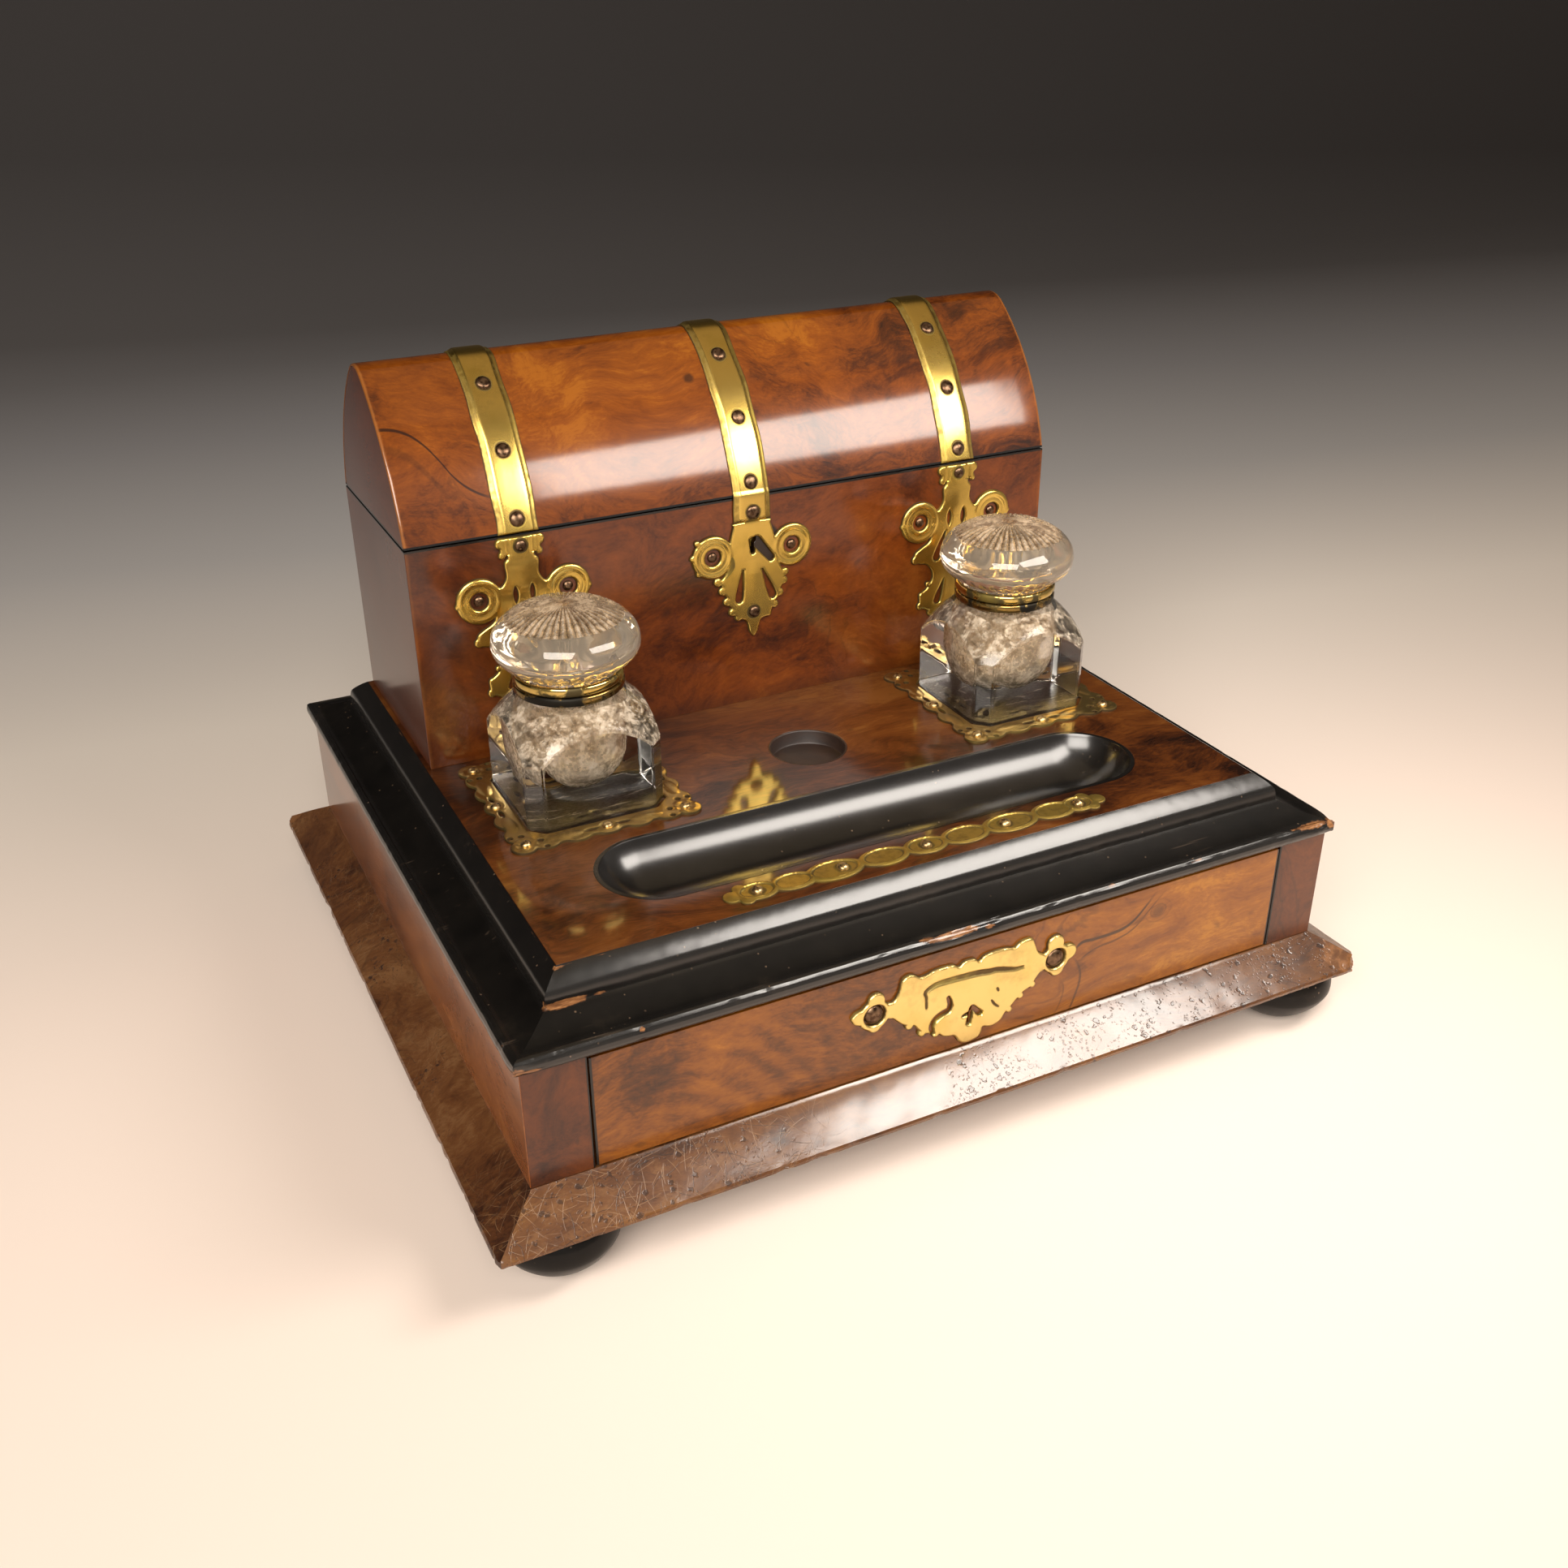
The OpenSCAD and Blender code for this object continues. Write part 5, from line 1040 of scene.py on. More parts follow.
# ------------------------------------------------------------------ brass straps
def strap(name, node, x0, centre=False, seed=0):
    path = dome_path(0.0, 130, 60)
    pts = [(y, z, ny, nz) for y, z, ny, nz in path]
    if centre:  # a tongue over the seam
        y0 = CHEST_Y - GAP + 0.0
        low = [(y0, z, -1.0, 0.0) for z in np.arange(Z_SEAM - 10.2, Z_SEAM - 0.2, 0.8)]
        bend = [(y0 + 0.05, Z_SEAM + 0.3, -1.0, 0.03), (y0 + 0.16, Z_SEAM + 1.2, -0.995, 0.09)]
        pts = low + bend + [p for p in pts if p[1] > Z_SEAM + 1.8 or p[0] > 60]
    Y = np.array(pts)
    s = np.concatenate([[0], np.cumsum(np.hypot(np.diff(Y[:, 0]), np.diff(Y[:, 1])))])
    # where the pins sit along the strap, so that the sides can swell between them
    marks, back_marks = [], []
    for a in PIN_ANG:
        ar = math.radians(a)
        py, pz = CHEST_Y + F_Y + FLANK_R * math.cos(ar), Z_SEAM + F_Z + FLANK_R * math.sin(ar)
        i = int(np.argmin(np.hypot(Y[:, 0] - py, Y[:, 1] - pz)))
        marks.append(s[i])
        i = int(np.argmin(np.hypot(Y[:, 0] - (2 * CHEST_Y + CHEST_D - py), Y[:, 1] - pz)))
        back_marks.append(s[i])
    pitch = (marks[2] - marks[0]) / 2 * -1 if marks[2] < marks[0] else (marks[2] - marks[0]) / 2
    sec = [(-1.0, 0.0), (-1.0, 0.30), (-0.97, 0.50), (-0.92, 0.64), (-0.85, 0.74), (-0.79, 0.92), (-0.73, 1.24), (-0.68, 1.46), (-0.61, 1.56), (-0.51, 1.58), (-0.41, 1.59), (-0.31, 1.6), (-0.21, 1.6), (-0.10, 1.6), (0, 1.6)]
    sec = sec + [(-u, h) for u, h in reversed(sec[:-1])]
    V, rim = [], []
    n = len(sec)
    for i, (y, z, ny, nz) in enumerate(pts):
        ph = 2 * math.pi * (s[i] - marks[0]) / abs(pitch)
        w = STRAP_W / 2 * (1 - 0.022 * math.cos(ph)) - 0.1
        wl = w + 0.07 * math.sin(ph * 1.7 + seed)
        wr = w + 0.07 * math.cos(ph * 1.3 + 2 * seed)
        fold = 0.0
        t = 1.0
        end = min(s[i], s[-1] - s[i])
        if end < 0.7:  # rounded-over ends
            t = 0.55 + 0.45 * math.sqrt(max(0.0, 1 - (1 - end / 0.7) ** 2))
        for u, h in sec:
            x = x0 + u * (wl if u < 0 else wr)
            hh = h * t
            V.append((x, y + ny * hh, z + nz * hh))
            # a dark ring round each pin head: tarnish and painted shade at the pin's foot
            ring = min(math.hypot(u * 8.2, s[i] - k) for k in marks + back_marks + ([3.6] if centre else [])) - 2.9
            rim.append(min((1 - abs(u)) * 8.2, 2.0, end * 1.1 + 0.2, max(0.0, ring * 0.55)))
    V = np.array(V)
    rim = np.array(rim)
    # the groove at the foot of the raised middle holds tarnish
    uu = np.tile(np.array([abs(u) for u, _ in sec]), len(pts))
    rim = np.where(uu > 0.70, np.minimum(rim, 0.34), rim)
    top = uu < 0.65
    N = np.repeat(np.array([(0, p[2], p[3]) for p in pts]), n, axis=0)
    V += N * (np.where(top, 0.10 * (fbm(V, 9, 50 + seed, 2) - 0.62), 0))[:, None]
    F = grid_faces(len(pts), n)
    for i in range(len(pts) - 1):  # underside
        F.append((i * n, (i + 1) * n, (i + 1) * n + n - 1, i * n + n - 1))
    F.append(tuple(range(n)))
    F.append(tuple(reversed(range((len(pts) - 1) * n, len(pts) * n))))
    build(name, V, F, MAT["strap"], "chest_lid", (node,), angle=48, attrs={"rim": rim})


strap("strap_band_left", "lid_strap_left", -STRAP_X, seed=1)
strap("strap_band_centre", "lid_strap_centre", 0.0, centre=True, seed=2)
strap("strap_band_right", "lid_strap_right", STRAP_X, seed=3)


# ------------------------------------------------------------------ pins
def dome_pin(r, h, seg=28, rim=0.25):
    """Domed head standing on z = 0 with a short neck into the plate."""
    prof = [(0, -1.2), (r * 0.5, -1.2), (r * 0.5, -0.02), (r * 0.98, -0.02), (r, rim * 0.5)]
    for k in range(1, 9):
        a = math.pi / 2 * k / 8
        prof.append((r * math.cos(a) * 0.985 + (0 if k == 8 else 0.0), rim * 0.5 + (h - rim * 0.5) * math.sin(a)))
    prof[-1] = (0, h)
    return lathe(prof, seg)


def turned(V, at, normal, spin=0.0):
    n = Vector(normal).normalized()
    R = np.array(Vector((0, 0, 1)).rotation_difference(n).to_matrix())
    return V @ R.T + np.array(at)


def pins(name, node, body, spots, material):
    parts = []
    for i, (at, normal, r, h) in enumerate(spots):
        V, F = dome_pin(r, h)
        V = V * [1, 1, 1]
        V = V + 0.05 * r * (vnoise(V + 13 * i, r * 0.9, i)[:, None] - 0.5) * [1, 1, 0.5]
        parts.append((turned(V, at, normal), F))
    V, F = join(parts)
    return build(name, V, F, material, body, (node,), angle=60)


spots = []
for x in (-STRAP_X, 0.0, STRAP_X):
    for back in (False, True):
        for a in PIN_ANG:
            ar = math.radians(a)
            y = CHEST_Y + F_Y + (FLANK_R + BRASS_T - 0.12) * math.cos(ar)
            ny = math.cos(ar)
            if back:
                y, ny = 2 * CHEST_Y + CHEST_D - y, -ny
            spots.append(((x, y, Z_SEAM + F_Z + (FLANK_R + BRASS_T - 0.12) * math.sin(ar)), (0, ny, math.sin(ar)), 2.9, 1.4))
spots.append(((0, CHEST_Y - GAP - 1.32, Z_SEAM - 6.6), (0, -1, 0), 2.9, 1.25))
pins("strap_pin_heads", "lid_rivets", "chest_lid", spots, MAT["pin"])

spots = [((0, CHEST_Y - 1.5, 145.4), (0, -1, 0), 2.4, 1.2)]
for s in (-1, 1):
    spots += [((s * 17.9, CHEST_Y, 171.6), (0, -1, 0), 2.1, 1.3), ((s * STRAP_X, CHEST_Y - 1.5, 190.6), (0, -1, 0), 2.3, 1.2), ((s * STRAP_X, CHEST_Y - 1.5, 128.6), (0, -1, 0), 2.3, 1.2)]
    spots += [((s * STRAP_X + t * 17.9, CHEST_Y, 170.8), (0, -1, 0), 2.1, 1.3) for t in (-1, 1)]
pins("finial_pin_heads", "chest_rivets", "stand", spots, MAT["pin"])


# ------------------------------------------------------------------ cut brass plates from distance fields
def smooth_outline(pts, n=5, closed=True):
    """Catmull-Rom line through points."""
    P = np.array(pts, float)
    m = len(P)
    out = []
    for i in range(m if closed else m - 1):
        p0, p1, p2, p3 = (P[(i + k) % m] if closed else P[min(max(i + k, 0), m - 1)] for k in (-1, 0, 1, 2))
        for j in range(n):
            t = j / n
            out.append(0.5 * (2 * p1 + (p2 - p0) * t + (2 * p0 - 5 * p1 + 4 * p2 - p3) * t * t + (3 * p1 - p0 - 3 * p2 + p3) * t**3))
    if not closed:
        out.append(P[-1])
    return np.array(out)


def sd_poly(X, Y, pts):
    d = np.full(X.shape, 1e18)
    inside = np.zeros(X.shape, bool)
    m = len(pts)
    for i in range(m):
        ax, ay = pts[i]
        bx, by = pts[(i + 1) % m]
        ex, ey = bx - ax, by - ay
        wx, wy = X - ax, Y - ay
        t = np.clip((wx * ex + wy * ey) / max(ex * ex + ey * ey, 1e-12), 0, 1)
        d = np.minimum(d, (wx - ex * t) ** 2 + (wy - ey * t) ** 2)
        if ay != by:
            c = ((ay > Y) != (by > Y)) & (X < (bx - ax) * (Y - ay) / (by - ay) + ax)
            inside ^= c
    return np.where(inside, -1, 1) * np.sqrt(d)


def sd_disc(X, Y, cx, cy, r):
    return np.hypot(X - cx, Y - cy) - r


def sd_oval(X, Y, cx, cy, a, b, ang=0.0):
    c, s = math.cos(math.radians(ang)), math.sin(math.radians(ang))
    u, v = (X - cx) * c + (Y - cy) * s, -(X - cx) * s + (Y - cy) * c
    k = np.sqrt((u / a) ** 2 + (v / b) ** 2)
    return (k - 1) * min(a, b) * (0.55 + 0.45 * np.clip(k, 0, 1.5))


def sd_lens(X, Y, cx, cy, l, w, ang=0.0):
    """Pointed lens, l long along Y before it turns by ang."""
    c, s = math.cos(math.radians(ang)), math.sin(math.radians(ang))
    u, v = (X - cx) * c + (Y - cy) * s, -(X - cx) * s + (Y - cy) * c
    r = (l * l / 4 + w * w / 4) / w
    o = r - w / 2
    return np.maximum(np.hypot(u - o, v), np.hypot(u + o, v)) - r


def smin(a, b, k):
    h = np.clip(0.5 + 0.5 * (b - a) / k, 0, 1)
    return b * (1 - h) + a * h - k * h * (1 - h)


def add(*ds, k=0.5):
    out = ds[0]
    for d in ds[1:]:
        out = smin(out, d, k)
    return out


def cut(a, *bs, k=0.15):
    for b in bs:
        a = -smin(-a, b, k)
    return a


def plate(name, node, field, height, box, res, place, body, material, angle=40, stain_and_shade=None):
    """A plate whose outline is field(X, Y) < 0 and whose top is height(d, X, Y) over its back, on a grid of pitch res."""
    x0, x1, y0, y1 = box
    nx, ny = int((x1 - x0) / res) + 2, int((y1 - y0) / res) + 2
    gx, gy = x0 + np.arange(nx) * res, y0 + np.arange(ny) * res
    X, Y = np.meshgrid(gx, gy, indexing="ij")
    D = field(X, Y)
    GX, GY = np.gradient(D, res)
    g = np.maximum(np.hypot(GX, GY), 0.3)
    near = np.abs(D) < 0.42 * res
    X = np.where(near, X - D * GX / g**2, X)
    Y = np.where(near, Y - D * GY / g**2, Y)
    D = np.where(near, 0.0, D)
    ins = D <= 0
    pts, index = [], {}

    def corner(i, j):
        k = ("v", i, j)
        if k not in index:
            index[k] = len(pts)
            pts.append((X[i, j], Y[i, j], D[i, j]))
        return index[k]

    def cross(a, b):
        k = ("e", min(a, b), max(a, b))
        if k not in index:
            da, db = D[a], D[b]
            t = da / (da - db)
            index[k] = len(pts)
            pts.append((X[a] + (X[b] - X[a]) * t, Y[a] + (Y[b] - Y[a]) * t, 0.0))
        return index[k]

    faces = []
    n_in = ins[:-1, :-1].astype(int) + ins[1:, :-1] + ins[1:, 1:] + ins[:-1, 1:]
    for i, j in zip(*np.nonzero(n_in)):
        c = [(i, j), (i + 1, j), (i + 1, j + 1), (i, j + 1)]
        on = [bool(ins[q]) for q in c]
        if sum(on) == 2 and on[0] == on[2]:
            for q in range(4):
                if on[q]:
                    a, b = c[q - 1], c[(q + 1) % 4]
                    tri = []
                    for o in (cross(c[q], a) if D[c[q]] < 0 else corner(*c[q]), corner(*c[q]), cross(c[q], b) if D[c[q]] < 0 else corner(*c[q])):
                        if o not in tri:
                            tri.append(o)
                    if len(tri) >= 3:
                        faces.append(tri)
            continue
        poly = []
        for q in range(4):
            a, b = c[q], c[(q + 1) % 4]
            if on[q]:
                o = corner(*a)
                if o not in poly:
                    poly.append(o)
            if on[q] != on[(q + 1) % 4]:
                o = corner(*(a if on[q] else b)) if D[a if on[q] else b] == 0 else cross(a, b)
                if o not in poly:
                    poly.append(o)
        if len(poly) >= 3:
            faces.append(poly)
    P = np.array(pts)
    # drop faces with no area
    keep = []
    for f in faces:
        q = P[f][:, :2]
        area = 0.5 * abs(sum(q[k][0] * q[(k + 1) % len(f)][1] - q[(k + 1) % len(f)][0] * q[k][1] for k in range(len(f))))
        if area > 1e-7:
            keep.append(f)
    faces = keep
    H = height(np.minimum(P[:, 2], 0), P[:, 0], P[:, 1])
    n = len(P)
    edges = {}
    for f in faces:
        for k in range(len(f)):
            a, b = f[k], f[(k + 1) % len(f)]
            edges[(a, b)] = edges.get((a, b), 0) + 1
    side = [(a, b) for (a, b) in edges if (b, a) not in edges]
    top = place(P[:, 0], P[:, 1], H)
    back = place(P[:, 0], P[:, 1], np.zeros(n))
    V = np.concatenate([np.stack(top, 1), np.stack(back, 1)])
    F = [tuple(f) for f in faces] + [tuple(n + i for i in reversed(f)) for f in faces]
    F += [(b, a, n + a, n + b) for a, b in side]
    rim = -P[:, 2]
    if stain_and_shade:  # tarnish that lies in the grooves, and painted shade round the feet of pins: distance to it in mm
        rim = np.minimum(rim, np.maximum(stain_and_shade(P[:, 0], P[:, 1]), 0))
    rim = np.concatenate([rim, np.zeros(n)])
    return build(name, V, F, material, body, (node,), angle=angle, attrs={"rim": rim})


def crown(d, thick, bevel, wall):
    """Height of a plate of this thickness whose edge rises from wall over the bevel's width."""
    t = np.clip(-d / bevel, 0, 1)
    return wall + (thick - wall) * np.sqrt(np.maximum(0, 1 - (1 - t) ** 2))


def mirror_x(pts):
    return list(pts) + [(-x, y) for x, y in reversed(pts) if x > 1e-6]


CH_POLY = smooth_outline([(-8.0, 184.6), (-8.6, 183), (-9.6, 179.5), (-10.4, 175), (-11.2, 168), (-12.0, 164.2), (-13.4, 162.4), (-15.0, 160.4), (-14.2, 157.8), (-13.6, 155.2), (-11.8, 152.6), (-11.4, 149.8), (-9.6, 147.4), (-8.8, 144.6), (-6.6, 142.8), (-3.8, 141.6), (-2.7, 139.2), (-2.2, 136.6), (-0.2, 134.0), (1.8, 136.4), (2.6, 139.2), (3.6, 141.4), (6.4, 142.0), (8.4, 144.2), (9.4, 147.4), (11.6, 149.8), (12.4, 152.6), (13.8, 155.4), (14.6, 158.4), (13.8, 161.4), (12.4, 163.8), (11.4, 167), (10.4, 174), (9.4, 179.5), (8.2, 183), (7.6, 184.6)], 3)
SIDE = [(0, 116), (2.2, 118.4), (3.2, 122), (6.5, 125.4), (11, 128.6), (15, 130.6), (17.2, 134), (16.8, 137.6), (13.4, 140.4), (11, 144), (11.2, 147.6), (14, 151), (18.4, 152.2), (20.4, 154.6), (19.8, 157.4), (16.4, 159.6), (13.6, 161.2), (12.2, 164), (11.4, 174), (8.6, 175.4), (6.6, 179), (6, 185.6)]
SD_POLY = smooth_outline(mirror_x(SIDE), 4)


def keyhole(X, Y, x, z, r, slot):
    return np.minimum(sd_disc(X, Y, x, z, r), np.maximum(np.abs(X - x) - r * 0.5, np.maximum(Y - z, (z - slot) - Y)))


def lobes(X, Y, cx, cz, rin, rout):
    """Raised rims round the ring lobes."""
    out = 0
    for s in (-1, 1):
        rho = np.hypot(X - s * cx, Y - cz)
        out = out + 0.22 * np.exp(-(((rho - (rout - 1.7)) / 0.8) ** 2)) - 0.10 * np.exp(-(((rho - (rin + 2.6)) / 1.0) ** 2))
    return out


def sd_stroke(X, Y, pts, w0, w1):
    """Distance to a curved stroke whose half width runs from w0 to w1 and back."""
    P = smooth_outline(pts, 6, closed=False)
    d = np.full(X.shape, 1e9)
    m = len(P)
    for i in range(m - 1):
        t0 = (i + 0.5) / (m - 1)
        w = w0 + (w1 - w0) * math.sin(math.pi * t0)
        ax, ay = P[i]
        ex, ey = P[i + 1] - P[i]
        t = np.clip(((X - ax) * ex + (Y - ay) * ey) / max(ex * ex + ey * ey, 1e-9), 0, 1)
        d = np.minimum(d, np.hypot(X - ax - ex * t, Y - ay - ey * t) - w)
    return d


def sd_drop(X, Y, x0, z0, x1, z1, w):
    """Flame-shaped slot: a point at (x0, z0) that widens to half width w near (x1, z1)."""
    ex, ez = x1 - x0, z1 - z0
    t = np.clip(((X - x0) * ex + (Y - z0) * ez) / (ex * ex + ez * ez), 0, 1)
    return np.hypot(X - x0 - ex * t, Y - z0 - ez * t) - w * (0.12 + 0.88 * np.sin(np.pi / 2 * t) ** 1.3)


def sd_bar(X, Y, x0, z0, x1, z1, w0, w1):
    ex, ez = x1 - x0, z1 - z0
    t = np.clip(((X - x0) * ex + (Y - z0) * ez) / (ex * ex + ez * ez), 0, 1)
    return np.hypot(X - x0 - ex * t, Y - z0 - ez * t) - (w0 + (w1 - w0) * t)


def centre_field(X, Y):
    d = sd_poly(X, Y, CH_POLY)
    for x, z, r in ((-14.0, 156.4, 1.9), (-12.0, 151.4, 1.9), (-9.6, 146.4, 1.8), (-7.0, 143.6, 1.6), (14.0, 156.6, 1.9), (12.2, 151.6, 1.8), (9.8, 146.8, 1.8), (6.8, 143.4, 1.6)):
        d = add(d, sd_disc(X, Y, x, z, r), k=0.35)
    d = add(d, sd_disc(X, Y, -16.0, 160.6, 1.9), sd_disc(X, Y, 14.8, 160.2, 1.7), k=0.6)
    d = add(d, sd_disc(X, Y, -17.9, 171.6, 9.2), sd_disc(X, Y, 17.9, 171.6, 9.2), k=0.7)
    d = add(d, sd_disc(X, Y, -26.6, 172.4, 1.5), sd_disc(X, Y, -24.2, 165.6, 1.5), sd_disc(X, Y, -24.6, 178.6, 1.4), k=0.5)
    d = cut(d, *[sd_disc(X, Y, s * 17.9, 171.6, 3.5) for s in (-1, 1)])
    d = cut(d, sd_drop(X, Y, -4.6, 164.0, -6.6, 151.6, 1.55), sd_drop(X, Y, 4.2, 163.2, 8.8, 151.2, 1.55))
    d = cut(d, sd_bar(X, Y, 1.6, 175.8, 8.2, 167.6, 2.0, 1.4), sd_bar(X, Y, -0.3, 176.2, 0.0, 171.4, 1.15, 0.9))
    return d


def centre_height(d, X, Y):
    h = crown(d, 1.42, 0.95, 0.62) + lobes(X, Y, 17.9, 171.6, 3.5, 9.2)
    h = h + 0.16 * np.exp(-((X / 2.6) ** 2)) * np.clip((Y - 143) / 6, 0, 1) * np.clip((168 - Y) / 6, 0, 1)
    return np.clip(h, 0.3, 1.66)


def centre_stain_and_shade(X, Y):
    curl = np.minimum(sd_stroke(X, Y, [(-11.0, 178.4), (-14.4, 181.8), (-19, 182.8)], 0.3, 0.9), sd_stroke(X, Y, [(-12.4, 162.4), (-9.4, 166.4), (-9.6, 170.4)], 0.2, 0.7))
    # the disc round the lower pin is painted shade at its foot; the rings and curls are tarnish
    return np.minimum(np.minimum(curl, np.abs(sd_disc(X, Y, -17.9, 171.6, 5.7)) + 0.12), np.minimum(sd_disc(X, Y, -0.2, 145.4, 3.0), np.abs(sd_disc(X, Y, 17.9, 171.6, 5.6)) + 0.30))


def side_field(X, Y):
    d = sd_poly(X, Y, SD_POLY)
    for s in (-1, 1):
        d = add(d, sd_disc(X, Y, s * 17.9, 170.8, 9.2), k=0.8)
        d = add(d, sd_disc(X, Y, s * 26.4, 170.0, 1.3), k=0.6)
        for x, z, r in ((16.4, 132.2, 1.9), (13.0, 142.0, 1.3), (19.6, 154.0, 2.0), (15.6, 136.8, 1.9), (11.0, 128.4, 1.8), (5.4, 124.4, 1.6)):
            d = add(d, sd_disc(X, Y, s * x, z, r), k=0.35)
    box = np.maximum(np.abs(X) - 8.2, np.abs(Y - 190.6) - 3.5)
    ears = np.minimum(sd_disc(X, Y, -7.6, 192.0, 2.2), sd_disc(X, Y, 7.6, 192.0, 2.2))
    low = np.minimum(sd_disc(X, Y, -7.4, 187.4, 1.5), sd_disc(X, Y, 7.4, 187.4, 1.5))
    d = add(d, np.maximum(np.abs(X) - 5.4, np.abs(Y - 186) - 3.5), k=0.8)
    d = add(d, box, ears, low, k=0.4)
    for s in (-1, 1):
        d = cut(d, sd_disc(X, Y, s * 17.9, 170.8, 3.5), sd_drop(X, Y, s * 5.2, 165.0, s * 9.0, 154.0, 1.7), sd_drop(X, Y, s * 5.0, 143.0, s * 8.0, 133.6, 1.5), sd_lens(X, Y, s * 3.4, 171, 7, 1.8))
        d = cut(d, sd_disc(X, Y, s * 8.9, 189.4, 0.8))
    return d


def side_height(d, X, Y):
    h = crown(d, 1.42, 0.95, 0.62) + lobes(X, Y, 17.9, 170.8, 3.5, 9.2)
    h = h - 0.30 * (Y > 187.4) * np.clip((np.abs(X) - 3.4) / 1.0, 0, 1) * np.clip((6.4 - np.abs(X)) / 1.0, 0, 1)
    h = h + 0.16 * np.exp(-((X / 3.4) ** 2)) * np.clip((185 - Y) / 4, 0, 1) * np.clip((Y - 172) / 4, 0, 1)
    return np.clip(h, 0.3, 1.66)


def side_stain_and_shade(X, Y):
    d = np.minimum(np.abs(sd_disc(X, Y, -17.9, 170.8, 5.7)), np.abs(sd_disc(X, Y, 17.9, 170.8, 5.7))) + 0.22
    # the discs round the two pins are painted shade at their feet; the rings are tarnish in the grooves
    return np.minimum(np.minimum(d, sd_disc(X, Y, 0, 190.6, 2.9)), sd_disc(X, Y, 0, 128.6, 2.9))


RES = 0.36
plate("finial_plate_centre", "finial_centre", centre_field, centre_height, (-29, 29, 131, 187), RES, lambda x, z, h: (x, CHEST_Y - h, z), "stand", MAT["finial"], stain_and_shade=centre_stain_and_shade)
for s, n in ((-1, "left"), (1, "right")):
    plate(f"finial_plate_{n}", f"finial_{n}", side_field, side_height, (-29, 29, 114, 195), RES, lambda x, z, h, s=s: (x + s * STRAP_X, CHEST_Y - h, z), "stand", MAT["finial"], stain_and_shade=side_stain_and_shade)

ES_POLY = smooth_outline([(-33, 66.9), (-31, 67.0), (-29.6, 68.2), (-28.2, 71.2), (-27.4, 74.6), (-25.0, 76.3), (-22.4, 75.9), (-20.2, 74.3), (-18.0, 74.1), (-14.6, 75.0), (-10, 75.2), (-6.0, 74.8), (-4.0, 73.4), (-2.2, 74.8), (0.5, 75.1), (2.8, 74.7), (4.5, 73.2), (6.4, 74.9), (11, 75.4), (16.5, 75.2), (19.5, 74.3), (21.4, 75.8), (24.5, 76.4), (27.2, 75.8), (28.6, 72.6), (30, 69.4), (33, 67.0), (34.4, 64.0), (33.2, 60.6), (31.2, 59.6), (29.4, 57.2), (27.2, 54.6), (24.4, 53.4), (22.2, 51.6), (19.8, 49.0), (17.2, 46.8), (15.4, 43.9), (12.0, 42.4), (9.0, 42.8), (7.5, 43.4), (7.2, 41.6), (5.8, 39.5), (3, 38.7), (0, 38.7), (-2.5, 39.9), (-4.0, 42.3), (-5.2, 43.6), (-7.0, 43.9), (-10, 45.0), (-12, 47.2), (-14.6, 47.9), (-17.2, 48.8), (-20, 51.2), (-22.2, 54.0), (-26, 55.4), (-28.8, 57.8), (-30.8, 59.9), (-33, 60.7), (-34.4, 64.0)], 3)


def esc_field(X, Y):
    d = sd_poly(X, Y, ES_POLY)
    d = add(d, sd_disc(X, Y, -38.2, 63.8, 6.3), sd_disc(X, Y, -37.4, 69.4, 3.5), sd_disc(X, Y, -44.0, 64.4, 3.0), sd_disc(X, Y, -46.4, 64.8, 1.0), sd_disc(X, Y, -38.0, 59.4, 3.0), k=0.6)
    d = add(d, sd_disc(X, Y, 38.2, 63.8, 6.3), sd_disc(X, Y, 37.6, 70.4, 3.7), sd_disc(X, Y, 43.8, 65.0, 3.4), sd_disc(X, Y, 38.8, 59.2, 3.3), k=0.6)
    for x, z, r in ((-12.6, 47.0, 1.5), (-18.4, 49.4, 1.6), (-23.8, 54.4, 1.7), (18.6, 47.6, 1.6), (23.2, 52.2, 1.6), (28.2, 55.6, 1.6)):
        d = add(d, sd_disc(X, Y, x, z, r), k=0.3)
    for s in (-1, 1):
        d = cut(d, sd_disc(X, Y, s * 38, 63.8, 4.2))
    d = cut(d, sd_bar(X, Y, 2.4, 54.0, 6.0, 50.0, 0.75, 0.95), sd_bar(X, Y, 2.3, 53.6, 1.2, 47.4, 0.95, 0.95), sd_bar(X, Y, 2.4, 52.2, -1.3, 51.2, 0.75, 0.45))
    d = cut(d, sd_stroke(X, Y, [(-8.0, 61.6), (-7.1, 58.5), (-7.7, 56.0), (-10.5, 55.1), (-13.2, 53.5), (-14.5, 50.6), (-13.8, 47.8)], 0.45, 1.25))
    return d


GROOVE = [(-17.0, 60.0), (-17.2, 64.5), (-17.6, 67.0), (-14, 68.9), (-8, 69.1), (0, 68.7), (5, 68.3), (9, 67.6), (12, 67.4), (17, 66.0), (20, 65.1), (23.5, 64.9)]
MARKS = [[(12.6, 59.2), (13.4, 57.8)], [(10.5, 54.5), (12.2, 52.0), (13.8, 50.6)]]


def esc_height(d, X, Y):
    h = crown(d, 1.5, 0.8, 0.55)
    h = h - 0.70 * np.clip(0.5 - sd_stroke(X, Y, GROOVE, 0.35, 1.0), 0, 1)
    for q in MARKS:
        h = h - 0.45 * np.clip(0.35 - sd_stroke(X, Y, q, 0.15, 0.5), 0, 1)
    for s in (-1, 1):
        rho = np.hypot(X - s * 38, Y - 63.8)
        h = h + 0.12 * np.exp(-(((rho - 5.2) / 0.6) ** 2))
    return np.clip(h, 0.25, 1.62)


def esc_stain(X, Y):
    d = sd_stroke(X, Y, GROOVE, 0.25, 0.85)
    for q in MARKS:
        d = np.minimum(d, sd_stroke(X, Y, q, 0.1, 0.35))
    return d


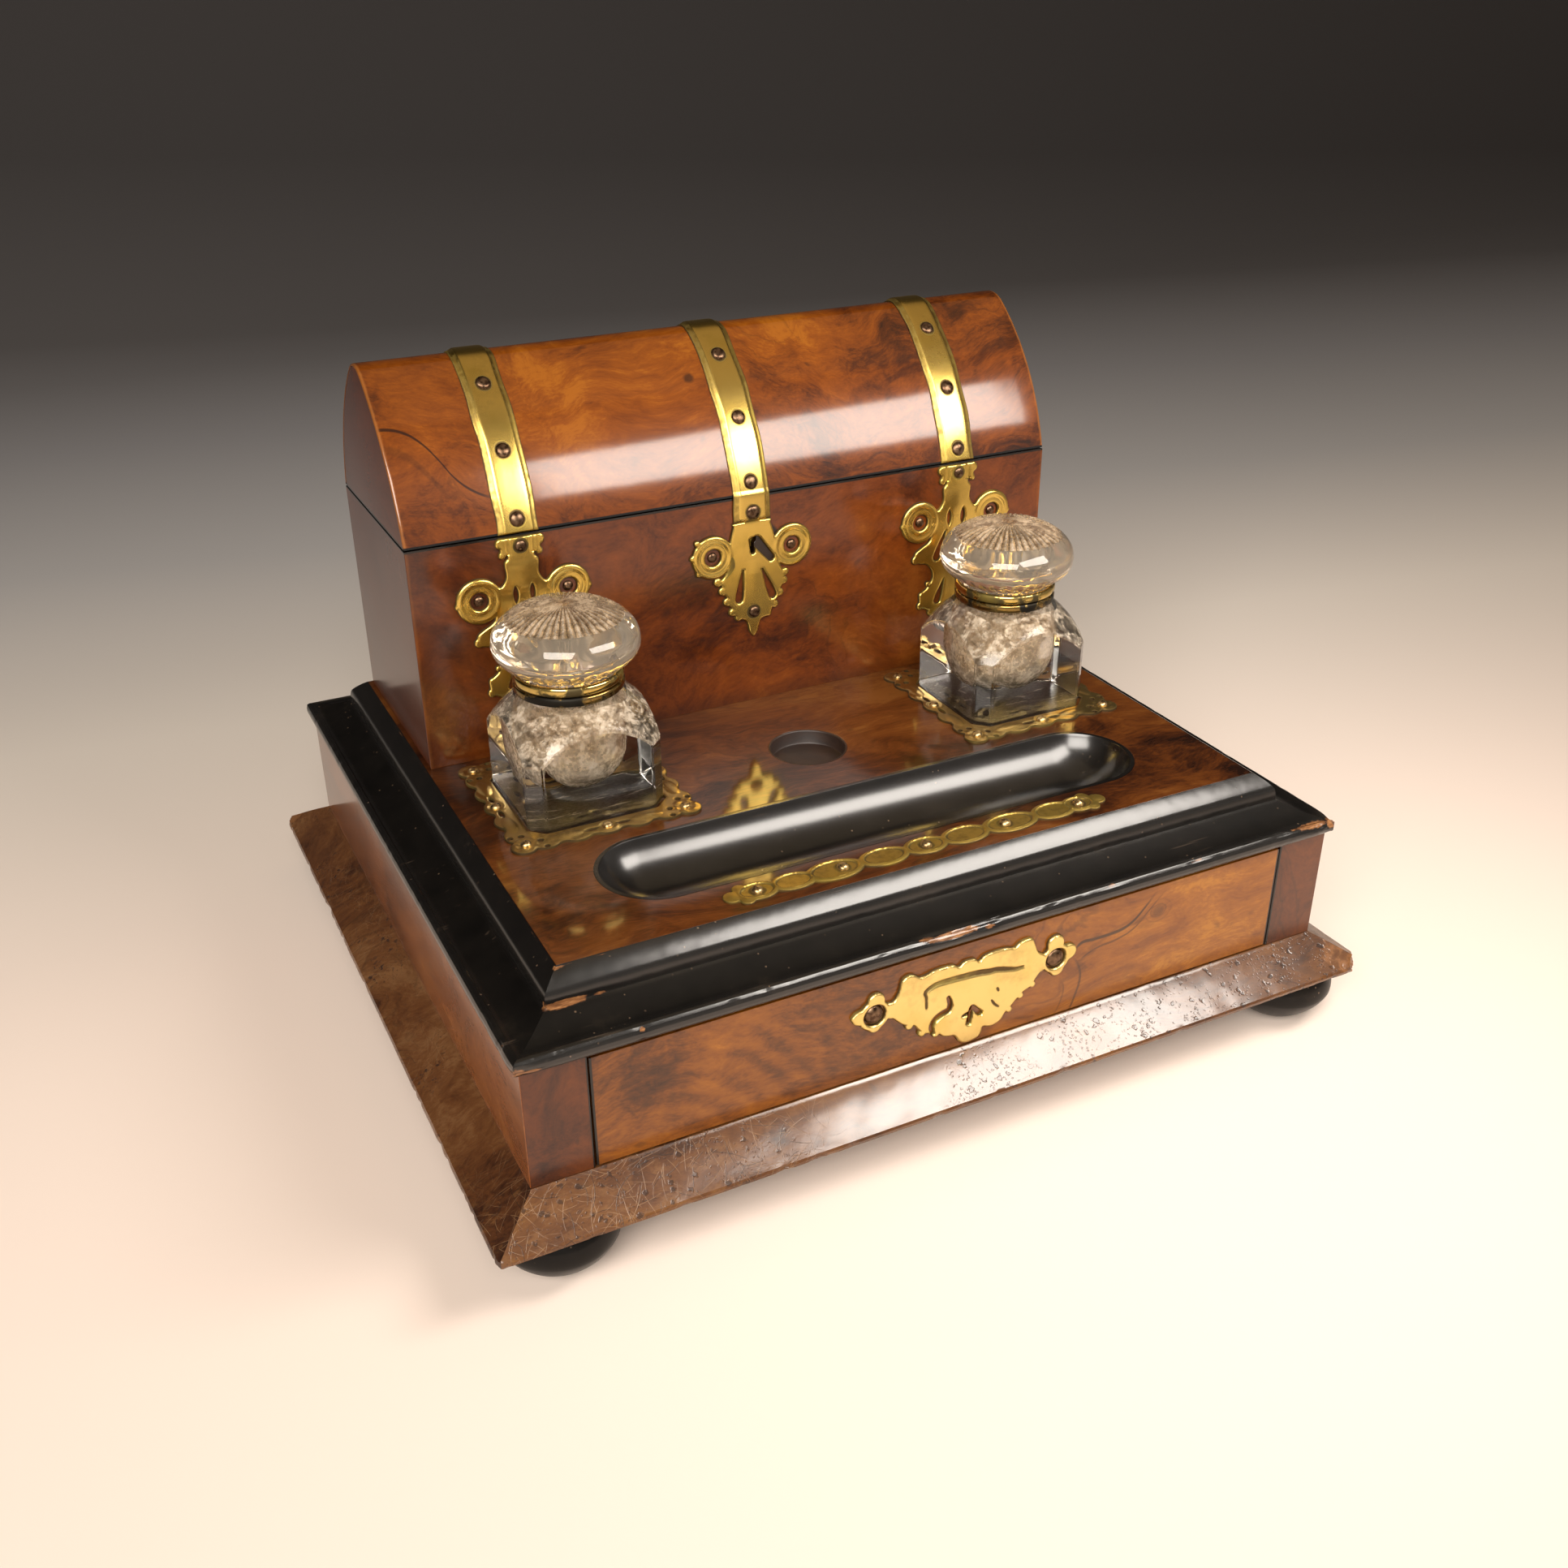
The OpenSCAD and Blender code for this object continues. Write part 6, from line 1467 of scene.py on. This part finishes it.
plate("escutcheon_plate", "drawer_escutcheon", esc_field, esc_height, (-48.5, 48.5, 36.5, 78), RES, lambda x, z, h: (x, FRONT_Y - h, z), "drawer", MAT["esc"], stain_and_shade=esc_stain)


pins("escutcheon_screw_heads", "escutcheon_screws", "drawer", [((s * 38, FRONT_Y, 63.8), (0, -1, 0), 3.9, 1.9) for s in (-1, 1)], MAT["pin"])

# galleries
GX, GY = 36.0, 36.6


def gallery_field(X, Y):
    d = np.maximum(np.abs(X) - (GX - 1.2), np.abs(Y) - (GY - 1.2))
    for a in (-24, -12, 0, 12, 24):
        for s in (-1, 1):
            d = add(d, sd_disc(X, Y, a, s * (GY - 6.0), 6.8), sd_disc(X, Y, s * (GX - 6.0), a, 6.8), k=0.6)
    for sx in (-1, 1):
        for sy in (-1, 1):
            d = add(d, sd_disc(X, Y, sx * (GX - 3.8), sy * (GY - 3.8), 5.0), k=0.6)
            d = cut(d, sd_disc(X, Y, sx * 35.2, sy * 25.2, 0.9), sd_disc(X, Y, sx * 24.6, sy * 36.0, 0.9))
    hole = np.maximum(np.maximum(np.abs(X) - 27.6, np.abs(Y) - 27.6), (np.abs(X) + np.abs(Y) - 49.6) / math.sqrt(2))
    d = cut(d, hole)
    for i in range(4):
        c, s = (1, 0, -1, 0)[i], (0, 1, 0, -1)[i]
        for t in (-1, 1):
            u, v = t * 6.2, 32.2
            d = cut(d, sd_oval(X, Y, c * u - s * v, s * u + c * v, 2.2, 0.8, 90 * i + 0))
            u, v = t * 25.4, 31.0
            d = cut(d, sd_disc(X, Y, c * u - s * v, s * u + c * v, 0.95))
    return d


def gallery_height(d, X, Y):
    h = crown(d, 1.0, 0.8, 0.4)
    for i in range(4):
        c, s = (1, 0, -1, 0)[i], (0, 1, 0, -1)[i]
        for t in (-1, 1):
            u, v = t * 15.8, 32.2
            q = ((X - (c * u - s * v)) * c + (Y - (s * u + c * v)) * s) / 6.6, (-(X - (c * u - s * v)) * s + (Y - (s * u + c * v)) * c) / 2.7
            k = np.clip(1 - q[0] ** 2 - q[1] ** 2, 0, 1)
            h = np.maximum(h, 0.75 + 0.85 * np.sqrt(k) * (k > 0))
        rho = np.hypot(X - (-s * 32.4), Y - (c * 32.4))
        h = h + 0.35 * np.exp(-(((rho - 3.4) / 0.7) ** 2))
    for sx in (-1, 1):
        for sy in (-1, 1):
            rho = np.hypot(X - sx * 31.4, Y - sy * 32.0)
            th = np.arctan2(Y - sy * 32.0, X - sx * 31.4)
            h = h + 0.38 * np.exp(-(((rho - 3.9) / 0.9) ** 2)) * (0.6 + 0.4 * np.cos(6 * th))
    return np.clip(h, 0.2, 1.7)


for s, n in ((-1, "left"), (1, "right")):
    plate(f"gallery_frame_{n}", f"gallery_{n}", gallery_field, gallery_height, (-39, 39, -39.6, 39.6), RES * 1.05, lambda x, y, h, s=s: (x + s * WELL_X, y + WELL_Y, Z_TOP + h), "stand", MAT["gallery"])
spots = []
for s in (-1, 1):
    for u, v in ((0, 32.4), (0, -32.4), (32.4, 0), (-32.4, 0), (31.4, 32), (-31.4, 32), (31.4, -32), (-31.4, -32)):
        spots.append(((s * WELL_X + u, WELL_Y + v, Z_TOP + 0.95), (0, 0, 1), 2.1, 1.65))
pins("gallery_pin_heads", "gallery_pins", "stand", spots, MAT["brass_pin"])


STRIP_PINS = (-66.8, -33.3, 1.0, 34.8, 67.6)
STRIP_OVALS = ((-66.8, 8.4, 5.6, True), (-52.8, 8.8, 5.6, False), (-36.4, 11.6, 6.4, True), (-16.4, 10.2, 5.9, False), (0.8, 9.0, 5.8, True), (17.6, 10.2, 6.1, False), (37.2, 12.0, 6.4, True), (56.4, 9.6, 5.9, False), (67.8, 7.2, 5.4, True))


def strip_field(X, Y):
    d = None
    for x, a, b, _ in STRIP_OVALS:
        e = sd_oval(X, Y, x, 0, a, b)
        d = e if d is None else add(d, e, k=0.35)
    for s in (-1, 1):
        d = add(d, sd_disc(X, Y, s * 76.2, 0, 3.4), sd_disc(X, Y, s * 72.0, 3.6, 2.8), sd_disc(X, Y, s * 72.0, -3.6, 2.8), k=0.35)
    return d


def strip_height(d, X, Y):
    h = crown(d, 0.75, 0.6, 0.35)
    for x, a, b, pinned in STRIP_OVALS:
        rho = np.sqrt(((X - x) / (a - 0.8)) ** 2 + (Y / (b - 0.8)) ** 2)
        h = np.where(rho < 0.84, 0.42 + 0.16 * rho**2, h)
        h = h + 0.24 * np.exp(-(((rho - 0.91) / 0.06) ** 2))
    for s in (-1, 1):
        for x, y, r in ((76.2, 0, 2.6), (72.0, 3.6, 2.0), (72.0, -3.6, 2.0)):
            q = ((X - s * x) ** 2 + (Y - y) ** 2) / r**2
            h = np.maximum(h, 0.45 + 0.6 * np.sqrt(np.clip(1 - q, 0, 1)) * (q < 1))
    return np.clip(h, 0.2, 1.4)


def strip_stain_and_shade(X, Y):
    d = np.full(X.shape, 9.0)
    for x, a, b, pinned in STRIP_OVALS:
        rho = np.sqrt(((X - x) / (a - 0.8)) ** 2 + (Y / (b - 0.8)) ** 2)
        d = np.minimum(d, np.abs(rho - 0.80) * 4.6 + 0.04)
        d = np.minimum(d, np.where(rho < 0.76, 0.33, 9.0))
        # round a pin: painted shade at its foot
        if pinned:
            d = np.minimum(d, np.maximum(np.hypot(X - min(STRIP_PINS, key=lambda k: abs(k - x)), Y) - 2.6, 0) * 0.4)
    return d


plate("tray_strip_band", "tray_strip", strip_field, strip_height, (-81, 81, -8, 8), RES, lambda x, y, h: (x, y - 112.6, Z_TOP + h), "stand", MAT["strip"], stain_and_shade=strip_stain_and_shade)
pins("strip_pin_heads", "strip_pins", "stand", [((k, -112.6, Z_TOP + 0.40), (0, 0, 1), 2.3, 1.9) for k in STRIP_PINS], MAT["brass_pin"])


# ------------------------------------------------------------------ inkwells
WELL_Z = Z_TOP + 0.3
NECK_R = 18.6
COLLAR_Z = WELL_Z + 44.5
RING_Z = COLLAR_Z + 3.9
CAP_Z = RING_Z + 1.3


def octagon_radius(t, w=27.0, c=5.5, k=0.35):
    """Radius of the square with cut corners at angle t, its edges very slightly rounded."""
    diag = (2 * w - c) / math.sqrt(2)
    vals = []
    for q in range(4):
        for dist, off in ((w, 0.0), (diag, 45.0)):
            co = math.cos(t - math.radians(90 * q + off))
            if co > 0.2:
                vals.append(dist / co)
    vals.sort()
    a, b = vals[0], vals[1]
    h = max(0.0, min(1.0, 0.5 + 0.5 * (b - a) / k))
    return b * (1 - h) + a * h - k * h * (1 - h)


def bottle(side, x):
    ts = set(np.linspace(0, 2 * math.pi, 144, endpoint=False).round(6))
    a_c = math.atan2(21.5, 27.0)
    for q in range(4):
        for s in (a_c, math.pi / 2 - a_c):
            for e in (-0.030, -0.014, -0.006, 0, 0.006, 0.014, 0.030):
                ts.add(round((s + q * math.pi / 2 + e) % (2 * math.pi), 6))
    ts = sorted(ts)
    oct_r = np.array([octagon_radius(t) for t in ts])
    # the upright corners are ground round a little
    corners = np.array([c + q * math.pi / 2 for q in range(4) for c in (a_c, math.pi / 2 - a_c)])
    near = np.abs((np.array(ts)[:, None] - corners[None, :] + math.pi) % (2 * math.pi) - math.pi).min(1)
    oct_r = oct_r - 0.38 * np.exp(-((near / 0.011) ** 2))
    V, rows = [], []

    def ring(rs, zs):
        row = []
        for t, r, z in zip(ts, np.broadcast_to(rs, len(ts)), np.broadcast_to(zs, len(ts))):
            row.append(len(V))
            V.append((r * math.cos(t), r * math.sin(t), z))
        rows.append(row)

    shoulder = lambda z: -12.6 + math.sqrt(max(54.0**2 - (z - 0.2) ** 2, 0))
    z_c = np.array([0.2 + math.sqrt(max(54.0**2 - (min(r, 40) + 12.6) ** 2, 0)) for r in oct_r])
    ring(1e-3, 0.15)
    ring(12.0, 0.12)
    ring(oct_r - 1.6, 0.0)
    ring(oct_r - 0.5, 0.0)
    ring(oct_r - 0.12, 0.14)
    ring(oct_r, 0.5)
    for f in (0.12, 0.3, 0.5, 0.7, 0.88, 0.96):
        ring(oct_r, 0.5 + (z_c - 0.5) * f)
    ring(oct_r, z_c - 0.45)
    ring(oct_r - 0.02, z_c - 0.22)
    ring(oct_r - 0.10, z_c - 0.03)
    z1 = 43.6
    for f in (0.010, 0.028, 0.07, 0.14, 0.22, 0.31, 0.40, 0.50, 0.60, 0.70, 0.79, 0.87, 0.94, 1.0):
        z = z_c + (z1 - z_c) * f
        ring(np.array([min(shoulder(a) - 0.05, o - 0.10) for a, o in zip(z, oct_r)]), z)
    ring(NECK_R, 44.3)
    ring(NECK_R, 46.0)
    ring(NECK_R, 47.4)
    ring(NECK_R - 0.2, 47.85)
    ring(NECK_R - 0.7, 48.0)
    ring(14.4, 48.0)
    ring(13.9, 47.85)
    ring(13.6, 47.3)
    n_out = len(rows)
    for r, z in ((13.6, 42.0), (13.62, 39.6), (13.9, 38.0), (14.7, 36.5), (15.8, 35.0), (16.6, 33.2), (17.0, 31.0), (17.0, 28.0)):
        ring(r, z)
    for k in range(0, 15):
        a = math.pi / 2 * k / 15
        ring(17.0 * math.cos(a), 24.5 - 17.0 * math.sin(a))
    ring(1e-3, 7.5)
    m = len(ts)
    V = np.array(V)
    # pressed glass: the well's wall is a little uneven
    inner = np.zeros(len(V), bool)
    inner[n_out * m:] = True
    wob = 1 + 0.018 * (fbm(V + (31 if side == "left" else 87), 9, 7, 2) - 0.5)
    V[:, 0] = np.where(inner, V[:, 0] * wob, V[:, 0])
    V[:, 1] = np.where(inner, V[:, 1] * wob, V[:, 1])
    F = grid_faces(len(rows), m, wrap_v=True)
    top_row = next(k for k, r in enumerate(rows) if min(V[i][2] for i in r) > 36.0)
    fm = [1 if i // m >= n_out + 1 else 2 if i // m < 3 else 3 if top_row - 12 <= i // m < top_row + 3 else 0 for i in range(len(F))]
    ob = build(f"bottle_{side}", V + [x, WELL_Y, WELL_Z], F, MAT["glass"], f"inkwell_{side}", (f"inkwell_{side}_bottle",), angle=24, extra=(MAT["well"], MAT["base"], MAT["shoulder"]), face_mat=fm)
    bm = bmesh.new()
    bm.from_mesh(ob.data)
    bmesh.ops.remove_doubles(bm, verts=bm.verts, dist=3e-6)
    bmesh.ops.dissolve_degenerate(bm, dist=1e-6, edges=bm.edges)
    bmesh.ops.recalc_face_normals(bm, faces=bm.faces)
    bm.to_mesh(ob.data)
    bm.free()


def glass_lid(side, x):
    seg = 264
    top = bez((CAP_R - 0.1, 14.2), (CAP_R - 0.5, 19.0), (CAP_R - 5.5, 23.4), (15, 25.8), 16)[1:] + [(13.4, 26.15), (12, 26.42), (10.5, 26.68), (9, 26.9), (7.5, 27.08), (6, 27.22), (4.6, 27.32), (3.4, 27.4), (1.6, 27.46)]
    low = [(18.6, 0.35), (18.7, 2.9), (19.4, 3.6), (20.4, 4.2)] + bez((21.2, 4.6), (25.2, 6.4), (CAP_R - 0.15, 9.2), (CAP_R - 0.02, 12.4), 12)
    prof = [(0, 2.2), (2.2, 2.15), (5, 1.6), (9, 1.2), (13, 1.0), (16, 0.9), (17.6, 0.35), (18.2, 0.12)] + low + [(CAP_R, 13.2)] + top + [(0, 27.48)]

    def warp(r, z, t):
        # star cut under the lid: 24 flutes from the centre, and shallow ones round the foot of the overhang
        if z < 2.4 and r < 17.5:
            k = abs(math.sin(12 * t)) ** 0.8
            z = z + 1.5 * (1 - k) * min(1.0, r / 6) * min(1.0, (18.0 - r) / 3)
        elif 3.0 < z < 9.0 and r > 19.0:
            k = abs(math.sin(16 * t))
            f = math.sin(math.pi * (z - 3.0) / 6.0)
            r = r - 0.9 * (1 - k) * f
        # 44 radial mitre cuts over the top, deepest near its rim
        elif z > 22.2 and r > 3.0:
            k = abs(math.sin(22 * t))
            f = min(1.0, (r - 3.0) / 7.0) * min(1.0, (z - 22.2) / 1.6)
            z = z - 0.62 * (1 - k) * f
        return r, z

    V, F = lathe(prof, seg, warp=warp)
    r, t = np.hypot(V[:, 0], V[:, 1]), np.arctan2(V[:, 1], V[:, 0])
    ridge = np.where((V[:, 2] > 21.8) & (r > 2.5), np.abs(np.sin(22 * t)), 0.75)
    fm = [1 if min(V[i][2] for i in f) > 22.0 else 0 for f in F]
    build(f"cut_lid_{side}", V + [x, WELL_Y, CAP_Z], F, MAT["cap"], f"inkwell_{side}_lid", (f"inkwell_{side}_glass_lid",), angle=16, attrs={"ridge": ridge}, extra=(MAT["cap_top"],), face_mat=fm)


def knuckle_parts(spans, up, r=1.7):
    """Hinge barrels with a small foot, along x, about the lid pivot."""
    py, pz = 22.5, COLLAR_Z + 3.7
    parts = []
    for x0, l in spans:
        prof = [(0.85, 0.12), (1.0, 0), (r - 0.2, 0), (r, 0.2), (r, l - 0.2), (r - 0.2, l), (1.0, l), (0.85, l - 0.12)]
        V, F = lathe(prof, 36, closed=True)
        V = np.stack([V[:, 2] + x0, V[:, 0] + py, V[:, 1] + pz], 1)
        parts.append((V, F))
        z0, z1 = (pz + 0.2, pz + 2.6) if up else (pz - 2.6, pz - 0.2)
        box = rounded([(py - 3.2, z0), (py - 0.3, z0 + (0.0 if up else 0.5)), (py + (-0.1 if up else 0.2), z0 + 0.9), (py - 0.9, z1), (py - 3.2, z1)], 0.25, 2)
        n = len(box)
        W = [(x0 + 0.05, y, z) for y, z in box] + [(x0 + l - 0.05, y, z) for y, z in box]
        G = [(i, (i + 1) % n, n + (i + 1) % n, n + i) for i in range(n)] + [tuple(reversed(range(n))), tuple(range(n, 2 * n))]
        parts.append((np.array(W), G))
    return parts


def collar(side, x):
    prof = [(NECK_R + 0.05, 0.1), (NECK_R + 0.3, 0), (19.7, 0), (20.2, 0.12), (20.55, 0.4), (20.7, 0.9), (20.75, 1.6), (20.72, 2.3), (20.6, 2.9), (20.35, 3.3), (19.9, 3.5), (NECK_R + 0.3, 3.5), (NECK_R + 0.05, 3.4)]
    V, F = lathe(prof, 128, closed=True)
    V, F = join([(V + [0, 0, COLLAR_Z], F)] + knuckle_parts([(-5.2, 3.2), (2.0, 3.2)], False))
    build(f"neck_collar_{side}", V + [x, WELL_Y, 0], F, MAT["collar"], f"inkwell_{side}", (f"inkwell_{side}_collar",), angle=40)
    prof = [(14.0, 0.1), (14.2, 0), (19.9, 0), (20.35, 0.15), (20.65, 0.5), (20.78, 1.0), (20.8, 1.7), (20.76, 2.4), (20.6, 3.0), (20.35, 3.4), (20.0, 3.6), (19.2, 3.6), (18.95, 3.4), (18.9, 1.4), (18.7, 1.2), (14.2, 1.2), (14.0, 1.1)]
    V, F = lathe(prof, 128, closed=True)
    V, F = join([(V + [0, 0, RING_Z], F)] + knuckle_parts([(-1.8, 3.6)], True))
    build(f"lid_collar_{side}", V + [x, WELL_Y, 0], F, MAT["ring"], f"inkwell_{side}_lid", (f"inkwell_{side}_lid_ring",), angle=40)


for side, x in (("left", -WELL_X), ("right", WELL_X)):
    bottle(side, x)
    glass_lid(side, x)
    collar(side, x)

# ------------------------------------------------------------------ floor, light and camera
me = bpy.data.meshes.new("floor")
pts, faces = [], []
ys = [-18.0, -6.0, -3.0, -1.5, 0.0, 1.2]
prof = [(y, 0.0) for y in ys] + [(1.2 + 1.6 * math.sin(math.radians(a)), 1.6 - 1.6 * math.cos(math.radians(a))) for a in range(6, 91, 6)] + [(2.8, 3.2), (2.8, 6.0)]
for y, z in prof:
    pts += [(-18.0, y, z - 0.0002), (18.0, y, z - 0.0002)]
for i in range(len(prof) - 1):
    faces.append((2 * i, 2 * i + 1, 2 * i + 3, 2 * i + 2))
me.from_pydata(pts, [], faces)
me.shade_smooth()
m = Mat("PaleFloor")
# painted light falloff: the floor's colour is pale round the object and darker up the sweep behind it
fx, fy, fz = m.xyz(m.obj)
g = m.math("ADD", m.math("MULTIPLY_ADD", fx, 0.16, m.math("MULTIPLY", fy, 0.894)), m.math("MULTIPLY", fz, 1.2))
g = m.math("MULTIPLY_ADD", m.math("SUBTRACT", m.noise(m.obj, 1.3, 2), 0.5), 0.05, g)
tone = m.ramp(m.mr(g, -0.4, 1.8, smooth=False), [(0.0, lin(226, 210, 199)), (0.20, lin(233, 217, 206)), (0.30, lin(226, 217, 208)), (0.42, lin(180, 178, 178)), (0.55, lin(150, 149, 152)), (0.72, lin(106, 104, 105)), (1.0, lin(84, 82, 83))])
m.set(Base_Color=tone, Roughness=0.78, Specular_IOR_Level=0.2)
me.materials.append(m.m)
floor = bpy.data.objects.new("floor", me)
bpy.context.scene.collection.objects.link(floor)


def area(name, at, to, size, size_y, power, colour=(1, 1, 1), spread=180):
    L = bpy.data.lights.new(name, "AREA")
    L.shape, L.size, L.size_y, L.energy, L.color = "RECTANGLE", size, size_y, power, colour
    L.spread = math.radians(spread)
    o = bpy.data.objects.new(name, L)
    o.visible_camera = False
    o.location = at
    o.rotation_euler = (Vector(to) - Vector(at)).to_track_quat("-Z", "Y").to_euler()
    bpy.context.scene.collection.objects.link(o)
    return o


def panel(name, at, along, facing, size, size_y, power, colour=(1, 1, 1), spread=180):
    """A rectangular light at a place, its long side along one direction and shining along another."""
    o = area(name, at, (0, 0, 0), size, size_y, power, colour, spread)
    z = -Vector(facing).normalized()
    x = Vector(along)
    x = (x - z * x.dot(z)).normalized()
    o.rotation_euler = Matrix((x, z.cross(x), z)).transposed().to_euler()
    return o


panel("key_box", (0.206, -0.314, 0.434), (0.880, 0.442, -0.167), (-0.449, 0.674, -0.584), 0.34, 0.165, 2.6, (1.0, 0.93, 0.85))
panel("overhead", (0.35, 0.05, 1.6), (1, 0, 0), (-0.1, 0, -1), 1.5, 1.3, 1.5, (1.0, 0.74, 0.46))
area("front_fill", (-1.0, -1.5, 1.35), (-0.15, -0.25, 0.0), 1.6, 1.0, 40.0, (1.0, 0.94, 0.86), 140)

world = bpy.data.worlds.new("studio")
bpy.context.scene.world = world
world.use_nodes = True
wt = world.node_tree
wt.nodes.clear()


def wnode(kind, ins=(), **kw):
    n = wt.nodes.new(kind)
    for k, v in kw.items():
        setattr(n, k, v)
    for i, v in enumerate(ins):
        if isinstance(v, bpy.types.NodeSocket):
            wt.links.new(v, n.inputs[i])
        elif v is not None:
            n.inputs[i].default_value = v
    return n


wxyz = wnode("ShaderNodeSeparateXYZ", [wnode("ShaderNodeTexCoord").outputs["Generated"]]).outputs
wr = wnode("ShaderNodeValToRGB", [wxyz[2]])
wr.color_ramp.elements[0].position, wr.color_ramp.elements[0].color = 0.0, (0.52, 0.47, 0.42, 1)
wr.color_ramp.elements[1].position, wr.color_ramp.elements[1].color = 0.75, (0.150, 0.110, 0.075, 1)
e = wr.color_ramp.elements.new(0.30)
e.color = (0.22, 0.19, 0.165, 1)
# the room behind the object is dark
wb = wnode("ShaderNodeMapRange", [wxyz[1], -0.1, 0.55, 1.0, 0.16], interpolation_type="SMOOTHSTEP").outputs[0]
wm = wnode("ShaderNodeVectorMath", [wr.outputs[0]], operation="SCALE")
wt.links.new(wb, wm.inputs["Scale"])
bg = wnode("ShaderNodeBackground", [wm.outputs[0], 0.9])
wnode("ShaderNodeOutputWorld", [bg.outputs[0]])

cam_data = bpy.data.cameras.new("camera")
cam_data.sensor_width, cam_data.sensor_fit = 36.0, "AUTO"
cam_data.lens = 36.815
cam_data.clip_start, cam_data.clip_end = 0.01, 60
camera = bpy.data.objects.new("camera", cam_data)
bpy.context.scene.collection.objects.link(camera)
yaw, pitch, roll = math.radians(-26.564), math.radians(28.285), math.radians(-0.409)
back = Vector((math.sin(yaw) * math.cos(pitch), -math.cos(yaw) * math.cos(pitch), math.sin(pitch)))
right = (-back).cross(Vector((0, 0, 1))).normalized()
up = right.cross(-back)
right, up = right * math.cos(roll) + up * math.sin(roll), -right * math.sin(roll) + up * math.cos(roll)
R = Matrix((right, up, back)).transposed().to_4x4()
camera.matrix_world = Matrix.Translation((-0.26774, -0.53577, 0.39850)) @ R
bpy.context.scene.camera = camera

vs = bpy.context.scene.view_settings
vs.view_transform, vs.look, vs.exposure, vs.gamma = "Standard", "None", 0.0, 1.0
